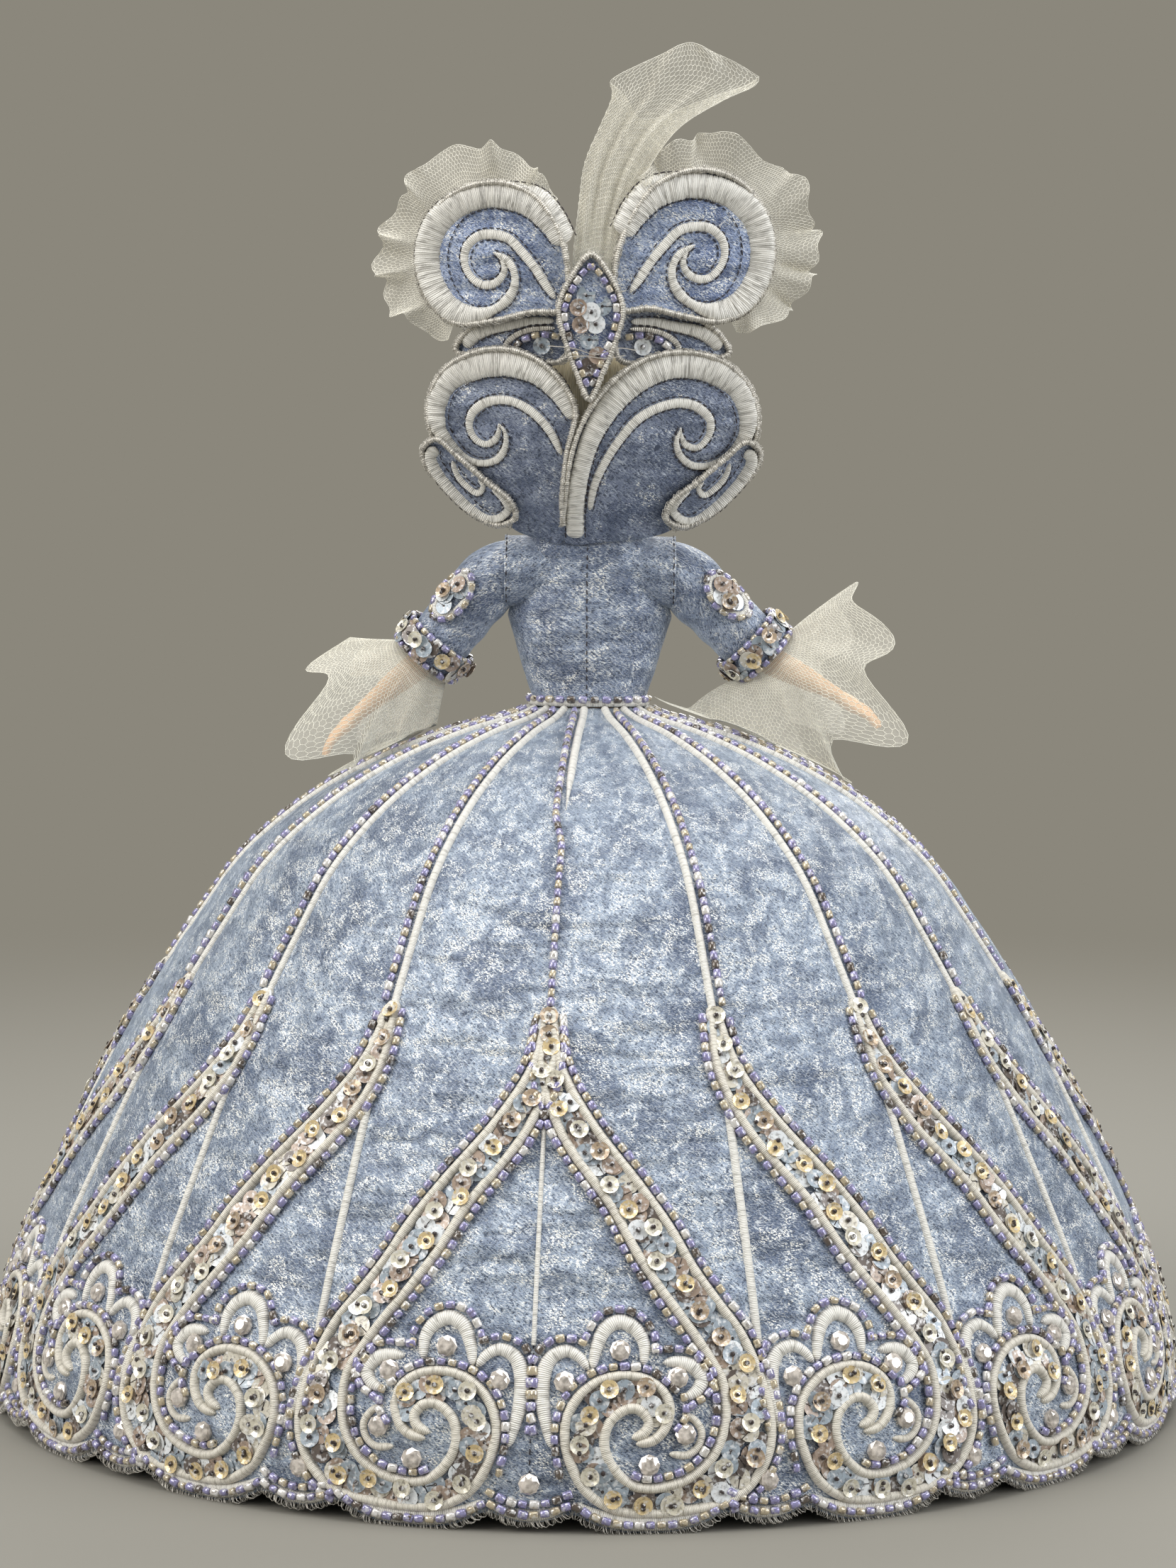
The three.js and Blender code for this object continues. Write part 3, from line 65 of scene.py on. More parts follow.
# The bell skirt, as in the CAD source
HEM_RADIUS = 166.0
WAIST_HEIGHT = 190.0
WAIST_RX = 15.8
WAIST_RY = 12.4
GORES = 18
GORE_PITCH = 360.0 / GORES
GORE_PUFF = 1.3
SKIRT_TWIST = -4.3
HEM_ROW = 8.0
HEM_NOTCH = 5.0
SMALL_SCALLOP_RISE = 2.2
SKIRT_CLOTH = 1.2
BELL_KNOTS = [
    # share of the height, share of the flare
    (1.0, 0), (0.985, 0.045), (0.963, 0.15), (0.925, 0.275), (0.868, 0.405), (0.79, 0.525),
    (0.7, 0.61), (0.553, 0.73), (0.4, 0.83), (0.25, 0.92), (0.11, 0.98), (0.0, 1.0),
]

# Trunk, sleeves and collar, as in the CAD source
SHOULDER_HEIGHT = 228.0
NECKLINE_HEIGHT = 238.0
SLEEVE_RADIUS = 8.8
SLEEVE_START = 14.4
CUFF_WIDTH = 8.0
LAYER_PITCH = 2.5
LOBE_LAYER = 2 * LAYER_PITCH + 0.25
SPINDLE_LAYER = 2 * LAYER_PITCH - 0.65
PANEL_THICKNESS = 1.0
COLLAR_DEPTHS = [
    # rise above the neckline, depth behind the middle
    (-4, 7.75), (-1.6, 7.85), (2, 10), (12, 16.5), (24, 21.5), (37, 24.5), (52, 26.5), (72, 28.5),
    (107, 31), (142, 33),
]
TRUNK_SECTIONS = [
    # height, half width, half depth, forward shift
    (185.4, 13.6, 9.7, 0.0), (190, 13.2, 9.5, 0.0), (199.88, 14.4, 10.2, 0.5),
    (209, 16.6, 12.4, 1.8), (215.08, 18, 13.8, 3), (221.92, 18.8, 11.8, 1.6),
    (229, 19.6, 9.6, 0.2), (234, 18.8, 8.6, -0.3), (238, 15.5, 7.4, -0.5), (241, 9.4, 6.4, -0.4),
]
ARM_ROUTES = {
    # outwards, forwards, and down from the shoulder
    "left": {"elbow": (46.5, 4, 25), "wrist": (64, 13, 39.5), "palm": (70, 16, 45), "tip": (77, 19.5, 52.2)},
    "right": {
        "elbow": (49.7, 4, 23.5), "wrist": (69, 12, 33.5), "palm": (75.5, 14.5, 37.4),
        "tip": (83.6, 17.5, 41.8),
    },
}
FLOUNCE_REACH = {
    # how far the net falls above the arm, beside it, below it and behind it, then how far it leans along
    # the arm above, beside and below it
    "left": (17.0, 21.0, 34.0, 42.0, 0.1, 0.9, 0.45),
    "right": (33.0, 25.0, 36.0, 36.0, -0.34, 0.6, -0.85),
}
# every other bead is lilac glass, which has the tints below this
LILAC_SHARE = 0.42
# the centre-back seam's piping is thin, or left out, between these lengths up the cloth
CORD_END = 192.0
CORD_FOOT = 128.0
# the collar's metal edging ends this far above the neckline
RIM_FOOT = 2.0


class Side(Enum):
    """The doll's two sides, as seen from the back."""

    LEFT = "left"
    RIGHT = "right"

    @property
    def sign(self) -> int:
        """The side's direction along X, -1 for the left and 1 for the right."""
        return -1 if self is Side.LEFT else 1


def smoothstep(value: Array, low: float, high: float) -> Array:
    """Ease from 0 at low to 1 at high."""
    share = np.clip((np.asarray(value, float) - low) / (high - low), 0.0, 1.0)
    return share * share * (3 - 2 * share)


def unit(vectors: Array) -> Array:
    """Scale vectors, which lie along the last axis, to length 1."""
    length = np.linalg.norm(vectors, axis=-1, keepdims=True)
    return vectors / np.maximum(length, 1e-9)


def lengths(points: Array) -> Array:
    """Distance along a line of points from its first point to each one."""
    steps = np.linalg.norm(np.diff(points, axis=0), axis=1)
    return np.concatenate([[0.0], np.cumsum(steps)])


def circle(count: int) -> Array:
    """Directions spread evenly round a turn, in radians."""
    return np.arange(count) * 2 * np.pi / count


def pairs(rows: Array, columns: Array) -> Array:
    """Every pair of two lists of values, by row and column."""
    return np.stack(np.meshgrid(rows, columns, indexing="ij"), axis=-1)


def read_table(table: Line, at: Lift) -> list[Array]:
    """A table's columns after the first, interpolated at values of the first."""
    rows = np.asarray(table, float)
    return [np.interp(at, rows[:, 0], column) for column in rows.T[1:]]


def turned(profile: Sequence[Point], turn: Array) -> Array:
    """Rings round Z in the given directions, from pairs of radius and height."""
    return np.array([[(r * math.cos(a), r * math.sin(a), z) for a in turn] for r, z in profile])


def beside(path: Array, distance: Lift) -> Array:
    """A line that runs at a distance to the left of a flat line."""
    tangent = unit(np.gradient(path, axis=0))
    return path + distance * np.stack([-tangent[:, 1], tangent[:, 0]], axis=1)


def resample(points: Array, count: int) -> Array:
    """Evenly spaced points along a line.

    Args:
        points: The line's points, one per row.
        count: How many points to return.

    Returns:
        The new points, ends included.
    """
    along = lengths(points)
    wanted = np.linspace(0.0, along[-1], count)
    return np.stack([np.interp(wanted, along, points[:, k]) for k in range(points.shape[1])], axis=1)


def spline(knots: Line, count: int, closed: bool = False, alpha: float = 0.5) -> Array:
    """A smooth line through knots, at evenly spaced points.

    Args:
        knots: Points that the line passes through.
        count: How many points to return.
        closed: Whether the line returns to its start; the last point then repeats the first.
        alpha: 0.5 for a centripetal line, 0 for a uniform one.

    Returns:
        The points, one per row.
    """
    p = np.asarray(knots, float)
    if closed:
        ends = np.vstack([p[-1:], p, p[:2]])
    else:
        ends = np.vstack([2 * p[:1] - p[1:2], p, 2 * p[-1:] - p[-2:-1]])
    share = np.linspace(0, 1, 17)[:-1, None]
    fine = []
    for i in range(len(ends) - 3):
        p0, p1, p2, p3 = ends[i : i + 4]
        spans = ((p0, p1), (p1, p2), (p2, p3))
        d0, d1, d2 = (max(float(np.linalg.norm(b - a)), 1e-6) ** alpha for a, b in spans)
        t1, t2, t3 = d0, d0 + d1, d0 + d1 + d2
        t = t1 + d1 * share
        a1 = ((t1 - t) * p0 + t * p1) / t1
        a2 = ((t2 - t) * p1 + (t - t1) * p2) / d1
        a3 = ((t3 - t) * p2 + (t - t2) * p3) / d2
        b1 = ((t2 - t) * a1 + t * a2) / t2
        b2 = ((t3 - t) * a2 + (t - t1) * a3) / (t3 - t1)
        fine.append(((t2 - t) * b1 + (t - t1) * b2) / d1)
    fine.append(p[:1] if closed else p[-1:])
    return resample(np.vstack(fine), count)


def ripple(spots: Array, wavelength: float, seed: int) -> Array:
    """A smooth irregular field, for creases.

    Args:
        spots: Places in the cloth, in millimetres, along the last axis.
        wavelength: Typical distance between two creases.
        seed: Seed of the field.

    Returns:
        Values around 0, mostly within -1 and 1.
    """
    waves = 9
    chance = np.random.default_rng(seed)
    total = np.zeros(spots.shape[:-1])
    for _ in range(waves):
        turn = chance.uniform(0, 2 * np.pi)
        rate = 2 * np.pi / (wavelength * chance.uniform(0.6, 1.7))
        phase = chance.uniform(0, 2 * np.pi)
        total += np.sin(rate * (spots[..., 0] * np.cos(turn) + spots[..., 1] * np.sin(turn)) + phase)
    return total / math.sqrt(waves)


def trunk_ring(z: Array, turn: Array, out: Lift) -> Array:
    """Points round the trunk.

    Args:
        z: Heights.
        turn: Angles from the back, in radians.
        out: Distance off the trunk.

    Returns:
        Points in millimetres.
    """
    rx, ry, y = read_table(TRUNK_SECTIONS, z)
    return np.stack([(rx + out) * np.sin(turn), y - (ry + out) * np.cos(turn), z + 0 * turn], axis=-1)


def hem_rise(angle: Array) -> Array:
    """Height of the scalloped hem.

    Args:
        angle: Angles from the back, in degrees.

    Returns:
        Heights in millimetres.
    """
    away = np.abs(np.mod(angle - SKIRT_TWIST, GORE_PITCH) - GORE_PITCH / 2)
    notch, flat = GORE_PITCH * 0.325, GORE_PITCH * 0.0625
    large = HEM_NOTCH * (np.clip(away - flat, 0, None) / (notch - flat)) ** 2
    share = (GORE_PITCH / 2 - away) / (GORE_PITCH / 2 - notch)
    small = SMALL_SCALLOP_RISE + (HEM_NOTCH - SMALL_SCALLOP_RISE) * share**2
    return np.where(away <= notch, large, small)


class Surface(Protocol):
    """A surface with two coordinates, off which a place can be lifted."""

    def place(self, spots: Array, lift: Lift = 0.0) -> Array:
        """Points in millimetres, from pairs of surface coordinates and a height above the surface."""
        ...


def outward(surface: Surface, spots: Array) -> Array:
    """Unit vectors that point off a surface at pairs of its coordinates."""
    return unit(surface.place(spots, 1.0) - surface.place(spots, 0.0))


class Bell:
    """The skirt's outside: angle from the back in degrees, and length up the cloth from the hem."""

    def __init__(self) -> None:
        """Measure the profile's length."""
        fine = spline(BELL_KNOTS, 500, alpha=0.0)
        order = np.argsort(fine[:, 0])
        self._height_knots = fine[order, 0] * WAIST_HEIGHT
        self._share_knots = fine[order, 1]
        self._z = np.linspace(0.0, WAIST_HEIGHT, 1601)
        self._arc = lengths(np.stack([self.radius(self._z), self._z], axis=1))
        self.length = float(self._arc[-1])

    def radius(self, z: Array, waist: float = WAIST_RX) -> Array:
        """Radius of the seams at heights, for a half width of the waist."""
        height = np.maximum(z, HEM_ROW)
        return waist + (HEM_RADIUS - waist) * np.interp(height, self._height_knots, self._share_knots)

    def height(self, arc: Array) -> Array:
        """Height at a length up the cloth."""
        return np.interp(arc, self._arc, self._z)

    def arc(self, z: float) -> float:
        """Length up the cloth at a height."""
        return float(np.interp(z, self._z, self._arc))

    def under(self, points: Array) -> Array:
        """Height of the cloth above or below points."""
        radii = np.hypot(points[..., 0], points[..., 1])
        return np.interp(-radii, -self.radius(self._z), self._z)

    def puff(self, angle: Array, z: Array) -> Array:
        """How far a gore stands out between its seams.

        Args:
            angle: Angles from the back, in degrees.
            z: Heights.

        Returns:
            Distances in millimetres.
        """
        share = np.mod((angle - SKIRT_TWIST) / GORE_PITCH, 1.0)
        arch = (1 - (2 * share - 1) ** 2) ** 0.8
        fade = smoothstep(WAIST_HEIGHT - z, 15, 60) * smoothstep(z, HEM_ROW, 26)
        return GORE_PUFF * arch * fade

    def place(self, spots: Array, lift: Lift = 0.0) -> Array:
        """Points of the cloth.

        Args:
            spots: Angle in degrees and length up the cloth.
            lift: Height above the cloth.

        Returns:
            Points in millimetres.
        """
        spots = np.asarray(spots, float)
        angle, arc = spots[..., 0], spots[..., 1]
        z = self.height(arc)
        slope = (self.radius(z - 0.6) - self.radius(z + 0.6)) / 1.2
        tilt = np.hypot(1.0, slope)
        out = self.puff(angle, z) + lift / tilt
        turn = np.radians(angle)
        x = (self.radius(z) + out) * np.sin(turn)
        y = -(self.radius(z, WAIST_RY) + out) * np.cos(turn)
        return np.stack([x, y, z + lift * slope / tilt], axis=-1)

    def spots(self, points: Line, middle: float, mirror: bool = False) -> Array:
        """Turn distances from an upright line into surface coordinates.

        Args:
            points: Pairs of sideways distance and length up the cloth.
            middle: The upright line's angle.
            mirror: Whether sideways counts the other way.

        Returns:
            Pairs of angle and length.
        """
        points = np.asarray(points, float)
        radius = self.radius(self.height(points[..., 1]))
        sign = -1.0 if mirror else 1.0
        angle = middle + sign * np.degrees(points[..., 0] / radius)
        return np.stack([angle, points[..., 1]], axis=-1)


class Collar:
    """The curved surface that the standing collar lies on: distance from the middle, and rise."""

    def __init__(self, back: float = 0.0) -> None:
        """Keep how far behind the collar's own surface this layer starts."""
        self._depths = spline(COLLAR_DEPTHS, 300, alpha=0.0)
        self._back = back

    def place(self, spots: Array, lift: Lift = 0.0) -> Array:
        """Points of the collar.

        Args:
            spots: Distance from the middle, and rise above the neckline.
            lift: Distance behind this layer, towards the embroidered side.

        Returns:
            Points in millimetres.
        """
        spots = np.asarray(spots, float)
        x, rise = spots[..., 0], spots[..., 1]
        bow = 0.0125 + (0.0062 - 0.0125) * np.clip(rise / 30, 0, 1)
        (depth,) = read_table(self._depths, rise)
        return np.stack([x, -depth + bow * x * x - self._back - lift, NECKLINE_HEIGHT + rise], axis=-1)


class Tube:
    """A round sleeve about a line: length along it, and turn round it in degrees, 90 on its upper side."""

    def __init__(self, points: Line, radii: Sequence[float]) -> None:
        """Carry a frame along the middle line.

        Args:
            points: Points of the middle line.
            radii: The tube's radius at each of them.
        """
        knots = np.asarray(points, float)
        self._line = spline(knots, 120)
        self._along = lengths(self._line)
        self.length = float(self._along[-1])
        nearest = [np.argmin(np.linalg.norm(self._line - k, axis=1)) for k in knots]
        self._radii = np.interp(self._along, self._along[nearest], np.asarray(radii, float))
        self._tangent = unit(np.gradient(self._line, axis=0))
        self._side = unit(np.cross(self._tangent, np.array([0.0, 0.2, 1.0])))
        self._up = unit(np.cross(self._side, self._tangent))

    def _at(self, values: Array, along: Array) -> Array:
        """Rows of values at lengths along the line."""
        return np.stack([np.interp(along, self._along, values[:, k]) for k in range(3)], axis=-1)

    def place(self, spots: Array, lift: Lift = 0.0) -> Array:
        """Points of the tube.

        Args:
            spots: Length along the middle line, and turn in degrees.
            lift: Height above the tube.

        Returns:
            Points in millimetres.
        """
        spots = np.asarray(spots, float)
        along, turn = spots[..., 0], np.radians(spots[..., 1])
        radius = np.interp(along, self._along, self._radii) + lift
        side, up = self._at(self._side, along), self._at(self._up, along)
        past = along - np.clip(along, 0.0, self.length)
        line = self._at(self._line, along) + past[..., None] * self._at(self._tangent, along)
        return line + (radius * np.cos(turn))[..., None] * side + (radius * np.sin(turn))[..., None] * up


class Patch:
    """A patch of a cylinder: sideways and lengthways distances from its middle."""

    def __init__(self, centre: Array, along: Array, out: Array, seat: float) -> None:
        """Keep the cylinder.

        Args:
            centre: A point on its axis.
            along: Direction of the axis.
            out: Direction of the patch's middle.
            seat: Its radius.
        """
        self._centre, self._along = centre, unit(along)
        self._out = unit(out - self._along * float(out @ self._along))
        self._across = np.cross(self._along, self._out)
        self._seat = seat

    def place(self, spots: Array, lift: Lift = 0.0) -> Array:
        """Points of the patch.

        Args:
            spots: Sideways and lengthways distances.
            lift: Height above the patch.

        Returns:
            Points in millimetres.
        """
        spots = np.asarray(spots, float)
        turn = spots[..., 0] / self._seat
        radius = self._seat + lift
        return (
            self._centre + spots[..., 1:] * self._along + (radius * np.cos(turn))[..., None] * self._out
            + (radius * np.sin(turn))[..., None] * self._across
        )


class MeshBuffer:
    """Collects surfaces into one mesh."""

    def __init__(self) -> None:
        """Start empty."""
        self._points: list[Array] = []
        self._uvs: list[Array] = []
        self._faces: dict[int, list[Array]] = {4: [], 3: []}
        self._tints: list[Array] = []
        self._count = 0

    def _append(self, points: Array, uv: Array | None, tint: float) -> int:
        """Add vertices.

        Args:
            points: The vertices in millimetres.
            uv: Their place in the cloth in millimetres, or None.
            tint: Their tint attribute.

        Returns:
            The index of the first one.
        """
        start = self._count
        self._points.append(points)
        self._uvs.append(np.zeros((len(points), 2)) if uv is None else uv)
        self._tints.append(np.full(len(points), tint))
        self._count += len(points)
        return start

    def grid(
        self,
        points: Array,
        uv: Array | None = None,
        wrap: bool = False,
        flip: bool = False,
        keep: Array | None = None,
        tint: float = 0.0,
    ) -> None:
        """Add a grid of quads.

        Args:
            points: Rows and columns of points in millimetres.
            uv: Their place in the cloth, or None.
            wrap: Whether the last column joins the first.
            flip: Whether the faces are turned over.
            keep: Which quads to keep, or None for all.
            tint: The tint attribute.
        """
        rows, columns = points.shape[:2]
        start = self._append(points.reshape(-1, 3), None if uv is None else uv.reshape(-1, 2), tint)
        index = start + np.arange(rows * columns).reshape(rows, columns)
        if wrap:
            index = np.hstack([index, index[:, :1]])
        a, b, c, d = index[:-1, :-1], index[:-1, 1:], index[1:, 1:], index[1:, :-1]
        quads = np.stack([a, d, c, b] if flip else [a, b, c, d], axis=-1)
        self._faces[4].append(quads.reshape(-1, 4) if keep is None else quads[keep])

    def fan(self, ring: Array, middle: Array | None = None, flip: bool = False, tint: float = 0.0) -> None:
        """Close a ring of points by a fan.

        Args:
            ring: The points of the ring in millimetres.
            middle: The fan's middle, or None for the ring's own.
            flip: Whether the faces are turned over.
            tint: The tint attribute.
        """
        tip = ring.mean(axis=0) if middle is None else middle
        start = self._append(np.vstack([ring, tip[None]]), None, tint)
        i = start + np.arange(len(ring))
        j = start + (np.arange(len(ring)) + 1) % len(ring)
        m = np.full(len(ring), start + len(ring))
        self._faces[3].append(np.stack([m, j, i] if flip else [m, i, j], axis=-1))

    def triangles(self, points: Array, faces: Array) -> None:
        """Add triangles, from vertices in millimetres and index triples."""
        self._faces[3].append(self._append(points, None, 0.0) + faces)

    def mesh(self, name: str, smooth: bool = True) -> Mesh:
        """Make the mesh.

        Args:
            name: The mesh's name.
            smooth: Whether it is shaded smooth.

        Returns:
            The mesh, in metres.
        """
        data = bpy.data.meshes.new(name)
        points = np.vstack(self._points) * MM
        faces = [f for blocks in self._faces.values() for f in blocks if len(f)]
        sizes = np.concatenate([np.full(len(f), f.shape[1]) for f in faces])
        corners = np.concatenate([f.ravel() for f in faces]).astype(np.int32)
        data.vertices.add(len(points))
        data.vertices.foreach_set("co", points.astype(np.float32).ravel())
        data.loops.add(len(corners))
        data.loops.foreach_set("vertex_index", corners)
        data.polygons.add(len(sizes))
        data.polygons.foreach_set("loop_start", np.concatenate([[0], np.cumsum(sizes)[:-1]]).astype(np.int32))
        data.polygons.foreach_set("use_smooth", np.full(len(sizes), smooth))
        layer = data.uv_layers.new(name="Cloth")
        layer.data.foreach_set("uv", np.vstack(self._uvs)[corners].astype(np.float32).ravel())
        set_values(data, "tint", np.concatenate(self._tints))
        data.update(calc_edges=True)
        data.validate()
        return data

    def build(self, name: str, material: Material, body: str, slot: str) -> Object:
        """Make the collected surfaces a piece, with the arguments of piece()."""
        return piece(name, self.mesh(name), material, body)


def set_values(data: Mesh, name: str, values: Array) -> None:
    """Store one number per vertex as a named attribute."""
    data.attributes.new(name, "FLOAT", "POINT").data.foreach_set("value", values.astype(np.float32))


def helper(name: str, data: bpy.types.ID) -> Object:
    """Put an object in the scene.

    Args:
        name: Its name.
        data: Its mesh, curve, light or camera.

    Returns:
        The object.
    """
    obj = bpy.data.objects.new(name, data)
    bpy.context.scene.collection.objects.link(obj)
    return obj


def piece(name: str, data: Mesh, material: Material, body: str) -> Object:
    """Put a mesh in the scene as a piece of the doll.

    Args:
        name: The piece's name.
        data: Its mesh.
        material: Its material.
        body: The CAD body that it rides on.

    Returns:
        The object.
    """
    obj = helper(name, data)
    data.materials.clear()
    data.materials.append(material)
    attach(obj, body)
    LOG.info("%s: %d faces", name, len(data.polygons))
    return obj


def baked(obj: Object) -> Mesh:
    """A plain mesh of an object as its modifiers leave it."""
    bpy.context.view_layer.update()
    return bpy.data.meshes.new_from_object(obj.evaluated_get(bpy.context.evaluated_depsgraph_get()))


def thicken(obj: Object, thickness: float) -> None:
    """Give a sheet of cloth its thickness, inwards.

    Args:
        obj: The object, with a plain mesh.
        thickness: The thickness in millimetres.
    """
    modifier = obj.modifiers.new("thickness", "SOLIDIFY")
    modifier.thickness = thickness * MM
    modifier.offset = -1.0
    modifier.use_rim = True
    solid = baked(obj)
    obj.modifiers.remove(modifier)
    obj.data = solid


# Cross-sections of a padded strip, in half widths and heights
ROUND = np.array([
    (-1.0, -0.35), (-0.97, 0.25), (-0.75, 0.66), (-0.4, 0.92), (0.0, 1.0), (0.4, 0.92), (0.75, 0.66),
    (0.97, 0.25), (1.0, -0.35),
])
SLIM = np.array([(-1.0, -0.3), (-0.8, 0.6), (0.0, 1.0), (0.8, 0.6), (1.0, -0.3)])


def strip(
    buffer: MeshBuffer,
    surface: Surface,
    path: Array,
    half: Lift,
    height: Lift,
    lift: float = 0.0,
    profile: Array = ROUND,
    taper: float = 0.0,
) -> None:
    """Lay a padded strip along a path on a surface.

    Args:
        buffer: The mesh to add to.
        surface: The surface.
        path: Pairs of surface coordinates along the strip.
        half: Half its width.
        height: Its height in the middle.
        lift: Height of its edge above the surface.
        profile: Its cross-section, in half widths and heights.
        taper: Length over which each end comes to a point; 0 for blunt ends.
    """
    base = surface.place(path, lift)
    out = outward(surface, path)
    across = unit(np.cross(out, unit(np.gradient(base, axis=0))))
    along = lengths(base)
    half = np.broadcast_to(np.asarray(half, float), (len(base),)).copy()
    height = np.broadcast_to(np.asarray(height, float), (len(base),)).copy()
    if taper > 0:
        ends = np.minimum(along, along[-1] - along) / taper
        ease = np.sqrt(np.clip(1 - (1 - np.clip(ends, 0, 1)) ** 2, 0.02, 1))
        half *= ease
        height *= 0.35 + 0.65 * ease
    sideways = half[:, None] * profile[None, :, 0]
    upwards = height[:, None] * profile[None, :, 1]
    points = base[:, None] + across[:, None] * sideways[..., None] + out[:, None] * upwards[..., None]
    uv = np.stack([np.broadcast_to(along[:, None], sideways.shape), sideways], axis=-1)
    buffer.grid(points, uv, flip=True)
    buffer.fan(points[0])
    buffer.fan(points[-1], flip=True)


def srgb(red: float, green: float, blue: float) -> Point:
    """The linear colour, with alpha 1, of 8-bit display values."""
    shares = [v / 255 for v in (red, green, blue)]
    return (*[v / 12.92 if v <= 0.04045 else ((v + 0.055) / 1.055) ** 2.4 for v in shares], 1.0)


def darker(colour: Point, share: float) -> Point:
    """A colour times a share, with alpha 1."""
    return tuple(c * share for c in colour[:3]) + (1.0,)


class Tree:
    """A node tree under construction."""

    prefix = "ShaderNode"

    def __init__(self, tree: bpy.types.NodeTree) -> None:
        """Keep the tree."""
        self.tree = tree

    def put(self, socket: Socket, value: object) -> None:
        """Give an input a constant or a link.

        Args:
            socket: The input.
            value: A constant or an output socket.
        """
        if isinstance(value, Socket):
            self.tree.links.new(value, socket)
        else:
            socket.default_value = value

    def add(
        self, kind: str, inputs: dict[str | int, object] | None = None, **settings: object
    ) -> bpy.types.Node:
        """Add a node.

        Args:
            kind: The node's type, with or without this tree's prefix.
            inputs: Its inputs, by name or number.
            settings: Its settings.

        Returns:
            The node.
        """
        node = self.tree.nodes.new(kind if "Node" in kind else self.prefix + kind)
        for key, value in settings.items():
            setattr(node, key, value)
        for key, value in (inputs or {}).items():
            self.put(node.inputs[key], value)
        return node

    def math(self, operation: str, *values: object) -> Socket:
        """The result of a sum of one to three values."""
        return self.add("ShaderNodeMath", dict(enumerate(values)), operation=operation).outputs[0]


class Shader(Tree):
    """A material under construction."""

    def __init__(self, name: str, **surface: object) -> None:
        """Start from a plain surface.

        Args:
            name: The material's name.
            surface: Inputs of its surface shader, by name with _ for a space.
        """
        self.material = bpy.data.materials.new(name)
        self.material.use_nodes = True
        super().__init__(self.material.node_tree)
        self.surface = self.tree.nodes["Principled BSDF"]
        self.set(**surface)

    def set(self, **surface: object) -> None:
        """Set inputs of the surface shader, by name with _ for a space."""
        for key, value in surface.items():
            self.put(self.surface.inputs[key.replace("_", " ")], value)

    def cloth(self) -> Socket:
        """The place in the cloth, in millimetres."""
        return self.add("UVMap", uv_map="Cloth").outputs[0]

    def inside(self) -> Socket:
        """The place in the piece, in metres."""
        return self.add("TexCoord").outputs["Object"]

    def attribute(self, name: str) -> Socket:
        """The value of a named attribute."""
        return self.add("Attribute", attribute_name=name).outputs["Fac"]

    def noise(self, where: Socket, scale: float, detail: float = 2.0, distortion: float = 0.0) -> Socket:
        """Noise from 0 to 1, with its own scale, detail and distortion, at places."""
        inputs = {"Vector": where, "Scale": scale, "Detail": detail, "Distortion": distortion}
        return self.add("TexNoise", inputs).outputs[0]

    def scaled(self, where: Socket, x: float, y: float, turn: float = 0.0) -> Socket:
        """Places turned by radians and stretched along two axes, so that a pattern's grain runs one way."""
        spun = self.add("VectorRotate", {"Vector": where, "Angle": turn}, rotation_type="Z_AXIS").outputs[0]
        return self.add("VectorMath", {0: spun, 1: (x, y, 1.0)}, operation="MULTIPLY").outputs[0]

    def bands(self, where: Socket, pitch: float, direction: str, wobble: float = 0.0) -> Socket:
        """Fine parallel threads, from 0 to 1.

        Args:
            where: The places to read them at.
            pitch: Distance between two threads, in the places' unit.
            direction: Axis that the threads follow one another along.
            wobble: How far they wander.

        Returns:
            The value.
        """
        waves_per_unit = 0.314
        inputs = {
            "Vector": where, "Scale": waves_per_unit / pitch, "Distortion": wobble, "Detail": 1.0,
            "Detail Scale": 0.6,
        }
        return self.add("TexWave", inputs, wave_type="BANDS", bands_direction=direction).outputs[1]

    def steps(self, value: Socket, stops: Sequence[tuple[float, Point]]) -> Socket:
        """Colours in steps.

        Args:
            value: The value that picks one.
            stops: Pairs of a value and the colour from there on.

        Returns:
            The colour of the last stop that the value has reached.
        """
        node = self.add("ValToRGB", {0: value})
        ramp = node.color_ramp
        ramp.interpolation = "CONSTANT"
        while len(ramp.elements) < len(stops):
            ramp.elements.new(0.5)
        for element, (place, colour) in zip(ramp.elements, stops):
            element.position = place
            element.color = colour
        return node.outputs[0]

    def step(self, value: Socket, low: float, high: float, start: float = 0.0, end: float = 1.0) -> Socket:
        """A value mapped from low and high to start and end, and no further."""
        return self.add("MapRange", {0: value, 1: low, 2: high, 3: start, 4: end}).outputs[0]

    def mix(self, share: object, a: object, b: object) -> Socket:
        """The first colour with a share of the second."""
        return self.add("Mix", {0: share, 6: a, 7: b}, data_type="RGBA", blend_type="MIX").outputs[2]

    def bump(self, height: Socket, distance: float, strength: float, before: Socket | None = None) -> Socket:
        """Relief.

        Args:
            height: The relief's height, 0 to 1.
            distance: Its depth in millimetres.
            strength: Its strength.
            before: Relief that it adds to.

        Returns:
            The normal.
        """
        inputs: dict[str | int, object] = {"Strength": strength, "Distance": distance * MM, "Height": height}
        if before is not None:
            inputs["Normal"] = before
        return self.add("Bump", inputs).outputs[0]


# white of the painted highlights on beads and sequins
PAINTED_HIGHLIGHT = (1.0, 1.0, 1.0, 1.0)
# near-white of silver flecks, partly metal thread and partly painted sparkle
SILVER_FLECK_AND_SPARKLE = srgb(255, 253, 246)
HOLE_BROWN = srgb(54, 46, 46)
# dark of the painted reflections on beads and sequins
PAINTED_DARK_REFLECTION = srgb(92, 82, 76)


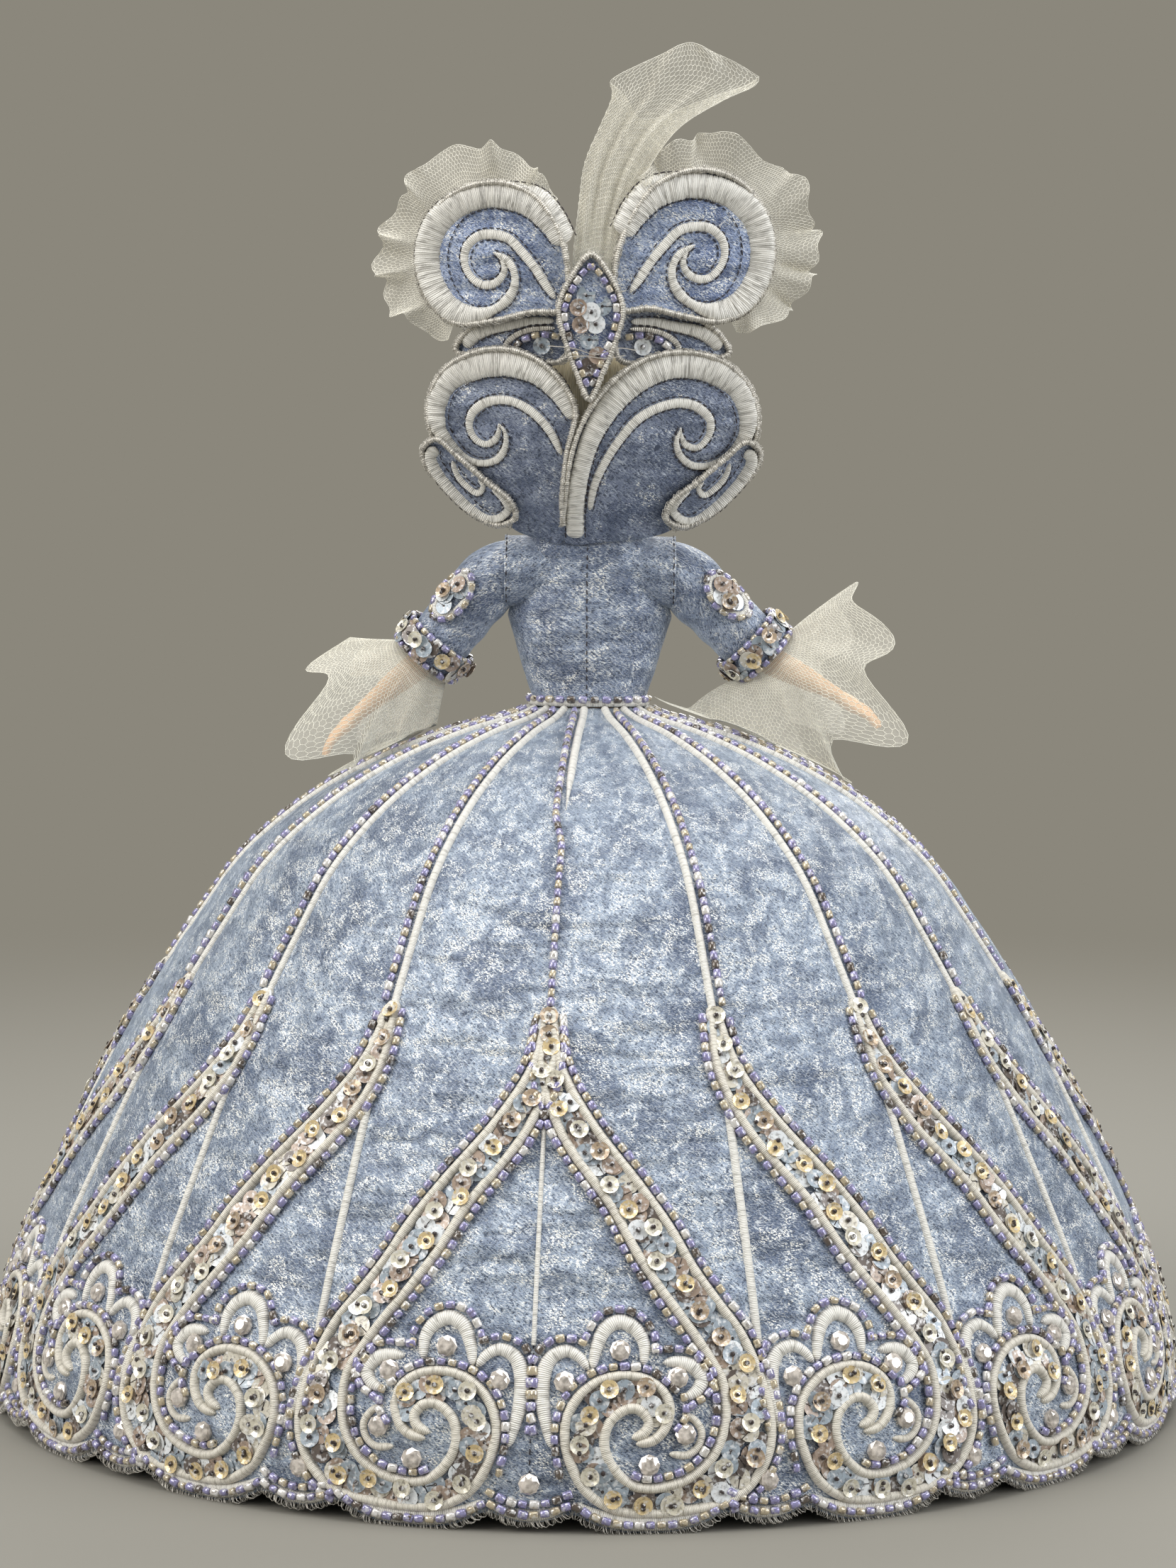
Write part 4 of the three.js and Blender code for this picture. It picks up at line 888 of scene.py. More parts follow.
@dataclass(frozen=True)
class Brocade:
    """Crinkled pale-blue metallic brocade: hairline weft, silver flecks partly painted as sparkle, fibres
    painted with glints, and painted shade in creases like worm tracks and in soft patches.
    """

    name: str
    pale: Point
    deep: Point
    # near-white painted on the fibres as glints, partly the pale metal weft itself
    glint: Point = srgb(236, 240, 242)
    silver: float = 0.5

    def build(self) -> Material:
        """Make the material.

        Returns:
            The material.
        """
        s = Shader(self.name, Metallic=0.3)
        where = s.cloth()
        blotch = s.noise(where, 0.05, 3.0, 0.5)
        shade = s.noise(where, 0.19, 3.0, 0.8)
        weft = s.noise(s.scaled(where, 1.1, 5.2), 1.0, 3.0, 0.5)
        slant = s.noise(s.scaled(where, 0.7, 2.2, 0.7), 1.0, 2.0, 0.8)
        back = s.noise(s.scaled(where, 0.7, 2.2, -0.9), 1.0, 2.0, 0.8)
        # painted shade: narrow creases like worm tracks, darkened below
        painted_crease_shade = s.math("MULTIPLY", s.step(slant, 0.51, 0.44), s.step(back, 0.55, 0.48))
        glinting_fibres = s.math("MAXIMUM", s.step(weft, 0.54, 0.61), s.step(slant, 0.58, 0.64))
        colour = s.mix(s.step(blotch, 0.36, 0.56, 0.1, 1.0), self.deep, self.pale)
        # painted shade: soft patches about 5 mm across darkened towards the deep colour
        colour = s.mix(s.math("MULTIPLY", s.step(shade, 0.50, 0.36), 0.5), colour, self.deep)
        # painted shade in the creases, half as light as the deep colour
        colour = s.mix(s.math("MULTIPLY", painted_crease_shade, 0.9), colour, darker(self.deep, 0.5))
        patches = s.step(shade, 0.40, 0.60, 0.35, 1.0)
        # painted glint: fibres in the brighter patches take the glint colour, partly the pale metal weft
        colour = s.mix(s.math("MULTIPLY", glinting_fibres, s.math("MULTIPLY", patches, 0.95)), colour, self.glint)
        inputs = {"Vector": s.scaled(where, 1.3, 2.2, 0.5), "Scale": 1.0, "Randomness": 1.0}
        flake = s.add("TexVoronoi", inputs)
        start = 0.62 - 0.2 * self.silver
        # silver flecks, partly real metal thread and partly painted sparkle
        fleck_and_sparkle = s.math("MULTIPLY", s.step(flake.outputs[0], 0.40, 0.30), s.step(shade, start, start + 0.05))
        colour = s.mix(s.math("MULTIPLY", fleck_and_sparkle, 0.95), colour, SILVER_FLECK_AND_SPARKLE)
        pucker = s.bump(s.noise(s.scaled(where, 0.028, 0.10), 1.0, 2.0), 7.0, 0.7)
        relief = s.bump(weft, 0.3, 0.6, s.bump(slant, 0.5, 0.5, pucker))
        s.set(Base_Color=colour, Roughness=s.step(weft, 0.35, 0.65, 0.34, 0.5), Normal=relief)
        s.set(Sheen_Weight=0.7, Sheen_Roughness=0.35, Sheen_Tint=srgb(206, 222, 240))
        return s.material


@dataclass(frozen=True)
class Thread:
    """Threads that lie across a strip, as in satin stitch or a corded piping."""

    name: str
    light: Point
    # the colour painted as shade between the threads and along the bundles
    shade: Point
    pitch: float
    metallic: float = 0.0
    roughness: float = 0.42
    depth: float = 0.1

    def build(self) -> Material:
        """Make the material.

        Returns:
            The material.
        """
        s = Shader(self.name, Metallic=self.metallic, Roughness=self.roughness, Sheen_Weight=0.15)
        where = s.cloth()
        rows = s.bands(where, self.pitch, "X", 0.9)
        bundle_and_sheen = s.noise(s.scaled(where, 0.5 / self.pitch, 0.22), 1.0, 3.0, 0.3)
        # painted shade: darker between the threads
        colour = s.mix(s.step(rows, 0.0, 0.6, 0.45, 0.0), self.light, self.shade)
        # painted sheen: darker along bundles, for the satin's uneven sheen; the same bundles also give relief
        colour = s.mix(s.step(bundle_and_sheen, 0.50, 0.34, 0.0, 0.55), colour, self.shade)
        relief = s.bump(rows, self.depth, 0.8, s.bump(bundle_and_sheen, self.depth * 3.0, 0.7))
        s.set(Base_Color=colour, Normal=relief)
        return s.material


@dataclass(frozen=True)
class Plain:
    """An even finish with a little unevenness in tone; on the crystal that unevenness paints reflections on
    its facets.
    """

    name: str
    colour: Point
    roughness: float = 0.5
    metallic: float = 0.0
    alpha: float = 1.0
    glow: float = 0.0
    coat: float = 0.0
    mottle_and_reflection: float = 0.06
    grain: float = 400.0

    def build(self) -> Material:
        """Make the material.

        Returns:
            The material.
        """
        s = Shader(self.name, Roughness=self.roughness, Metallic=self.metallic, Alpha=self.alpha)
        s.set(Coat_Weight=self.coat, Subsurface_Weight=self.glow, Subsurface_Scale=2 * MM)
        # uneven tone, which on the crystal paints facet reflections
        tone_and_reflection = s.step(s.noise(s.inside(), self.grain, 3.0), 0.35, 0.65)
        s.set(Base_Color=s.mix(tone_and_reflection, darker(self.colour, 1 - 2.4 * self.mottle_and_reflection), self.colour))
        return s.material


@dataclass(frozen=True)
class Tinted:
    """Small things in several colours that their tint picks; the part attribute marks what is dark; dark and
    white specks over them are painted reflections and highlights.
    """

    name: str
    stops: tuple[tuple[float, Point], ...]
    roughness: float
    metallic: float
    transmission: float = 0.0
    coat: float = 0.4

    def build(self) -> Material:
        """Make the material.

        Returns:
            The material.
        """
        s = Shader(self.name, Roughness=self.roughness, Metallic=self.metallic)
        s.set(Transmission_Weight=self.transmission, Coat_Weight=self.coat)
        colour = s.mix(s.attribute("part"), s.steps(s.attribute("tint"), self.stops), HOLE_BROWN)
        where = s.inside()
        # painted reflection: dark specks about 1 mm across
        colour = s.mix(s.step(s.noise(where, 1100.0), 0.48, 0.36, 0.0, 0.5), colour, PAINTED_DARK_REFLECTION)
        # painted highlight: white specks about 1 mm across
        s.set(Base_Color=s.mix(s.step(s.noise(where, 900.0), 0.52, 0.66, 0.0, 0.6), colour, PAINTED_HIGHLIGHT))
        return s.material


@dataclass(frozen=True)
class Woven:
    """Plain woven tape."""

    name: str
    colour: Point
    pitch: float = 0.5

    def build(self) -> Material:
        """Make the material.

        Returns:
            The material.
        """
        s = Shader(self.name, Roughness=0.85)
        where = s.cloth()
        weave = s.math("MULTIPLY", s.bands(where, self.pitch, "X"), s.bands(where, self.pitch, "Y"))
        s.set(Base_Color=s.mix(weave, darker(self.colour, 0.72), self.colour))
        s.set(Normal=s.bump(weave, 0.08, 0.7))
        return s.material


FINISHES = [
    Brocade("brocade", srgb(153, 167, 186), srgb(80, 95, 122)),
    Brocade("brocade_bodice", srgb(142, 156, 180), srgb(84, 98, 126), silver=0.3),
    Brocade("brocade_sleeve", srgb(154, 168, 192), srgb(90, 104, 132), silver=0.4),
    Brocade("brocade_wing", srgb(152, 168, 200), srgb(88, 106, 146), silver=0.4),
    # painted shade: a darker copy of the wing's brocade, with dimmer glints and fewer flecks, for collar
    # panels that lie in shadow; the cuffs and sleeve ovals use it too
    Brocade("brocade_panel", srgb(134, 144, 168), srgb(86, 98, 124), srgb(196, 204, 216), silver=0.1),
    Plain("lining", srgb(186, 192, 200), 0.6),
    Thread("satin_stitch", srgb(250, 247, 238), srgb(128, 124, 116), 0.5, roughness=0.34, depth=0.12),
    Thread("piping", srgb(240, 237, 228), srgb(150, 147, 140), 0.42),
    Thread("hem_piping", srgb(238, 232, 218), srgb(146, 140, 126), 0.4),
    Thread("silver_thread", srgb(236, 231, 220), srgb(96, 90, 82), 0.62, 0.3, 0.32, 0.16),
    Plain("silver_wire", srgb(240, 235, 224), 0.34, metallic=0.15, mottle_and_reflection=0.26, grain=1400.0),
    Plain("dark_thread", srgb(52, 46, 50), 0.6),
    Plain("net_film", srgb(244, 240, 226), 0.8, alpha=0.27),
    Plain("net_thread", srgb(246, 242, 228), 0.6),
    Plain("cuff_net_film", srgb(240, 236, 222), 0.8, alpha=0.32),
    Plain("cuff_net_thread", srgb(242, 238, 222), 0.6),
    Plain("vinyl", srgb(226, 178, 128), 0.48, glow=0.08, mottle_and_reflection=0.02),
    Plain("body_plastic", srgb(222, 172, 126), 0.55, mottle_and_reflection=0.02),
    Thread("hair", srgb(214, 198, 158), srgb(138, 116, 78), 0.5, roughness=0.35),
    Woven("tape", srgb(222, 220, 208)),
    Woven("wire_cover", srgb(218, 216, 208)),
    Plain("shoe", srgb(186, 200, 218), 0.28, metallic=0.2, coat=0.5),
    Plain("steel", srgb(170, 172, 176), 0.3, metallic=1.0),
    Plain("lip_paint", srgb(178, 84, 84), 0.4, mottle_and_reflection=0.02),
    Plain("eye_white", srgb(238, 238, 236), 0.25, coat=0.6, mottle_and_reflection=0.0),
    Plain("iris_paint", srgb(92, 116, 140), 0.2, coat=0.8),
    Plain("brow_paint", srgb(134, 104, 66), 0.6),
    Tinted(
        "glass_bead",
        (
            (0.0, srgb(158, 154, 198)), (LILAC_SHARE, srgb(204, 190, 162)), (0.76, srgb(100, 90, 82)),
            (0.86, srgb(240, 236, 230)),
        ),
        0.12, 0.22, transmission=0.12, coat=0.9,
    ),
    Tinted(
        "sequin",
        (
            (0.0, srgb(162, 174, 184)), (0.30, srgb(170, 150, 134)), (0.60, srgb(214, 208, 192)),
            (0.72, srgb(236, 240, 242)), (0.86, srgb(104, 94, 88)),
        ),
        0.3, 0.12, coat=0.3,
    ),
    Tinted(
        "cup_sequin",
        ((0.0, srgb(238, 214, 164)), (0.50, srgb(242, 236, 216)), (0.8, srgb(196, 174, 148))), 0.26, 0.3,
    ),
    # painted reflection: the crystal's strong mottle, about 1.6 mm across, paints light and dark facets
    Plain("crystal", srgb(252, 242, 232), 0.06, metallic=0.4, coat=1.0, mottle_and_reflection=0.24, grain=620.0),
]
Looks = dict[str, Material]


class Growth(Tree):
    """A geometry node tree under construction."""

    prefix = "GeometryNode"

    def __init__(self, name: str, **inputs: object) -> None:
        """Start a tree that takes geometry, a material and other inputs.

        Args:
            name: The tree's name.
            inputs: Defaults of its inputs by name, or the socket's type for one without a default.
        """
        super().__init__(bpy.data.node_groups.new(name, "GeometryNodeTree"))
        face = self.tree.interface
        face.new_socket("Geometry", in_out="INPUT", socket_type="NodeSocketGeometry")
        for label, default in {**inputs, "Material": "Material"}.items():
            kind = {float: "Float", int: "Int", str: default}[type(default)]
            socket = face.new_socket(label, in_out="INPUT", socket_type=f"NodeSocket{kind}")
            if kind != default:
                socket.default_value = default
        face.new_socket("Geometry", in_out="OUTPUT", socket_type="NodeSocketGeometry")
        self.given = self.tree.nodes.new("NodeGroupInput").outputs

    def random(self, low: object, high: object) -> Socket:
        """A random number between two, another at each place."""
        inputs = {2: low, 3: high, "Seed": self.given["Seed"]}
        return self.add("FunctionNodeRandomValue", inputs, data_type="FLOAT").outputs[1]

    def copies(self, dots: bpy.types.Node, turn: Socket, size: Socket, tint: Socket) -> bpy.types.NodeTree:
        """Set copies of the input Unit at points, and end the tree.

        Args:
            dots: The node that makes the points and their rotations.
            turn: How far each copy is turned from its point's rotation.
            size: Its size.
            tint: Its tint attribute.

        Returns:
            The tree.
        """
        shape = self.add("ObjectInfo", {"Object": self.given["Unit"]}).outputs["Geometry"]
        by = self.add("FunctionNodeEulerToRotation", {0: turn}).outputs[0]
        inputs = {"Rotation": dots.outputs["Rotation"], "Rotate By": by}
        jitter = self.add("FunctionNodeRotateRotation", inputs, rotation_space="LOCAL").outputs[0]
        inputs = {"Points": dots.outputs["Points"], "Instance": shape, "Rotation": jitter, "Scale": size}
        placed = self.add("InstanceOnPoints", inputs).outputs[0]
        inputs = {"Geometry": placed, "Name": "tint", "Value": tint}
        stored = self.add("StoreNamedAttribute", inputs, data_type="FLOAT", domain="INSTANCE")
        return self.close(stored.outputs[0])

    def close(self, instances: Socket) -> bpy.types.NodeTree:
        """Make the instances real, give them their material and end the tree.

        Args:
            instances: The geometry.

        Returns:
            The tree.
        """
        real = self.add("RealizeInstances", {0: instances}).outputs[0]
        painted = self.add("SetMaterial", {"Geometry": real, "Material": self.given["Material"]})
        self.tree.links.new(painted.outputs[0], self.tree.nodes.new("NodeGroupOutput").inputs[0])
        return self.tree


def stringing_tree() -> bpy.types.NodeTree:
    """A tree that threads copies of a small mesh along curves, its Z along the curve.

    Returns:
        The tree.
    """
    n = Growth("string_along", Unit="Object", Pitch=0.003, Seed=1, Twist=0.0, Wander=0.0, Vary=0.1)
    inputs = {"Curve": n.given["Geometry"], "Length": n.given["Pitch"]}
    dots = n.add("CurveToPoints", inputs, mode="LENGTH")
    roll = n.random(n.math("MULTIPLY", n.given["Twist"], -1.0), n.given["Twist"])
    tip = n.random(n.math("MULTIPLY", n.given["Wander"], -1.0), n.given["Wander"])
    turn = n.add("ShaderNodeCombineXYZ", {0: tip, 1: tip, 2: roll}).outputs[0]
    size = n.random(n.math("SUBTRACT", 1.0, n.given["Vary"]), n.math("ADD", 1.0, n.given["Vary"]))
    odd = n.math("MODULO", n.add("InputIndex").outputs[0], 2.0)
    least = n.math("MULTIPLY", odd, LILAC_SHARE)
    most = n.math("MULTIPLY_ADD", odd, 1 - LILAC_SHARE, LILAC_SHARE)
    return n.copies(dots, turn, size, n.random(least, most))


def scattering_tree() -> bpy.types.NodeTree:
    """A tree that scatters copies of a small mesh over faces, its Z off the surface.

    Returns:
        The tree.
    """
    n = Growth("scatter_over", Unit="Object", Spacing=0.003, Seed=1, Tilt=0.2, Vary=0.1)
    seed, tilt = n.given["Seed"], n.given["Tilt"]
    inputs = {
        "Mesh": n.given["Geometry"], "Distance Min": n.given["Spacing"], "Density Max": 400000.0,
        "Seed": seed,
    }
    dots = n.add("DistributePointsOnFaces", inputs, distribute_method="POISSON")
    back = n.math("MULTIPLY", tilt, -1.0)
    low = n.add("ShaderNodeCombineXYZ", {0: back, 1: back, 2: -3.1}).outputs[0]
    high = n.add("ShaderNodeCombineXYZ", {0: tilt, 1: tilt, 2: 3.1}).outputs[0]
    inputs = {0: low, 1: high, "Seed": seed}
    turn = n.add("FunctionNodeRandomValue", inputs, data_type="FLOAT_VECTOR").outputs[0]
    size = n.random(n.math("SUBTRACT", 1.0, n.given["Vary"]), 1.0)
    return n.copies(dots, turn, size, n.random(0.0, 1.0))


def netting_tree() -> bpy.types.NodeTree:
    """A tree that turns a mesh of triangles into six-sided net of fine thread.

    Returns:
        The tree.
    """
    n = Growth("net_over", Thread=0.0001)
    cells = n.add("DualMesh", {"Mesh": n.given["Geometry"], "Keep Boundaries": True}).outputs[0]
    edges = n.add("MeshToCurve", {"Mesh": cells}).outputs[0]
    section = n.add("CurvePrimitiveCircle", {"Resolution": 3, "Radius": n.given["Thread"]}).outputs[0]
    return n.close(n.add("CurveToMesh", {"Curve": edges, "Profile Curve": section}).outputs[0])


def grow(
    name: str,
    source: Object,
    tree: bpy.types.NodeTree,
    material: Material,
    body: str,
    slot: str,
    **values: object,
) -> Object:
    """Make a piece by evaluating a node tree, once.

    Args:
        name: The piece's name.
        source: The object that the tree works on; it is removed afterwards.
        tree: The tree.
        material: The piece's material.
        body: The CAD body that it rides on.
        slot: A material slot's name; not used.
        values: The tree's other inputs, by name.

    Returns:
        The piece.
    """
    modifier = source.modifiers.new("grow", "NODES")
    modifier.node_group = tree
    given = {**values, "Material": material}
    for item in tree.interface.items_tree:
        if item.in_out == "INPUT" and item.name in given:
            modifier[item.identifier] = given[item.name]
    data = baked(source)
    bpy.data.objects.remove(source)
    return piece(name, data, material, body)


def lines(paths: Sequence[Array]) -> Object:
    """A curve object with one straight-segment spline per path.

    Args:
        paths: Points in millimetres.

    Returns:
        The construction object.
    """
    curve = bpy.data.curves.new("thread", "CURVE")
    curve.dimensions = "3D"
    for path in paths:
        part = curve.splines.new("POLY")
        part.points.add(len(path) - 1)
        points = np.hstack([path * MM, np.ones((len(path), 1))])
        part.points.foreach_set("co", points.astype(np.float32).ravel())
    return helper("thread", curve)


def weave(points: Array, closed: bool) -> Object:
    """An object of triangles between rows of points, of which every other row is shifted by half a step.

    Args:
        points: Points in millimetres, by row and column.
        closed: Whether the last column joins the first.

    Returns:
        The construction object.
    """
    rows, columns = points.shape[:2]
    index = np.arange(rows * columns).reshape(rows, columns)
    faces = []
    for r in range(rows - 1):
        here, above = index[r], index[r + 1]
        a, b = (here, np.roll(here, -1)) if closed else (here[:-1], here[1:])
        c, d = (above, np.roll(above, -1)) if closed else (above[:-1], above[1:])
        halves = ((a, b, c), (b, d, c)) if r % 2 == 0 else ((a, d, c), (a, b, d))
        faces += [np.stack(corners, axis=1) for corners in halves]
    buffer = MeshBuffer()
    buffer.triangles(points.reshape(-1, 3), np.vstack(faces))
    return helper("weave", buffer.mesh("net_cells"))


@dataclass
class Skirt:
    """The bell of brocade with its lining."""

    bell: Bell
    looks: Looks

    def _spots(self, columns: int, rows: int, low: float) -> Array:
        """Places of a layer of cloth.

        Args:
            columns: How many stretches it has round the bell.
            rows: How many rows it has.
            low: How far above the hem's edge the first row is.

        Returns:
            Angles and lengths up the cloth, by row and column.
        """
        angle = np.linspace(-180 + SKIRT_TWIST, 180 + SKIRT_TWIST, columns + 1)
        start = hem_rise(angle)[None, :] + low
        arc = start + (self.bell.length - start) * np.linspace(0, 1, rows)[:, None]
        return np.stack([np.broadcast_to(angle, arc.shape), arc], axis=-1)

    def build(self) -> None:
        """Make the cloth and the lining."""
        spots = self._spots(360, 120, 0.0)
        arc = spots[..., 1]
        radius = self.bell.radius(self.bell.height(arc))
        cloth = np.stack([np.radians(spots[..., 0]) * (60 + 0.6 * radius), arc], axis=-1)
        seam = np.abs(np.mod(spots[..., 0] - SKIRT_TWIST + GORE_PITCH / 2, GORE_PITCH) - GORE_PITCH / 2)
        calm = smoothstep(seam * np.radians(1.0) * radius, 0.5, 5.0)
        creases = 0.16 * ripple(cloth, 13, 3) + 0.1 * ripple(cloth, 5.5, 4)
        points = self.bell.place(spots, (creases + 0.12) * calm * smoothstep(arc, 0, 14))
        edge = self.bell.place(spots[:1], -0.5)
        buffer = MeshBuffer()
        buffer.grid(np.concatenate([edge, points]), np.concatenate([cloth[:1], cloth]))
        gown = buffer.build("skirt_cloth", self.looks["brocade"], "doll", "brocade")
        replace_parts(gown, "skirt_shell")
        spots = self._spots(180, 50, 0.6)
        points = self.bell.place(spots, -SKIRT_CLOTH)
        lining = MeshBuffer()
        lining.grid(points, np.stack([np.radians(spots[..., 0]) * 120, spots[..., 1]], axis=-1), flip=True)
        under = lining.build("skirt_lining", self.looks["lining"], "doll", "brocade")


# heights, and how much wider the bodice is there than the trunk
BODICE_WIDENING = ((190.5, 200, 209, 216, 220, 238), (0.6, 2.9, 3.0, 3.3, 1.5, 0.0))
ARMHOLE_RADIUS = 9.0
SCOOP_RADIUS = 10.6


@dataclass
class Bodice:
    """The tight bodice, with neckline and armholes."""

    looks: Looks

    def build(self) -> None:
        """Make the cloth."""
        z = np.linspace(BODICE_WIDENING[0][0], NECKLINE_HEIGHT, 50)
        heights, turns = np.meshgrid(z, np.linspace(-np.pi, np.pi, 161), indexing="ij")
        cloth = np.stack([turns * 17, heights], axis=-1)
        points = trunk_ring(heights, turns, 1.5 + 0.06 * ripple(cloth, 6, 21))
        points[..., 0] *= 1 + np.interp(z, *BODICE_WIDENING)[:, None] / 18
        middles = (points[:-1, :-1] + points[1:, 1:]) / 2
        arm = np.hypot(middles[..., 1], middles[..., 2] - SHOULDER_HEIGHT) < ARMHOLE_RADIUS
        armhole = arm & (np.abs(middles[..., 0]) > SLEEVE_START - 0.3)
        scoop = np.hypot(middles[..., 0], middles[..., 2] - NECKLINE_HEIGHT - 1) < SCOOP_RADIUS
        buffer = MeshBuffer()
        buffer.grid(points, cloth, keep=~(armhole | (scoop & (middles[..., 1] > 0))))
        bodice = buffer.build("bodice_cloth", self.looks["brocade_bodice"], "doll", "brocade")
        thicken(bodice, 1.1)
        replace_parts(bodice, "bodice")
        for side in Side:
            self._shoulder(side)

    def _shoulder(self, side: Side) -> None:
        """Make the cloth over one shoulder, out to the sleeve's seam.

        Args:
            side: Which shoulder.
        """
        shares, turns = np.meshgrid(np.linspace(0, 1, 22), np.linspace(-np.pi, np.pi, 73), indexing="ij")
        cloth = np.stack([shares * 13, turns * 10], axis=-1)
        radius = 9.4 + 0.65 * smoothstep(shares, 0.0, 0.6) + 0.12 * ripple(cloth, 6, 23)
        x = side.sign * (10.8 + 13.2 * shares)
        points = np.stack([x, radius * np.sin(turns), SHOULDER_HEIGHT + radius * np.cos(turns)], axis=-1)
        last = turns[-1:]
        rim = points[-1:] - np.stack([0 * last, 0.5 * np.sin(last), 0.5 * np.cos(last)], axis=-1)
        buffer = MeshBuffer()
        buffer.grid(np.vstack([points, rim]), np.vstack([cloth, cloth[-1:] + 0.5]), flip=side is Side.LEFT)
        shoulder = buffer.build(
            f"bodice_shoulder_{side.value}", self.looks["brocade_bodice"], "doll", "brocade"
        )


def arm_points(side: Side) -> dict[str, Array]:
    """Landmarks of an arm.

    Args:
        side: Which arm.

    Returns:
        Points in millimetres, by name.
    """
    at = {
        name: np.array([side.sign * x, y, SHOULDER_HEIGHT - down], float)
        for name, (x, y, down) in ARM_ROUTES[side.value].items()
    }
    at["bend"] = np.array([side.sign * 31.0, 0.6, SHOULDER_HEIGHT - 6])
    return at


def sleeve_route(side: Side) -> Array:
    """The middle line of a sleeve.

    Args:
        side: Which sleeve.

    Returns:
        Points in millimetres.
    """
    at = arm_points(side)
    start = [(SLEEVE_START, 0, 0), (SLEEVE_START + 5, 0, 0), (23.5, 0, -0.4), (27.5, 0.2, -2.6)]
    upper = [(side.sign * x, y, SHOULDER_HEIGHT + z) for x, y, z in start]
    lower = [tuple(at["bend"] + (at["elbow"] - at["bend"]) * share) for share in (0.0, 0.3, 0.65, 1.0)]
    return np.array(upper + lower)


@dataclass
class Sleeve:
    """One sleeve with its net flounce."""

    side: Side
    bell: Bell
    looks: Looks
    net: bpy.types.NodeTree

    def __post_init__(self) -> None:
        """Lay out the tube."""
        radii = [SLEEVE_RADIUS + d for d in (0, 0.1, 0.4, 0.5, 0.4, 0.1, -0.2, -0.4)]
        self.route = sleeve_route(self.side)
        self.tube = Tube(self.route, radii)
        self.body = f"arm_{self.side.value}"

    def build(self) -> None:
        """Make the sleeve and the flounce."""
        self._cloth()
        self._flounce()

    def _cloth(self) -> None:
        """Make the sleeve's cloth."""
        spots = pairs(np.linspace(0, self.tube.length, 64), np.linspace(0, 360, 97))
        along, turn = spots[..., 0], np.radians(spots[..., 1])
        seamed = np.stack([along, 9 * np.sin(turn)], axis=-1)
        gathers = 0.3 * np.sin(turn * 26) * (1 - smoothstep(along, 1, 9))
        lift = gathers + 0.22 * ripple(seamed, 9, 31) * smoothstep(along, 1, 6)
        buffer = MeshBuffer()
        buffer.grid(self.tube.place(spots, lift), np.stack([along, turn * SLEEVE_RADIUS], axis=-1), flip=True)
        name = self.side.value
        sleeve = buffer.build(f"sleeve_cloth_{name}", self.looks["brocade_sleeve"], self.body, "brocade")
        thicken(sleeve, 0.9)
        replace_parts(sleeve, f"sleeve_{name}")

    def _flounce_spots(self, turn: Array, share: Array) -> Array:
        """Points of the net flounce.

        Args:
            turn: Turn round the arm in radians, 0 above it and a quarter on the back's side.
            share: Share of the way from the cuff to the edge.

        Returns:
            Points in millimetres.
        """
        end = self.route[-1]
        along = unit(end - self.route[-4])
        start = end + along * 0.4
        up = unit(np.array([0.0, 0.0, 1.0]) - along * along[2])
        back = np.cross(along, up) * self.side.sign
        back = unit(back) * (-1 if back[1] > 0 else 1)
        above, around, below, behind, over, aside, under = FLOUNCE_REACH[self.side.value]
        high, rear = np.cos(turn), np.sin(turn)
        fold = np.cos(10 * turn)
        level = np.where(high > 0, around + (above - around) * high, around + (below - around) * -high)
        length = level + (behind - level) * np.clip(rear, 0, None) ** 2 * np.where(high > 0, 0.75, 1.0)
        lift = 0.575 + 0.175 * np.tanh(high * 6)
        depth = 0.2 - 0.11 * np.clip(high, 0, 1)
        radius = SLEEVE_RADIUS - 0.6 + lift * length * share * (1 + depth * fold * share)
        p = start + (high * radius)[..., None] * up + (rear * radius)[..., None] * back
        forward = 0.42 + over * np.clip(high, 0, 1) ** 2 + under * np.clip(-high, 0, 1) ** 2 + aside * rear**2
        pleat = 1 + 0.3 * fold * share
        p = p + (level * forward * share * pleat)[..., None] * along
        z = p[..., 2] - 0.5 * length * share**2 * (0.62 - 0.5 * high)
        floor = self.bell.under(p) + 1.6 + GORE_PUFF
        p[..., 2] = np.maximum(z, floor + 0.7 * (1 + fold) * share)
        return p

    def _flounce(self) -> None:
        """Make the net flounce: a sheer film, and threads in six-sided cells."""
        name = self.side.value
        shares, turns = np.meshgrid(np.linspace(0, 1, 34), np.linspace(0, 2 * np.pi, 181), indexing="ij")
        points = self._flounce_spots(turns, shares)
        film = MeshBuffer()
        film.grid(points, flip=self.side is Side.RIGHT)
        sheet = film.build(f"cuff_net_{name}", self.looks["cuff_net_film"], self.body, "net")
        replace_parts(sheet, f"engageante_{name}")
        columns, rows = 136, 30
        turns = circle(columns) + (np.arange(rows) % 2)[:, None] * np.pi / columns
        shares = np.broadcast_to(np.linspace(0, 1, rows)[:, None], turns.shape)
        cells = weave(self._flounce_spots(turns, shares), closed=True)
        thread = self.looks["cuff_net_thread"]
        net = grow(f"cuff_net_threads_{name}", cells, self.net, thread, self.body, "net", Thread=0.1 * MM)


def small_part(name: str, buffer: MeshBuffer, smooth: bool = True) -> Object:
    """A small thing that is set many times; its tint attribute is kept as part.

    Args:
        name: Its name.
        buffer: Its surfaces.
        smooth: Whether it is shaded smooth.

    Returns:
        The construction object.
    """
    data = buffer.mesh(name, smooth)
    values = np.zeros(len(data.vertices), np.float32)
    data.attributes["tint"].data.foreach_get("value", values)
    data.attributes.remove(data.attributes["tint"])
    set_values(data, "part", values)
    return helper(name, data)


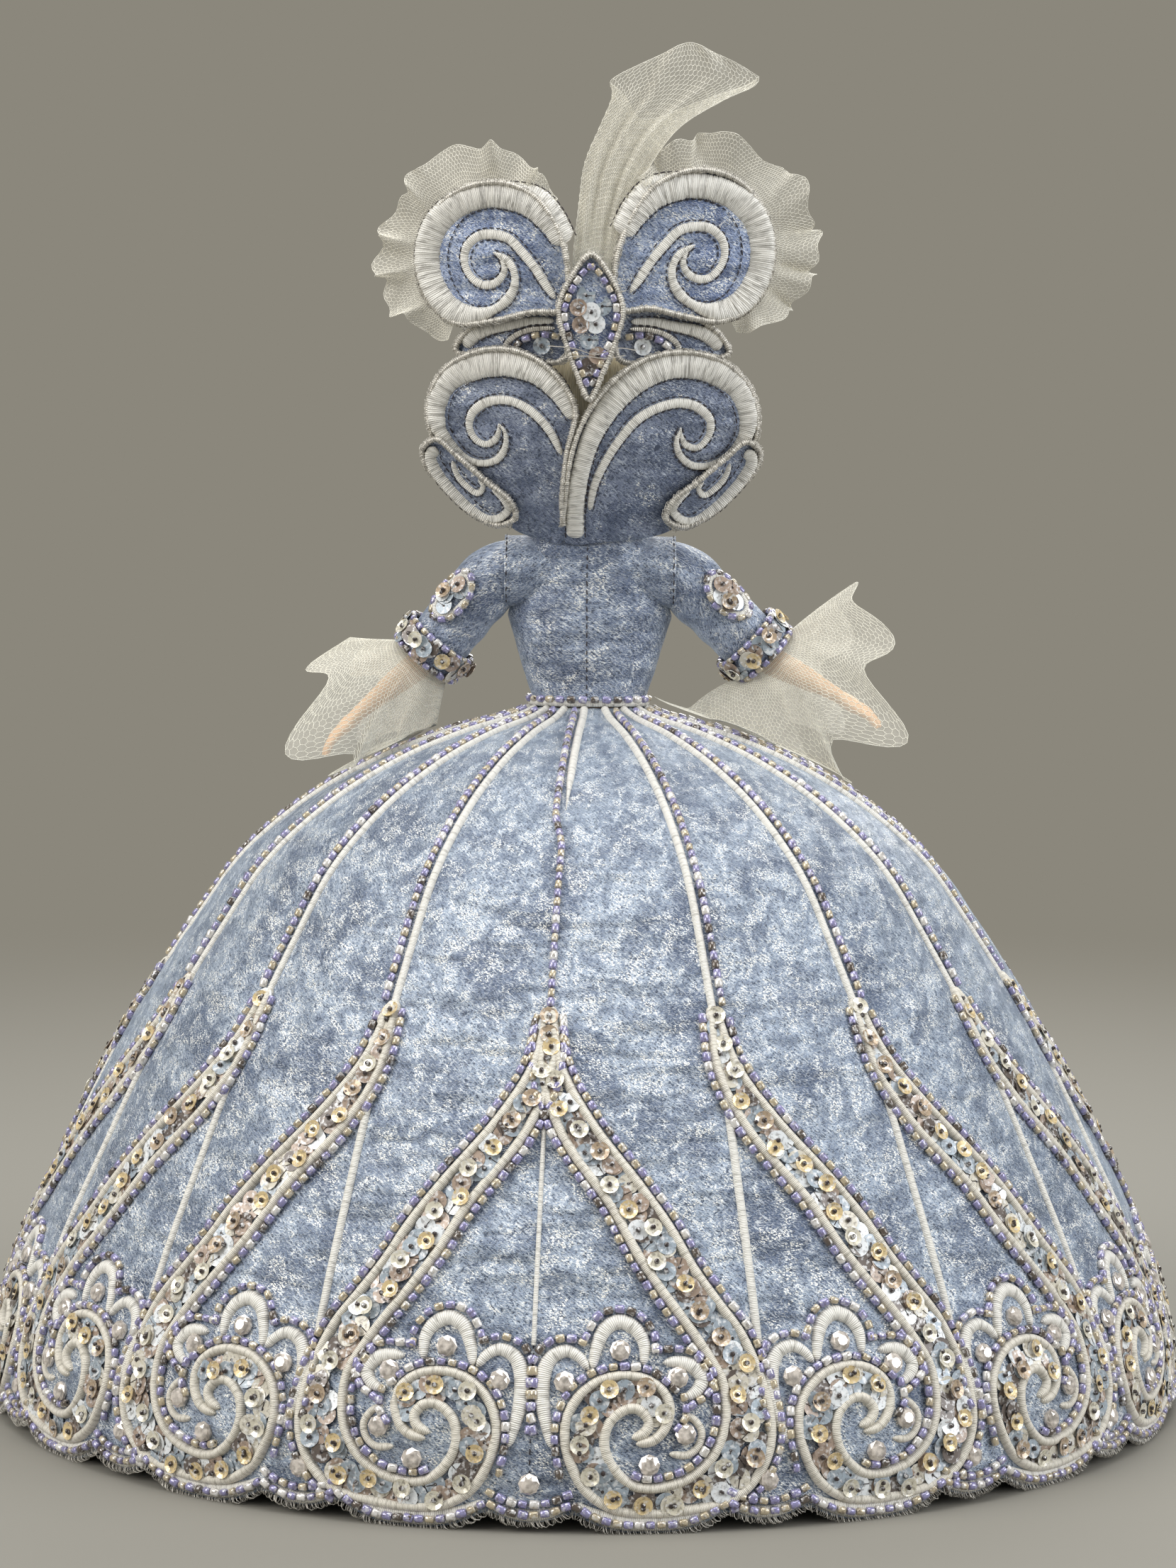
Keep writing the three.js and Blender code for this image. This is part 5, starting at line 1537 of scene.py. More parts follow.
def bead_unit() -> Object:
    """A short glass tube bead, its hole along Z.

    Returns:
        The construction object.
    """
    buffer = MeshBuffer()
    profile = [(0.3, -1.12), (0.8, -1.08), (1.0, -0.8), (1.0, 0.8), (0.8, 1.08), (0.3, 1.12)]
    buffer.grid(turned(profile, circle(7)), wrap=True)
    return small_part("bead_unit", buffer)


def sequin_unit(cup: float, bead: bool, radius: float = 2.65) -> Object:
    """A sequin with what holds it down; the attribute part is 1 on that.

    Args:
        cup: How deep it is dished.
        bead: Whether a seed bead holds it, or else a stitch.
        radius: Its radius.

    Returns:
        The construction object.
    """
    buffer = MeshBuffer()
    turn = circle(14)
    profile = [(0.42, 0.1), (0.55 * radius, 0.1 + 0.1 * cup), (radius, 0.08 + cup), (radius, -0.06 + cup)]
    buffer.grid(turned(profile, turn), wrap=True, flip=True)
    if bead:
        round_bead = turned([(0.3, 0.0), (0.72, 0.4), (0.6, 0.95), (0.2, 1.15)], turn[::2])
        buffer.grid(round_bead, wrap=True, tint=1.0)
        buffer.fan(round_bead[-1], tint=1.0)
    else:
        buffer.fan(turned([(0.45, 0.12)], turn[::2])[0], tint=1.0)
        section = ((-0.13, 0.0), (0.0, 0.14), (0.13, 0.0))
        buffer.grid(np.array([[(x, y, 0.14 + z) for y, z in section] for x in (-0.2, radius)]), tint=1.0)
    return small_part("sequin_unit", buffer, smooth=False)


def dash_unit(length: float, thickness: float) -> Object:
    """A short stitch along Z.

    Args:
        length: Its length.
        thickness: Its thickness.

    Returns:
        The construction object.
    """
    buffer = MeshBuffer()
    profile = [(0.2, -0.5), (1.0, -0.3), (1.0, 0.3), (0.2, 0.5)]
    buffer.grid(turned([(r * thickness / 2, z * length) for r, z in profile], circle(4)), wrap=True)
    return small_part("dash_unit", buffer)


def loop_unit(width: float, thickness: float) -> Object:
    """An overcast stitch, square to the line that it goes round.

    Args:
        width: The loop's width.
        thickness: The thread's thickness.

    Returns:
        The construction object.
    """
    buffer = MeshBuffer()
    section = thickness / 2 * np.stack([np.cos(circle(3)), np.sin(circle(3))], axis=1)
    turn = np.linspace(0, 2 * np.pi, 8)[:, None]
    radius, rise = width / 2 + section[None, :, 0], section[None, :, 1] + 0.35 * np.sin(turn)
    buffer.grid(np.stack([radius * np.cos(turn), radius * np.sin(turn), rise], axis=-1), wrap=True)
    return small_part("loop_unit", buffer)


def crystal_unit() -> Object:
    """A faceted glass stone, its flat table up.

    Returns:
        The construction object.
    """
    buffer = MeshBuffer()
    radius, facets = 2.6, 8
    half_step = np.pi / facets
    levels = ((1.0, 0.1, 0.0), (1.0, 0.8, 0.0), (0.82, 1.5, half_step), (0.5, 2.0, 0.0))
    rings = np.vstack([turned([(share * radius, z)], circle(facets) + shift) for share, z, shift in levels])
    buffer.grid(rings, wrap=True)
    buffer.fan(rings[-1])
    buffer.fan(rings[0], flip=True)
    return small_part("crystal_unit", buffer, smooth=False)


def set_on(data: Mesh, place: Array, out: Array) -> Array:
    """The points of a small mesh in millimetres, moved to a place and with its Z turned outwards."""
    shape = np.array([v.co for v in data.vertices], float) / MM
    return shape @ np.array(Vector(out).to_track_quat("Z", "Y").to_matrix()).T + place


@dataclass(frozen=True)
class Sewn:
    """How small things are threaded along a line."""

    pitch: float
    wander: float
    twist: float
    vary: float


@dataclass
class Haberdashery:
    """The small things that are sewn on, and the trees that set them."""

    looks: Looks

    def __post_init__(self) -> None:
        """Make the units and the trees."""
        self._string = stringing_tree()
        self._scatter = scattering_tree()
        self._bead = bead_unit()
        self.flat_sequin = sequin_unit(0.05, False)
        self.beaded_sequin = sequin_unit(0.05, True)
        self.cup_sequin = sequin_unit(0.5, True, 2.4)
        self._dash = dash_unit(1.5, 0.34)
        self._loop = loop_unit(1.9, 0.2)
        self._crystal = crystal_unit()
        self._seed = 100

    def _next_seed(self) -> int:
        """A new fixed seed."""
        self._seed += 1
        return self._seed

    def clear(self) -> None:
        """Remove the construction objects."""
        sequins = (self.flat_sequin, self.beaded_sequin, self.cup_sequin)
        for unit_object in (self._bead, *sequins, self._dash, self._loop, self._crystal):
            bpy.data.objects.remove(unit_object)

    def _strung(
        self, name: str, paths: Sequence[Array], look: str, shape: Object, body: str, how: Sewn
    ) -> None:
        """Thread copies of a small thing along paths.

        Args:
            name: The piece's name.
            paths: Points in millimetres.
            look: The finish's name.
            shape: The small thing.
            body: The CAD body that it rides on.
            how: How it is threaded.
        """
        slot = "beadwork" if shape is self._bead else "satin"
        grow(
            name, lines(paths), self._string, self.looks[look], body, slot, Unit=shape, Pitch=how.pitch * MM,
            Wander=how.wander, Twist=how.twist, Vary=how.vary, Seed=self._next_seed(),
        )

    def beads(self, name: str, paths: Sequence[Array], body: str, pitch: float = 2.6) -> None:
        """String beads along paths, in several pieces, so that no mesh is too large.

        Args:
            name: The pieces' name.
            paths: Points in millimetres.
            body: The CAD body that they ride on.
            pitch: Distance between two beads.
        """
        longest_thread = 4600.0
        how = Sewn(pitch, 0.16, 3.1, 0.1)
        batches: list[list[Array]] = [[]]
        total = 0.0
        for path in paths:
            if total > longest_thread:
                batches.append([])
                total = 0.0
            batches[-1].append(path)
            total += float(lengths(path)[-1])
        for i, batch in enumerate(batches):
            self._strung(f"{name}_{i + 1}", batch, "glass_bead", self._bead, body, how)

    def stitches(self, name: str, paths: Sequence[Array], body: str, pitch: float) -> None:
        """Set dark back stitches along paths, with a pitch between them."""
        self._strung(name, paths, "dark_thread", self._dash, body, Sewn(pitch, 0.12, 0.5, 0.2))

    def edging(self, name: str, paths: Sequence[Array], body: str, pitch: float) -> None:
        """Overcast edges with loose metal thread, with a pitch between its loops."""
        self._strung(name, paths, "silver_wire", self._loop, body, Sewn(pitch, 0.5, 0.5, 0.3))

    def sequins(self, name: str, ground: MeshBuffer, body: str, spacing: float = 2.9) -> None:
        """Scatter sequins of three kinds over a ground.

        Args:
            name: The pieces' name.
            ground: The faces to cover.
            body: The CAD body that they ride on.
            spacing: Least distance between two of a kind.
        """
        kinds = (
            ("flat", self.flat_sequin, 1.0, "sequin"), ("beaded", self.beaded_sequin, 2.2, "sequin"),
            ("cup", self.cup_sequin, 2.5, "cup_sequin"),
        )
        for i, (label, shape, share, look) in enumerate(kinds):
            base = ground.mesh("ground")
            points, normals = np.zeros((2, len(base.vertices), 3), np.float32)
            base.vertices.foreach_get("co", points.ravel())
            base.vertex_normals.foreach_get("vector", normals.ravel())
            base.vertices.foreach_set("co", (points + normals * (0.6 + 0.35 * i) * MM).ravel())
            grow(
                f"{name}_{label}", helper("ground", base), self._scatter, self.looks[look], body, "beadwork",
                Unit=shape, Spacing=spacing * share * MM, Seed=self._next_seed(), Tilt=0.16, Vary=0.08,
            )

    def stones(self, name: str, surface: Surface, spots: Array, body: str) -> None:
        """Set crystals at places.

        Args:
            name: The piece's name.
            surface: The surface that they sit on.
            spots: Their places.
            body: The CAD body that they ride on.
        """
        unit_mesh = self._crystal.data
        faces = [tuple(p.vertices) for p in unit_mesh.polygons]
        points, found = [], []
        for i, (place, out) in enumerate(zip(surface.place(spots, 0.2), outward(surface, spots))):
            points.append(set_on(unit_mesh, place, out))
            found += [tuple(k + i * len(points[0]) for k in face) for face in faces]
        data = bpy.data.meshes.new(name)
        data.from_pydata((np.vstack(points) * MM).tolist(), [], found)
        piece(name, data, self.looks["crystal"], body)


# One ribbon of sequins: outer cord and inner cord, as sideways distance from the motif's middle (positive
# towards the back seam) and length up the cloth
RIBBON = np.array(
    [
        (19.9, 130, 21.1, 130), (18.4, 114, 23.2, 112), (11.8, 100, 18.5, 96), (0, 83, 7.2, 78),
        (-6.6, 72.6, 1.6, 66.5), (-11.6, 63, -3.8, 57.6), (-17.3, 54.3, -10.2, 48.4),
        (-22.8, 46.4, -15, 40.8),
        (-26.8, 37.4, -17.8, 35), (-29.3, 28.6, -18.4, 29), (-29.7, 21.9, -17.8, 24),
        (-28.6, 17, -16.2, 19.8),
        (-26, 12.6, -14, 16.6), (-22.6, 9.2, -11.4, 14.2), (-18, 6.9, -8.4, 12.4), (-8, 5.2, -4, 11.1),
        (2, 4.8, 0.3, 10.6), (9, 6, 4.2, 11.4), (15.2, 10, 7.8, 14.2), (18.6, 15.8, 10.2, 18),
        (20.2, 22.3, 10.9, 22),
        (19.3, 28, 10, 25.6), (16.4, 32.6, 8.1, 27.9), (11.4, 36.2, 6, 29.3), (5.3, 37.3, 4.2, 29.7),
        (0, 36.1, 2.2, 29.2), (-3.7, 33, 1, 28), (-4.8, 29.4, 0.2, 26.6), (-3.8, 25.4, 0.5, 25),
        (-1.1, 22.3, 1.8, 23.6),
        (3.4, 21.2, 4.4, 22.6),
    ],
    float,
)
HOOK = [(-7.8, 28.3), (-10.7, 26.6), (-12.4, 23.6), (-11.4, 20.2), (-8.8, 18.4), (-4.5, 18.8)]
PETALS = [
    [(-8.2, 31.7), (-11.5, 33.5), (-12.9, 36.3), (-11, 39), (-7.2, 40.4), (-3.5, 40.3)],
    [(1.1, 39.7), (0.9, 45), (2.9, 48.6), (6.5, 50.2), (9.9, 48.5), (12, 44.4), (13.3, 38.8)],
    [
        (14.2, 38.6), (16.2, 41.5), (19.2, 43), (22.8, 41.5), (24.8, 37.9), (25.4, 31.5), (24.6, 25.8),
        (23.3, 20),
    ],
]
MOTIF_STONES = [(-8.4, 23.3), (0.3, 16.2), (-6.9, 36.6), (6.6, 43.2), (20.0, 35.6)]
MOTIF_BEADS = [
    # between ring and petals, and inside the hook
    [(21.6, 14), (22.6, 22), (21.6, 28.5), (18.4, 34.2), (12.6, 38.2), (5.6, 39.5), (-1, 38.2), (-6, 34)],
    [(-6.6, 24.8), (-8.6, 27.6), (-8.2, 32)],
]
PETAL_BEADS = [
    [(-10, 30), (-14, 32.6), (-15.6, 36.6), (-13.4, 40.8), (-8.6, 43.2), (-2.2, 43.4)],
    [(-1.8, 43.6), (-1.6, 47), (1.6, 51.4), (6.7, 53.1), (11.6, 51.4), (14.6, 46.4)],
    [(15.4, 45), (19.4, 46), (24.8, 44), (27.6, 39), (28.4, 31.5), (27.8, 24)],
]


@dataclass
class SkirtNeedlework:
    """Pipings, ribbons of sequins, petals, beads and crystals on the bell."""

    bell: Bell
    looks: Looks
    shop: Haberdashery

    def build(self) -> None:
        """Make the needlework, gore by gore."""
        self.cords, self.hem_cords, self.satin = MeshBuffer(), MeshBuffer(), MeshBuffer()
        self.stitch_paths: list[Array] = []
        self.edges: list[Array] = []
        self.bead_paths: list[Array] = []
        self.grounds = {"right": MeshBuffer(), "left": MeshBuffer()}
        stones = []
        for k in range(GORES):
            line = SKIRT_TWIST + k * GORE_PITCH
            middle = line + GORE_PITCH / 2
            mirror = k < GORES // 2
            self._gore_line(line, k)
            self._motif(middle, mirror)
            self._scallops(middle, line)
            stones += [self.bell.spots(MOTIF_STONES, middle, mirror), np.array([[line, 11.5]])]
        self.cords.build("skirt_cords_upper", self.looks["piping"], "doll", "satin")
        self.hem_cords.build("skirt_cords_hem", self.looks["hem_piping"], "doll", "satin")
        self.satin.build("hem_satin", self.looks["satin_stitch"], "doll", "satin")
        self.shop.beads("skirt_beads", self.bead_paths, "doll")
        self.shop.stitches("skirt_seam_stitches", self.stitch_paths, "doll", 2.4)
        self.shop.edging("hem_edging", self.edges, "doll", 0.5)
        self.shop.stones("hem_crystals", self.bell, np.vstack(stones), "doll")
        for label, ground in self.grounds.items():
            self.shop.sequins(f"skirt_sequins_{label}", ground, "doll")

    def _gore_line(self, line: float, k: int) -> None:
        """Make the piping, beads and stitches along a gore's seam.

        Args:
            line: The seam's angle.
            k: The seam's number, 0 at the back.
        """
        top, foot = self.bell.length - 0.6, 44.0
        arc = np.linspace(top, foot, 240)
        path = np.stack([np.full_like(arc, line), arc], axis=1)
        if k == 0:
            upper, lower = arc > CORD_END, arc < CORD_FOOT
            swell = 1.1 * smoothstep(arc, CORD_END - 3, CORD_END + 20)
            for part, half in ((upper, swell), (lower, 0.6 + 0 * arc)):
                strip(self.cords, self.bell, path[part], half[part], 0.2 + 0.8 * half[part])
        else:
            strip(self.cords, self.bell, path, 1.1, 1.15)
        arc = np.linspace(top - 3, CORD_FOOT + 3, 120)
        if k == 0:
            aside = -2.5 * smoothstep(arc, CORD_END - 16, CORD_END)
        else:
            aside = np.full_like(arc, 2.5 if k <= GORES // 2 else -2.5)
        row = self.bell.spots(np.stack([aside, arc], axis=1), line)
        self.bead_paths.append(self.bell.place(row, 0.9))
        arc = np.linspace(foot, 14.0, 20)
        self.stitch_paths.append(self.bell.place(np.stack([np.full_like(arc, line), arc], axis=1), 0.25))

    def _motif(self, middle: float, mirror: bool) -> None:
        """Make one ribbon with its ring and petals.

        Args:
            middle: Angle of the motif's middle.
            mirror: Whether it is turned over.
        """

        def place(points: Line) -> Array:
            """Surface coordinates of points of the motif."""
            return self.bell.spots(points, middle, mirror)

        both = spline(RIBBON, 330)
        outer, inner = both[:, :2], both[:, 2:]
        outer_line, inner_line = resample(outer, 300), resample(inner, 280)
        for line in (outer_line, inner_line):
            strip(self.hem_cords, self.bell, place(line), 1.3, 1.75, taper=3.0)
        strip(self.hem_cords, self.bell, place(spline(HOOK, 40)), 0.95, 1.0, taper=2.5)
        shares = np.array([0.24, 0.5, 0.76])[None, :, None]
        rows = outer[4:-14, None] * (1 - shares) + inner[4:-14, None] * shares
        ground = self.grounds["right" if mirror else "left"]
        ground.grid(self.bell.place(place(rows), 0.2), flip=not mirror)
        swell = 0.85 + 1.05 * np.sin(np.pi * np.linspace(0, 1, 70)) ** 0.8
        for petal in PETALS:
            strip(self.satin, self.bell, place(spline(petal, 70)), swell, 1.3, taper=2.0)
        rows = [beside(outer_line, -2.4)[6:175], beside(inner_line, 2.4)[6:225]]
        rows += [spline(group, 60) for group in (*MOTIF_BEADS, *PETAL_BEADS)]
        self.bead_paths += [self.bell.place(place(row), 0.9) for row in rows]

    def _scallops(self, middle: float, line: float) -> None:
        """Satin, beads and metal thread along a gore's stretch of hem.

        Args:
            middle: Angle of the motif's middle.
            line: Angle of the small scallop's middle.
        """
        taper = 1 - 0.55 * np.linspace(-1, 1, 90) ** 2
        for centre, reach, half in ((middle, 6.3, 2.1), (line, 3.2, 1.5)):
            angle = np.linspace(centre - reach, centre + reach, 90)
            path = np.stack([angle, hem_rise(angle) + half + 0.3], axis=1)
            strip(self.satin, self.bell, path, half * taper, 1.2, taper=1.5)
        self.bead_paths.append(self.bell.place(path + np.array([0.0, half + 1.3]), 0.9))
        angle = np.linspace(line - GORE_PITCH / 2, line + GORE_PITCH / 2, 160)
        edge = np.stack([angle, hem_rise(angle) + 0.2], axis=1)
        self.edges.append(self.bell.place(edge - np.array([0.0, 0.3]), 0.5))
        self.bead_paths.append(self.bell.place(edge + np.array([0.0, 2.0]), 1.4))


WING_EDGES = {
    Side.LEFT: [
        (-7.6, 61), (-6.8, 71), (-9.5, 82), (-16, 91), (-26, 95), (-37, 93), (-45, 86), (-48.4, 75),
        (-45.5, 64.5), (-38, 57.6), (-28, 57.6), (-17, 60),
    ],
    Side.RIGHT: [
        (7.6, 61), (5.8, 71), (9.5, 84), (17, 94.5), (28, 99), (39.5, 96.5), (47.5, 87.5), (49.4, 75.5),
        (45, 64.5), (35.5, 58.6), (25, 59.5), (15.5, 61.4),
    ],
}
WING_CENTRES = {Side.LEFT: (-28.0, 74.0), Side.RIGHT: (28.5, 77.0)}
BROW_EDGE = [
    (-37.6, 50.4), (-34, 56), (-27, 60), (-17, 61.6), (-7.8, 60), (-7.2, 48), (-17, 46.6), (-29, 47.6),
]
PANEL_LEFT_EDGE = [
    (-4.4, 34), (-8.4, 41.6), (-15.3, 47.6), (-24, 50.4), (-34, 49), (-42, 43.5), (-45.4, 34.5),
    (-43.2, 25), (-36, 16), (-27.5, 7.5), (-20.8, 1.2), (-13.6, -1.2), (-7.9, -2.2), (-7.8, 10), (-6.6, 22),
]
PANEL_RIGHT_EDGE = [
    (-1.2, 33), (6.4, 42.6), (16, 48.4), (26.4, 50), (36.6, 47.4), (43.8, 40.4), (46, 30.6), (43, 21.6),
    (34.4, 12.6), (26, 4.4), (21.4, 1.2), (13.6, -0.8), (4, -1.8), (-7, -1.8), (-7, 10), (-5.4, 22.5),
]
LOBE_EDGE = [
    (-46.8, 23.6), (-43, 26.2), (-37.4, 22), (-29.3, 15), (-22.2, 9.2), (-20.8, 4.8), (-25.6, 2.6),
    (-33.4, 6), (-41.2, 13.4), (-46, 19),
]
SPINDLE_EDGE = [
    (-0.5, 75.4), (4.8, 69.6), (8.2, 61), (6.2, 52), (2.8, 43.5), (-0.6, 36.6), (-4.1, 43.5), (-7.3, 52),
    (-9.2, 61), (-5.8, 69.6),
]
RUFFLES = {
    # first and last direction from the wing's middle in degrees, and widths on the way
    Side.LEFT: (44.0, 238.0, (4, 8, 12.5, 10, 12, 10, 4)),
    Side.RIGHT: (130.0, -62.0, (4, 9, 10, 13, 13, 9, 4)),
}
PLUME_ROWS = [
    # rise above the neckline, left edge, right edge, depth of the fold
    (62.5, -4.5, 6.5, 1.2), (74, -5.5, 8, 2), (88, -4.2, 10, 4), (100, -2.6, 15.5, 5.5), (110, 1.5, 23, 6.5),
    (118, 4.6, 35, 6.5), (123.5, 4, 44.5, 6), (128, 8, 43, 4), (132, 14, 36, 2.5),
]


def mirrored(points: Line) -> Array:
    """Swap left and right.

    Args:
        points: Points whose first component is the distance from the middle.

    Returns:
        The mirrored points, in the same order.
    """
    swapped = np.array(points, float)
    swapped[:, 0] *= -1
    return swapped


def for_side(side: Side, points: Line) -> Array:
    """Points that are given for the left side, on either side."""
    return mirrored(points) if side is Side.RIGHT else np.array(points, float)


@dataclass
class Panel:
    """A stiffened, covered panel of the collar."""

    name: str
    edge: Line
    centre: Point
    back: float
    node: str

    def build(self, material: Material, dome: float) -> None:
        """Make the panel.

        Args:
            material: Its cover.
            dome: How far its middle stands out.
        """
        surface = Collar(self.back)
        edge = spline(self.edge, 141, closed=True)[:-1]
        middle = np.array(self.centre, float)
        top = PANEL_THICKNESS
        levels = [(0.9, 0), (0.5, 0), (0.04, 0), (0.0, 0.2), (0.0, 0.7 * top)]
        for share in (0.02, 0.06, 0.14, 0.26, 0.4, 0.56, 0.72, 0.88, 0.97):
            levels.append((share, top + dome * math.sin(min(share, 0.6) / 0.6 * math.pi / 2)))
        points = np.stack([surface.place(edge + (middle - edge) * share, lift) for share, lift in levels])
        uv = np.stack([points[..., 0], points[..., 2]], axis=-1)
        turning = np.cross(edge - middle, np.roll(edge, -1, axis=0) - middle).sum()
        buffer = MeshBuffer()
        buffer.grid(points, uv, wrap=True, flip=turning < 0)
        buffer.fan(points[-1], flip=turning < 0)
        buffer.fan(points[0], flip=turning > 0)
        cover = buffer.build(self.name, material, "doll", "brocade")
        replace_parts(cover, self.node)


@dataclass
class Ruffle:
    """Gathered net behind a wing."""

    side: Side
    looks: Looks
    net: bpy.types.NodeTree

    def _place(self, share: Array, out: Array) -> Array:
        """Points of the ruffle.

        Args:
            share: Share of the way round.
            out: Share of the way out, 0 where it is sewn on.

        Returns:
            Points in millimetres.
        """
        start, end, widths = RUFFLES[self.side]
        middle = np.array(WING_CENTRES[self.side])
        rim = spline(WING_EDGES[self.side], 400, closed=True) - middle
        angles = np.mod(np.unwrap(np.arctan2(rim[:, 1], rim[:, 0])), 2 * np.pi)
        order = np.argsort(angles)
        wanted = np.radians(start + (end - start) * share)
        distances = np.linalg.norm(rim, axis=1)[order]
        reach = np.interp(np.mod(wanted, 2 * np.pi), angles[order], distances, period=2 * np.pi)
        width = np.interp(share * (len(widths) - 1), np.arange(len(widths)), widths)
        begin = 0.4 if self.side is Side.LEFT else 0.1
        wave = (share * 6.5 + 0.35 * np.sin(share * 9.0) + begin) * 2 * np.pi
        width = width * (1 + 0.10 * np.cos(wave) + 0.07 * np.sin(wave * 2.3 + 1))
        fold = np.sin(wave + 0.7 * np.cos(wave * 0.37))
        distance = -4 + (width + 4) * out
        flare = np.clip(out * 1.4 - 0.4, 0, 1)
        wanted = wanted + 0.055 * np.cos(wave) * flare
        spots = middle + (reach + distance)[..., None] * np.stack([np.cos(wanted), np.sin(wanted)], axis=-1)
        fine = 0.7 * np.sin(wave * 3.1 + 2) * flare + 0.35 * np.sin(wave * 7.3) * flare**3
        return Collar(1.9).place(spots, (4.2 * fold + fine) * flare + 0.3 + 1.2 * flare)

    def build(self) -> None:
        """Make the net: a sheer film, and threads in six-sided cells."""
        columns, rows = 132, 15
        outs, shares = np.meshgrid(np.linspace(0, 1, rows), np.linspace(0, 1, columns), indexing="ij")
        points = self._place(shares, outs)
        film = MeshBuffer()
        film.grid(points, flip=self.side is Side.LEFT)
        name = f"ruffle_net_{self.side.value}"
        sheet = film.build(name, self.looks["net_film"], "doll", "net")
        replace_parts(sheet, f"ruffle_{self.side.value}")
        shift = (np.arange(rows) % 2)[:, None] * 0.5 / columns
        cells = weave(self._place(np.clip(shares + shift, 0, 1), outs), closed=False)
        net = grow(
            name + "_threads", cells, self.net, self.looks["net_thread"], "doll", "net", Thread=0.1 * MM
        )


@dataclass
class Plume:
    """The folded spray of net behind the spindle."""

    looks: Looks
    net: bpy.types.NodeTree

    @staticmethod
    def _spots(across: Array, share: Array, depth_share: float) -> Array:
        """Points of one layer, up to its own slanting top edge.

        Args:
            across: Share of the way from the left edge to the right edge.
            share: Share of the way up.
            depth_share: Share of the fold's depth, 0 for the rear layer and 1 for the front one.

        Returns:
            Points in millimetres.
        """
        foot = 62.5
        arch = np.sin(np.pi * np.clip(across, 0, 1))
        top = 121.5 + 3.5 * across + arch * (9.5 if depth_share < 0.5 else -10.5)
        rise = foot + (top - foot) * share
        left, right, depth = read_table(spline(PLUME_ROWS, 90), rise)
        folds = 0.5 * np.sin(across * 21 + rise * 0.05) + 0.3 * np.sin(across * 37 + 1)
        pleats = folds * smoothstep(rise, 64, 95)
        x = left + (right - left) * across
        lift = 0.3 - depth * np.sin(np.pi * across) * depth_share + pleats * (1 - 0.3 * depth_share)
        return Collar(1.9).place(np.stack([x, rise], axis=-1), lift)

    def build(self) -> None:
        """Make the net, rear and front layer."""
        rows, columns = 54, 34
        shares, acrosses = np.meshgrid(np.linspace(0, 1, rows), np.linspace(0, 1, columns), indexing="ij")
        shift = (np.arange(rows) % 2)[:, None] * 0.5 / columns
        thread = self.looks["net_thread"]
        for label, depth_share in (("rear", 0.0), ("front", 1.0)):
            points = self._spots(acrosses, shares, depth_share)
            film = MeshBuffer()
            film.grid(points, flip=depth_share > 0)
            name = f"plume_net_{label}"
            sheet = film.build(name, self.looks["net_film"], "doll", "net")
            if label == "front":
                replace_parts(sheet, "plume")
            cells = weave(self._spots(np.clip(acrosses + shift, 0, 1), shares, depth_share), closed=False)
            net = grow(name + "_threads", cells, self.net, thread, "doll", "net", Thread=0.11 * MM)


@dataclass
class StandingCollar:
    """The butterfly-shaped collar: panels, wings, spindle and net."""

    looks: Looks
    net: bpy.types.NodeTree

    def build(self) -> None:
        """Make every part of the collar."""
        light, dark = self.looks["brocade_wing"], self.looks["brocade_panel"]
        for side in Side:
            at, edge, centre = side.value, WING_EDGES[side], WING_CENTRES[side]
            Panel(f"wing_field_{at}", edge, centre, LAYER_PITCH, f"wing_{at}").build(light, 0.5)
            edge, centre = for_side(side, BROW_EDGE), (20.0 * side.sign, 54.0)
            Panel(f"brow_field_{at}", edge, centre, 0.0, f"brow_panel_{at}").build(dark, 0.3)
            edge, centre = for_side(side, LOBE_EDGE), (34.0 * side.sign, 14.0)
            Panel(f"lobe_field_{at}", edge, centre, LOBE_LAYER, f"collar_lobe_{at}").build(dark, 0.2)
        panels = (("left", PANEL_LEFT_EDGE, (-22.0, 26.0)), ("right", PANEL_RIGHT_EDGE, (18.0, 24.0)))
        for at, edge, centre in panels:
            Panel(f"panel_field_{at}", edge, centre, LAYER_PITCH, f"collar_panel_{at}").build(dark, 0.5)
        Panel("spindle_field", SPINDLE_EDGE, (-0.5, 59.0), SPINDLE_LAYER, "spindle").build(light, 0.7)
        for side in Side:
            Ruffle(side, self.looks, self.net).build()
        Plume(self.looks, self.net).build()


# Padded strips of satin stitch: distance from the middle, rise, half width
WING_BORDER = [
    (-7.4, 78.5, 3.1), (-11.6, 85, 4), (-16.3, 89.4, 4.3), (-25.1, 91.5, 3.5), (-31.4, 91.2, 3.5),
    (-37.2, 89.1, 3.8),
    (-42, 84.4, 4.4), (-44.2, 78.4, 4.5), (-44.1, 71.8, 4.4), (-41.9, 66, 4.1), (-38, 61.3, 3.6),
    (-33, 59.4, 2.7),
    (-27.2, 60.8, 1.3), (-23.2, 63.6, 1.4), (-21.2, 67.3, 1.2), (-21.3, 70.8, 1.1), (-22.8, 73.7, 1.1),
    (-25.2, 75.4, 0.8), (-27.3, 76.3, 0.4),
]
WING_SCROLL = [
    (-10.1, 63.6, 0.7), (-12.6, 67.2, 1.2), (-15.7, 72, 1.3), (-19.3, 76.4, 1.4), (-22.8, 79.9, 1.4),
    (-26.9, 81.1, 1.4), (-30.9, 80.8, 1.4), (-34, 78.2, 1.4), (-34.9, 74.5, 1.3), (-33.5, 70.6, 1.2),
    (-30.4, 67.9, 1.2), (-27.2, 67.8, 1.2), (-24.8, 69.5, 1.1), (-23.9, 72.1, 1), (-25, 74.7, 0.7),
    (-26.8, 76.1, 0.4),
]
BROW_BORDER = [
    (-35, 51.2, 1.9), (-32.6, 54.2, 2.1), (-28, 56, 1.7), (-22.6, 56.9, 1.4), (-17, 57.9, 1.2),
    (-10.5, 58, 0.9),
]
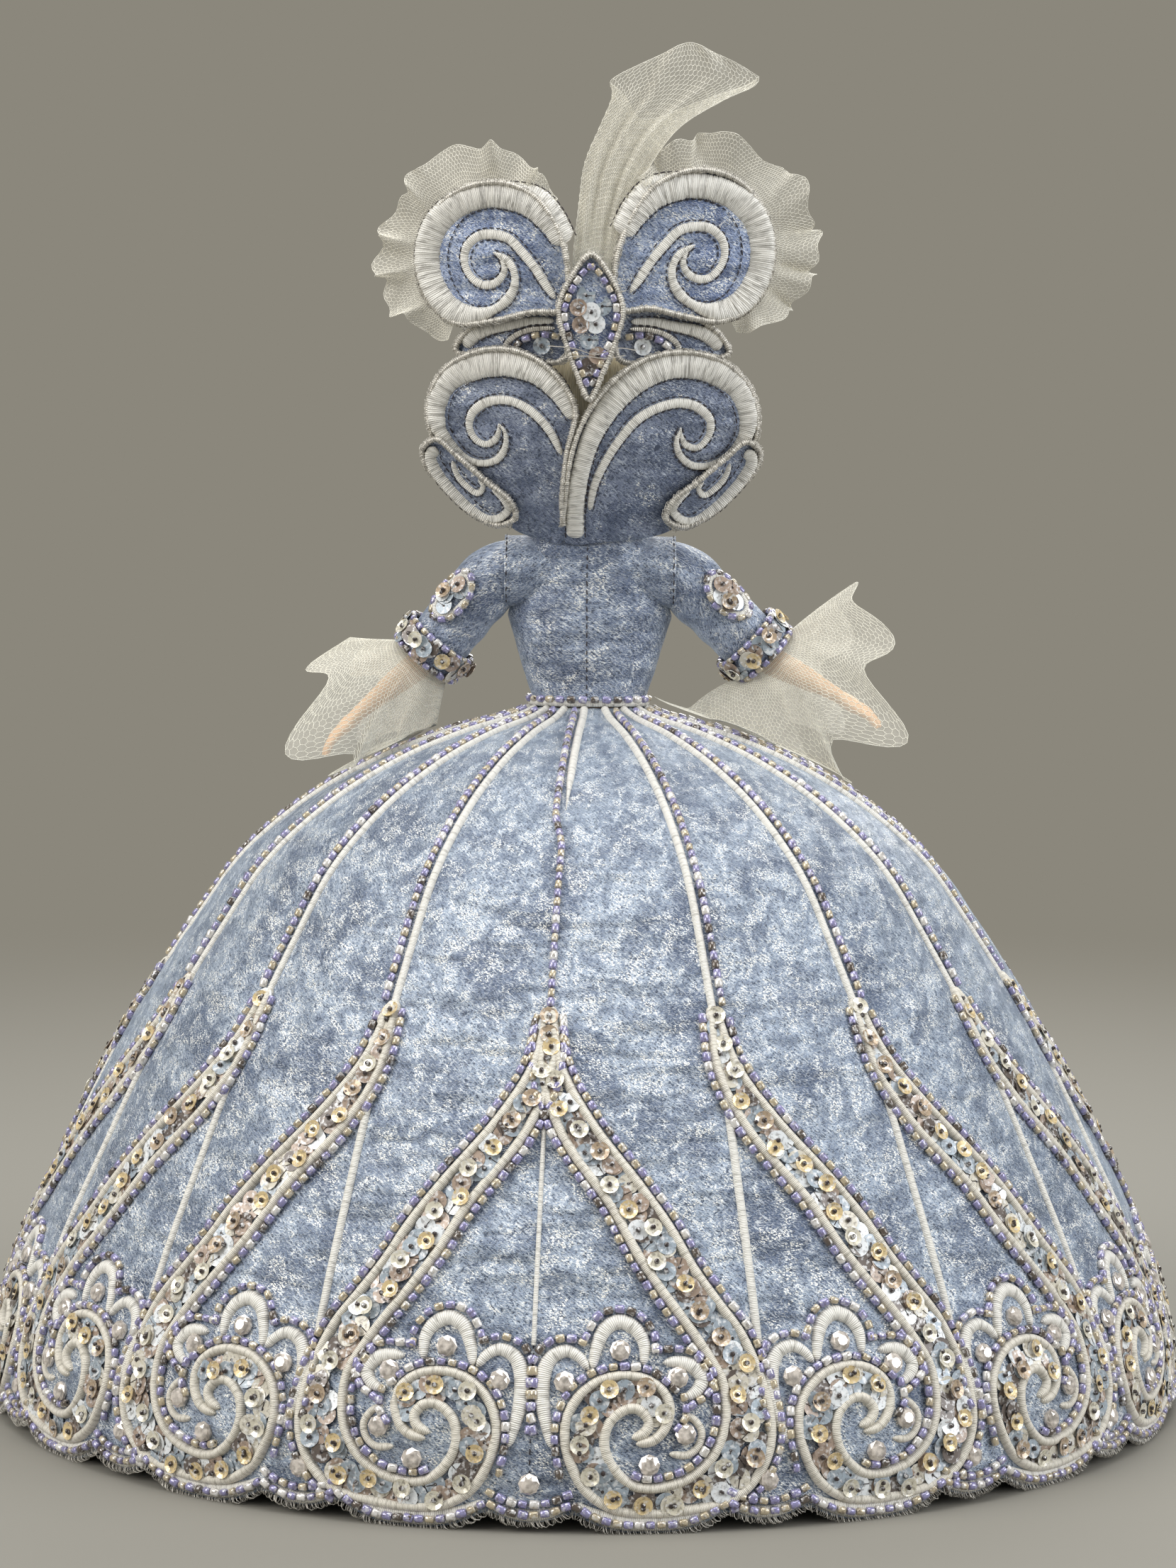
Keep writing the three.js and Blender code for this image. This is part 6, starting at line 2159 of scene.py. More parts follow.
BROW_SILVER = [(-24.2, 49.6, 0.7), (-23, 52.4, 0.8), (-20, 54.6, 0.8), (-15.5, 55.9, 0.8), (-10.2, 56, 0.6)]
BROW_BEADS = [(-21.6, 49.4), (-20.2, 51.8), (-17, 53.6), (-13, 54.2), (-10, 53.8)]
PANEL_LEFT_BORDER = [
    (-4.8, 31.5, 1.6), (-9.5, 39.5, 2.9), (-15, 44.1, 3.4), (-20.9, 46.1, 3.6), (-25.8, 46.6, 3.7),
    (-30.4, 46.2, 3.8),
    (-36.1, 44.3, 3.7), (-40.2, 40.4, 3.1), (-42.4, 35.1, 3.1), (-41.9, 29.4, 2.5), (-38.5, 24.5, 1.8),
    (-34, 20.8, 1.2), (-29.4, 19.7, 1.1), (-25.6, 20.9, 1.1), (-23.6, 24, 0.9), (-23.6, 27.6, 0.6),
    (-25.1, 30.1, 0.4),
]
PANEL_LEFT_SCROLL = [
    (-8.1, 21.8, 0.7), (-11.4, 28.3, 1.2), (-15.9, 33.2, 1.3), (-20.3, 35.8, 1.3), (-24.8, 36.7, 1.3),
    (-29.3, 35.8, 1.4), (-32.5, 33.2, 1.4), (-33.4, 29.7, 1.2), (-31.6, 26.2, 1.2), (-28.9, 24.9, 1.1),
    (-26.4, 26, 1), (-25.3, 28.4, 0.7), (-25.4, 30.3, 0.4),
]
PANEL_RIGHT_BORDER = [
    (-4.2, -0.8, 2.5), (-4.1, 9.5, 2.5), (-2.6, 18.3, 2.5), (-0.2, 26.2, 2.7), (3.7, 33.3, 3.1),
    (8.9, 39.5, 3.4),
    (15.1, 44, 3.6), (21.3, 46.3, 3.7), (27.6, 46.5, 3.7), (33.9, 44.9, 3.7), (39.5, 41.1, 3.4),
    (42.3, 35.9, 3.1),
    (42.9, 30.6, 2.7), (41.2, 26.2, 2.1), (37.2, 22.1, 1.3), (32.7, 19.8, 1.1), (27.7, 19.7, 1.1),
    (24.4, 22.2, 1),
    (23.3, 25.7, 0.8), (24.1, 28.8, 0.4),
]
PANEL_RIGHT_SCROLL = [
    (-0.3, 6.9, 0.8), (0.8, 13.1, 1.1), (3.4, 19.3, 1.2), (7.8, 26.3, 1.3), (12.6, 31.7, 1.4),
    (17.9, 34.8, 1.4),
    (24.2, 36.3, 1.4), (29.1, 35.1, 1.4), (32.4, 31.7, 1.3), (32, 27.7, 1.2), (28.9, 24.5, 1.1),
    (25.7, 25.3, 1),
    (24.3, 27.9, 0.7), (24.5, 29.7, 0.4),
]
LOBE_BORDER = [
    (-43.2, 24, 1.6), (-44.2, 21.2, 2.1), (-41.9, 16.6, 2.1), (-37.8, 11.7, 2), (-33.4, 7.6, 1.8),
    (-28.4, 4.6, 1.3),
    (-24.8, 5, 1.2), (-22.8, 7.2, 1.1), (-24.6, 10.2, 0.9), (-27.4, 12.4, 0.5),
]
LOBE_SCROLL = [
    (-38.4, 20.2, 0.7), (-37, 16.6, 1), (-34.4, 13.6, 1.1), (-31.2, 11.6, 1), (-29.8, 13.2, 0.7),
    (-31.2, 15, 0.4),
]
SPINDLE_SEQUINS = [
    (-1.8, 64.4), (-3.9, 61.2), (-0.4, 60), (2.6, 61.6), (-3.2, 56.6), (0.9, 56.8), (-0.9, 52.6), (1.4, 48.4),
    (-0.8, 45.4),
]
LOOSE_THREADS = [
    # distance from the middle, rise, height above the spindle
    [(-12, 51, 1.8), (-5, 50.2, 3.6), (1, 48.6, 3.9), (7, 50.4, 3.4), (12, 50, 1.8)],
    [(-9, 47.6, 1.6), (-3, 48.2, 3.8), (3.6, 47.6, 3.9), (9, 48.6, 1.8)],
]


def for_wing(side: Side, points: Line) -> Array:
    """Fit a strip of the left wing to either wing; the right one is larger.

    Args:
        side: Which wing.
        points: Distance from the middle, rise and half width.

    Returns:
        The same for that wing.
    """
    made = for_side(side, points)
    if side is Side.RIGHT:
        made[:, 0] = 28.5 + (made[:, 0] - 28.0) * 1.03
        made[:, 1] = 77.0 + (made[:, 1] - 74.6) * 1.04
    return made


@dataclass
class CollarNeedlework:
    """Satin strips, stitches, metal edging, beads and sequins on the collar."""

    looks: Looks
    shop: Haberdashery

    def build(self) -> None:
        """Make the needlework, panel by panel."""
        self.satin, self.silver = MeshBuffer(), MeshBuffer()
        self.stitch_paths: list[Array] = []
        self.edges: list[Array] = []
        self.bead_paths: list[Array] = []
        self._chance = np.random.default_rng(7)
        wing, brow, lobe = Collar(LAYER_PITCH), Collar(0.0), Collar(LOBE_LAYER)
        for side in Side:
            self._strip(wing, for_wing(side, WING_BORDER), 1.5)
            self._strip(wing, for_wing(side, WING_SCROLL), 1.0)
            self._strip(brow, for_side(side, BROW_BORDER), 1.0)
            self._strip(brow, for_side(side, BROW_SILVER), 0.6, self.silver)
            self.bead_paths.append(brow.place(spline(for_side(side, BROW_BEADS), 40), 2.0))
            self._strip(lobe, for_side(side, LOBE_BORDER), 1.0)
            self._strip(lobe, for_side(side, LOBE_SCROLL), 0.8)
            self._edge(wing, WING_EDGES[side])
            self._edge(brow, for_side(side, BROW_EDGE))
            self._edge(lobe, for_side(side, LOBE_EDGE))
        self._strip(wing, PANEL_LEFT_BORDER, 1.4)
        self._strip(wing, PANEL_LEFT_SCROLL, 1.0)
        self._strip(wing, PANEL_RIGHT_BORDER, 1.4)
        self._strip(wing, PANEL_RIGHT_SCROLL, 1.0)
        self._edge(wing, PANEL_LEFT_EDGE)
        self._edge(wing, PANEL_RIGHT_EDGE)
        self._spindle()
        self.satin.build("collar_satin", self.looks["satin_stitch"], "doll", "satin")
        self.silver.build("collar_silver", self.looks["silver_thread"], "doll", "satin")
        self.shop.stitches("collar_stitches", self.stitch_paths, "doll", 1.9)
        self.shop.edging("collar_edging", self.edges, "doll", 0.56)
        self.shop.beads("collar_beads", self.bead_paths, "doll")

    def _strip(self, surface: Surface, points: Line, height: float, into: MeshBuffer | None = None) -> None:
        """Work a padded strip with threads across it and stitches along it.

        Args:
            surface: The panel's surface.
            points: Distance from the middle, rise and half width.
            height: The padding's height.
            into: Where its mesh goes, or None for satin.
        """
        thread_step = 0.26
        count = int(float(lengths(spline(points, 60)[:, :2])[-1]) / thread_step)
        path = spline(points, count)
        line, half = path[:, :2], path[:, 2]
        ragged = 1 + 0.035 * self._chance.standard_normal(count)
        ridge = 1 + 0.07 * self._chance.standard_normal(count) + 0.05 * np.where(np.arange(count) % 2, 1, -1)
        tall = height * ridge * np.clip(half / 2.2, 0.5, 1)
        strip(into or self.satin, surface, line, half * ragged, tall, 1.4, taper=2.0)
        for sign in (-1.0, 1.0):
            row = beside(line, sign * (path[:, 2:] + 0.25))
            self.stitch_paths.append(surface.place(row[3:-3], 1.75))

    def _edge(self, surface: Surface, edge: Line) -> None:
        """Overcast a panel's edge, two rows deep, except at the neckline.

        Args:
            surface: The panel's surface.
            edge: Its outline.
        """
        rim = spline(edge, 260, closed=True)
        low = rim[:-1, 1] < RIM_FOOT
        if low.any():
            first = int(np.flatnonzero(low & ~np.roll(low, -1))[0])
            rim = np.roll(rim[:-1], -first - 1, axis=0)
            rim = rim[rim[:, 1] >= RIM_FOOT]
        self.edges.append(surface.place(rim, 2.0))
        turning = float(np.sum(rim[:-1, 0] * rim[1:, 1] - rim[1:, 0] * rim[:-1, 1]))
        ragged = 1 + 0.09 * self._chance.standard_normal(len(rim))
        inner = beside(rim, math.copysign(0.1, turning))
        strip(self.silver, surface, inner, 0.8 * ragged, 1.9 * ragged, 1.3)

    def _spindle(self) -> None:
        """Bead the spindle in the middle, and let loose metal threads cross below it."""
        surface = Collar(SPINDLE_LAYER)
        middle = np.array([-0.5, 57.0])
        self._edge(surface, SPINDLE_EDGE)
        edge = spline(SPINDLE_EDGE, 120, closed=True)
        self.bead_paths.append(surface.place(middle + (edge - middle) * 0.82, 2.1))
        shapes = (self.shop.flat_sequin, self.shop.cup_sequin, self.shop.beaded_sequin)
        for i, spot in enumerate(SPINDLE_SEQUINS):
            self._sequin(surface, spot, shapes[i % 3], i)
        for side in Side:
            self._sequin(Collar(0.0), (13.8 * side.sign, 51.2), self.shop.cup_sequin, 20 + side.sign)
        half = 0.14
        for line in LOOSE_THREADS:
            path = spline(line, 60)
            points = surface.place(path[:, :2], path[:, 2])
            turns = 9 * np.linspace(-half, half, 4)
            ring = [points + half * np.array([0, math.cos(a), math.sin(a)]) for a in turns]
            self.silver.grid(np.stack(ring, axis=1), flip=True)

    def _sequin(self, surface: Surface, spot: Point, shape: Object, number: int) -> None:
        """Sew on one sequin.

        Args:
            surface: The panel's surface.
            spot: Its place.
            shape: Its shape.
            number: Its number, which picks its colour.
        """
        place = np.array([spot], float)
        base = surface.place(place, 1.7 + 0.25 * (number % 3))[0]
        data = shape.data.copy()
        points = set_on(data, base, outward(surface, place)[0])
        data.vertices.foreach_set("co", (points * MM).astype(np.float32).ravel())
        set_values(data, "tint", np.full(len(points), (number * 0.37) % 1.0))
        data.update()
        piece(f"collar_sequin_{number}", data, self.looks["sequin"], "doll")


@dataclass
class SleeveNeedlework:
    """Beaded cuff and oval of one sleeve."""

    sleeve: Sleeve
    looks: Looks
    shop: Haberdashery

    def build(self) -> None:
        """Make the cuff and the oval."""
        name, body, tube = self.sleeve.side.value, self.sleeve.body, self.sleeve.tube
        start = tube.length - CUFF_WIDTH
        along = np.array([0.0, 0.6, 2, 4, 6, 7.4, 8.0, 8.0]) + start
        lift = np.array([0.75, 1.3, 1.8, 2.0, 1.8, 1.4, 1.0, 0.5])
        spots = pairs(along, np.linspace(0, 360, 73))
        points = tube.place(spots, np.broadcast_to(lift[:, None], spots.shape[:2]))
        band = MeshBuffer()
        band.grid(points, np.stack([spots[..., 0], spots[..., 1] * 0.16], axis=-1), flip=True)
        cuff = band.build(f"cuff_band_cloth_{name}", self.looks["brocade_panel"], body, "brocade")
        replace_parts(cuff, f"cuff_band_{name}")
        ground = MeshBuffer()
        ground.grid(tube.place(spots[2:5], 1.9), flip=True)
        self.shop.sequins(f"cuff_sequins_{name}", ground, body)
        rims = [tube.place(row, 1.9) for row in pairs(start + np.array([0.4, 7.6]), np.linspace(0, 360, 60))]
        self.shop.beads(f"cuff_beads_{name}", rims, body, 2.5)
        self._oval(name, body)

    def _oval(self, name: str, body: str) -> None:
        """Make the beaded oval on the sleeve's back.

        Args:
            name: The side's name.
            body: The CAD body that it rides on.
        """
        upper, lower = self.sleeve.route[4:6]
        out = np.array([self.sleeve.side.sign * 0.42, -0.85, 0.32])
        patch = Patch(upper + (lower - upper) * 0.6, lower - upper, out, SLEEVE_RADIUS + 0.6)
        turn = np.linspace(0, 2 * np.pi, 49)
        share = np.linspace(1.0, 0.0, 7)
        flat = np.stack([np.outer(share, np.sin(turn)) * 4.4, np.outer(share, np.cos(turn)) * 7.4], axis=-1)
        height = 0.15 + 0.6 * np.sqrt(np.clip(1 - share**2, 0, 1))
        points = patch.place(flat, np.broadcast_to(height[:, None], flat.shape[:2]))
        oval = MeshBuffer()
        oval.grid(points, flat, flip=True)
        cloth = oval.build(f"sleeve_oval_{name}", self.looks["brocade_panel"], body, "brocade")
        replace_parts(cloth, f"sleeve_medallion_{name}")
        ring = np.stack([4.0 * np.sin(turn), 6.9 * np.cos(turn)], axis=1)
        satin = MeshBuffer()
        strip(satin, patch, spline(ring[:-1], 130, closed=True), 1.05, 0.9, 0.3)
        satin.build(f"sleeve_oval_satin_{name}", self.looks["satin_stitch"], body, "satin")
        ground = MeshBuffer()
        ground.grid(points[3:], flip=True)
        self.shop.sequins(f"sleeve_oval_sequins_{name}", ground, body, 2.3)
        self.shop.beads(f"sleeve_oval_beads_{name}", [patch.place(ring * 1.14, 0.7)], body, 2.6)


def cord(line: Array, across: Array, up: Array, radius: float, corners: int) -> Array:
    """Rings of a round cord.

    Args:
        line: Its middle line.
        across: Directions square to the line.
        up: Directions square to both.
        radius: Its radius.
        corners: Points round it; the last one repeats the first.

    Returns:
        Points in millimetres, by ring.
    """
    turn = np.linspace(0, 2 * np.pi, corners)
    offsets = np.cos(turn)[None, :, None] * across[:, None] + np.sin(turn)[None, :, None] * up[:, None]
    return line[:, None] + radius * offsets


@dataclass
class BodiceNeedlework:
    """Seams, neck binding and the cord round the waist."""

    looks: Looks
    shop: Haberdashery

    def build(self) -> None:
        """Make the trims."""
        turn = np.linspace(-np.pi, np.pi, 121)
        rx, ry, z = 13.2 + 2.15 + 0.9, 9.5 + 2.15 + 0.9, 191.2
        across = np.stack([np.sin(turn), -np.cos(turn), 0 * turn], axis=1)
        line = across * (rx, ry, 0) + (0, 0, z)
        up = np.broadcast_to([0.0, 0.0, 1.0], line.shape)
        piping = MeshBuffer()
        piping.grid(cord(line, across, up, 0.9, 13), pairs(turn * 15, np.linspace(0, 2 * np.pi, 13)))
        waist = piping.build("waist_piping", self.looks["piping"], "doll", "satin")
        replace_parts(waist, "waist_cord")
        self.shop.beads("waist_beads", [line + 0.8 * across + (0, 0, 1.2)], "doll", 3.2)
        back = np.linspace(193.5, 236.5, 40)
        paths = [trunk_ring(back, np.full_like(back, -0.04), 1.62)]
        angle = np.linspace(0, 2 * np.pi, 60)
        for sign in (-1, 1):
            x = np.full_like(angle, sign * 23.4)
            paths.append(np.stack([x, 10.2 * np.sin(angle), SHOULDER_HEIGHT + 10.2 * np.cos(angle)], axis=1))
        self.shop.stitches("bodice_stitches", paths, "doll", 2.3)
        self._binding()

    def _binding(self) -> None:
        """Bind the neckline, behind and round the scoop in front."""
        buffer = MeshBuffer()
        section = np.linspace(0, 2 * np.pi, 9)
        turn = np.linspace(-0.62 * np.pi, 0.62 * np.pi, 90)
        line = trunk_ring(np.full_like(turn, NECKLINE_HEIGHT), turn, 0.9)
        up = np.broadcast_to([0.0, 0.0, 1.0], line.shape)
        side = unit(np.cross(up, unit(np.gradient(line, axis=0))))
        buffer.grid(cord(line, side, up, 0.75, 9), pairs(turn * 14, section), flip=True)
        angle = np.linspace(-0.5 * np.pi, 0.5 * np.pi, 50)
        x, z = SCOOP_RADIUS * np.sin(angle), NECKLINE_HEIGHT + 1 - SCOOP_RADIUS * np.cos(angle)
        half_width, half_depth, shift = read_table(TRUNK_SECTIONS, z)
        y = shift + (half_depth + 0.9) * np.sqrt(np.clip(1 - (x / (half_width + 0.9)) ** 2, 0, 1))
        line = np.stack([x, y, z], axis=1)
        tangent = unit(np.gradient(line, axis=0))
        side = unit(np.cross(tangent, np.array([0.0, 1.0, 0.0])))
        buffer.grid(cord(line, side, np.cross(side, tangent), 0.75, 9), pairs(angle * 10, section))
        buffer.build("neck_binding", self.looks["piping"], "doll", "satin")


CHIN_HEIGHT = 250.6
HEAD_SECTIONS = [
    # rise above the chin, half width, half depth, forward shift
    (0, 6.4, 7, 2.4), (2, 9, 10.6, 3.6), (5, 11.4, 13.6, 3.4), (10, 13.2, 15.4, 2.2), (15, 14.4, 16.6, 1.2),
    (21, 15.2, 17.2, 0.6), (27, 15.4, 17.4, 0.2), (33, 14.2, 16.4, -0.2), (37, 11.6, 13.6, -0.4),
    (40, 6.6, 8, -0.5),
    (41, 0.4, 0.5, -0.5),
]
HAIR_SECTIONS = [
    (0, 7.6, 8.2, 1.8), (2, 10.4, 12, 2.4), (5, 12.8, 15, 2.4), (10, 15, 17.2, 1.6), (15, 16.4, 18.6, 0.8),
    (21, 17.3, 19.3, 0.2), (27, 17.5, 19.5, -0.2), (33, 16.4, 18.6, -0.6), (37, 13.9, 15.9, -0.8),
    (40, 10, 11.4, -0.9), (42.2, 5.4, 6.2, -1), (43.2, 0.5, 0.6, -1),
]
HAIRLINE = [(0, 31.6), (35, 31), (55, 27.5), (72, 20), (88, 13), (104, 8.2), (125, 5), (180, 3.4)]
# what stands forward on the face, on both of its halves
FEATURES = [
    # height, then distance from the middle and rise of its centre, then its half width and half height
    (0.6, (1.7, 11.6), (0.9, 0.9)), (-1.0, (5.9, 19.0), (3.6, 2.2)), (0.35, (5.5, 23.2), (4.5, 1.4)),
    (0.95, (0.0, 8.2), (2.9, 0.8)), (1.0, (0.0, 6.5), (2.5, 0.9)), (-0.35, (0.0, 7.4), (3.2, 0.3)),
    (-0.4, (0.0, 4.7), (2.6, 0.7)), (0.9, (0.0, 2.4), (3.4, 1.8)), (0.6, (7.6, 12.6), (3.2, 3.2)),
]


class Face:
    """The head's front: sideways distance, positive towards the doll's left hand, and rise above the chin."""

    def __init__(self, sections: Sequence[Point]) -> None:
        """Smooth sections of rise, half width, half depth and forward shift."""
        self._table = spline(np.array(sections, float), 200)

    def ring(self, rise: Array, turn: Array, lift: Lift = 0.0) -> Array:
        """Points of the whole head, without features.

        Args:
            rise: Rise above the chin.
            turn: Turn from the front, in radians.
            lift: Height above the head.

        Returns:
            Points in millimetres.
        """
        half_width, half_depth, shift = read_table(self._table, rise)
        x = (half_width + lift) * np.sin(turn)
        y = shift + (half_depth + lift) * np.cos(turn)
        return np.stack([x, y, CHIN_HEIGHT + rise + 0 * x], axis=-1)

    @staticmethod
    def relief(x: Array, rise: Array) -> Array:
        """How far the features stand forward.

        Args:
            x: Distance from the middle.
            rise: Rise above the chin.

        Returns:
            The height in millimetres.
        """
        nose = smoothstep(rise, 10.2, 12.0) * (1 - smoothstep(rise, 12.4, 21.5))
        height = 2.5 * nose * np.exp(-((x / (1.3 + 0.09 * (21 - np.clip(rise, 10, 21)))) ** 2))
        for most, (aside, up), (wide, tall) in FEATURES:
            height = height + most * np.exp(-(((np.abs(x) - aside) / wide) ** 2) - ((rise - up) / tall) ** 2)
        return height

    def place(self, spots: Array, lift: Lift = 0.0) -> Array:
        """Points of the face.

        Args:
            spots: Sideways distance and rise.
            lift: Height above the face.

        Returns:
            Points in millimetres.
        """
        spots = np.asarray(spots, float)
        side, rise = spots[..., 0], spots[..., 1]
        half_width = read_table(self._table, rise)[0]
        points = self.ring(rise, -np.arcsin(np.clip(side / half_width, -0.98, 0.98)))
        points[..., 1] += self.relief(side, rise) + lift
        return points


@dataclass
class Head:
    """The vinyl head with its painted face and its hair."""

    looks: Looks

    def build(self) -> None:
        """Make the head, the paint and the hair."""
        self.face = Face(HEAD_SECTIONS)
        self._skin()
        for side in Side:
            self._eye(side)
        self._lips()
        self._hair()

    def _skin(self) -> None:
        """Make the head and the ears."""
        rise = np.concatenate([np.linspace(0, 26, 84), np.linspace(26.6, 41, 24)])
        rises, turns = np.meshgrid(rise, np.linspace(-np.pi, np.pi, 161), indexing="ij")
        points = self.face.ring(rises, turns)
        front = np.clip(np.cos(turns), 0, 1) ** 0.5
        points[..., 1] += self.face.relief(points[..., 0], rises) * front
        skin = MeshBuffer()
        skin.grid(points, flip=True)
        skin.fan(points[0, :-1])
        for side in Side:
            ear = [(14.6, -1.6, 13), (16.2, -2.6, 16), (16.4, -3, 19), (15.2, -2.2, 21)]
            route = [(side.sign * x, y, CHIN_HEIGHT + z) for x, y, z in ear]
            limb(skin, route, [(0.7, 1.2), (1.0, 1.9), (1.1, 2.2), (0.5, 1)], (1, 0, 0))
        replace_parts(skin.build("head_skin", self.looks["vinyl"], "head", "vinyl"), "head")

    def _patch(self, name: str, look: str, middle: Point, reach: Point, lift: float, bulge: float) -> None:
        """Paint or set a rounded patch on the face.

        Args:
            name: The piece's name.
            look: Its finish's name.
            middle: Its middle.
            reach: Half its width, its height above and its height below the middle.
            lift: How far its edge stands off.
            bulge: How far its middle stands out more.
        """
        share = np.array([1.0, 0.9, 0.7, 0.45, 0.2])[:, None]
        turn = np.linspace(0, 2 * np.pi, 41)[:-1]
        tall = np.where(np.sin(turn) > 0, reach[1], reach[2])
        edge = np.stack([reach[0] * np.cos(turn), tall * np.sin(turn)], axis=-1)
        points = self.face.place(np.array(middle) + share[..., None] * edge, lift + bulge * (1 - share**2))
        buffer = MeshBuffer()
        buffer.grid(points, wrap=True)
        buffer.fan(points[-1])
        buffer.build(name, self.looks[look], "head", "vinyl")

    def _eye(self, side: Side) -> None:
        """Make one eye with lashes and brow.

        Args:
            side: Which eye.
        """
        s, name = side.sign, side.value
        self._patch(f"eye_{name}", "eye_white", (s * 5.9, 18.9), (2.9, 1.5, 1.15), 0.06, 0.5)
        self._patch(f"iris_{name}", "iris_paint", (s * 5.8, 19.05), (1.25, 1.25, 1.2), 0.42, 0.2)
        self._patch(f"pupil_{name}", "dark_thread", (s * 5.8, 19.05), (0.62, 0.62, 0.62), 0.62, 0.06)
        self._patch(f"glint_{name}", "eye_white", (s * 5.35, 19.5), (0.26, 0.26, 0.26), 0.72, 0.04)
        lash = MeshBuffer()
        lid = [(s * 2.7, 18.7), (s * 4.0, 20.0), (s * 5.9, 20.55), (s * 7.8, 20.0), (s * 9.5, 18.9)]
        strip(lash, self.face, spline(lid, 30), 0.26, 0.3, 0.1, SLIM, taper=1.2)
        lower = [(s * 3.4, 18.2), (s * 5.9, 17.65), (s * 8.4, 18.3)]
        strip(lash, self.face, spline(lower, 20), 0.1, 0.12, 0.08, SLIM, taper=1.0)
        lash.build(f"lashes_{name}", self.looks["dark_thread"], "head", "vinyl")
        brow = MeshBuffer()
        arch = [(s * 2.9, 22.9), (s * 5.4, 24.2), (s * 7.8, 24.2), (s * 10.3, 22.6)]
        strip(brow, self.face, spline(arch, 30), 0.34, 0.12, 0.08, SLIM, taper=2.4)
        brow.build(f"brow_{name}", self.looks["brow_paint"], "head", "vinyl")

    def _lips(self) -> None:
        """Paint the lips."""
        paint = MeshBuffer()
        upper = [(-3.3, 7.4), (-1.7, 8.0), (-0.6, 8.3), (0, 8.1), (0.6, 8.3), (1.7, 8.0), (3.3, 7.4)]
        strip(paint, self.face, spline(upper, 40), 0.55, 0.2, 0.05, SLIM, taper=1.6)
        lower = [(-2.9, 7.0), (-1.4, 6.4), (0, 6.2), (1.4, 6.4), (2.9, 7.0)]
        strip(paint, self.face, spline(lower, 40), 0.62, 0.24, 0.05, SLIM, taper=1.8)
        paint.build("lips", self.looks["lip_paint"], "head", "vinyl")

    def _hair(self) -> None:
        """Make the swept-up hair and its knot."""
        shares, turns = np.meshgrid(np.linspace(0, 1, 44), np.linspace(-np.pi, np.pi, 289), indexing="ij")
        (low,) = read_table(HAIRLINE, np.degrees(np.abs(turns)))
        rises = low + (HAIR_SECTIONS[-1][0] - low) * shares**0.9
        strand = np.sin(58 * turns + 2.2 * np.sin(5 * turns) + 1.6 * np.sin(3 * shares))
        lock = np.sin(15 * turns + 1.2 * np.sin(3 * turns + 2 * shares))
        lift = (0.16 * strand + 0.45 * lock - 0.5) * (1 - shares**3)
        lift = lift - 2.3 * (1 - smoothstep(shares, 0.0, 0.1))
        hair = MeshBuffer()
        points = Face(HAIR_SECTIONS).ring(rises, turns, lift)
        hair.grid(points, np.stack([turns * 16, shares * 40], axis=-1), flip=True)
        over, around = np.linspace(-0.42 * np.pi, 0.5 * np.pi, 40), np.linspace(-np.pi, np.pi, 145)
        overs, arounds = np.meshgrid(over, around, indexing="ij")
        swell = 1 + 0.05 * np.sin(14 * overs + arounds) + 0.012 * np.sin(44 * overs + 6 * arounds)
        x = 9.3 * swell * np.cos(overs) * np.sin(arounds)
        y = -2 + 8.8 * swell * np.cos(overs) * np.cos(arounds)
        z = CHIN_HEIGHT + 45.4 + 6.3 * swell * np.sin(overs)
        hair.grid(np.stack([x, y, z], axis=-1), np.stack([overs * 12, arounds * 9], axis=-1), flip=True)
        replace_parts(hair.build("hair_strands", self.looks["hair"], "head", "hair"), "hair")


def limb(buffer: MeshBuffer, route: Line, sizes: Sequence[Point], wide: Line, steps: int = 5) -> None:
    """A rounded limb along a line, closed at both ends.

    Args:
        buffer: The mesh to add to.
        route: Its middle line.
        sizes: Half width and half thickness at each point.
        wide: About the direction of its width.
        steps: Rings between two points.
    """
    knots, wide = np.asarray(route, float), np.asarray(wide, float)
    path = spline(np.hstack([knots, np.asarray(sizes, float)]), steps * (len(knots) - 1) + 1)
    line, half = path[:, :3], np.maximum(path[:, 3:], 0.15)
    tangent = unit(np.gradient(line, axis=0))
    across = unit(wide - tangent * (tangent @ wide)[:, None])
    up = np.cross(tangent, across)
    turn = circle(24)[None, :, None]
    sideways = half[:, None, :1] * np.cos(turn) * across[:, None]
    rings = line[:, None] + sideways + half[:, None, 1:] * np.sin(turn) * up[:, None]
    buffer.grid(rings, wrap=True)
    buffer.fan(rings[0], line[0] - tangent[0] * 0.35 * half[0].min(), flip=True)
    buffer.fan(rings[-1], line[-1] + tangent[-1] * 0.55 * half[-1].min())


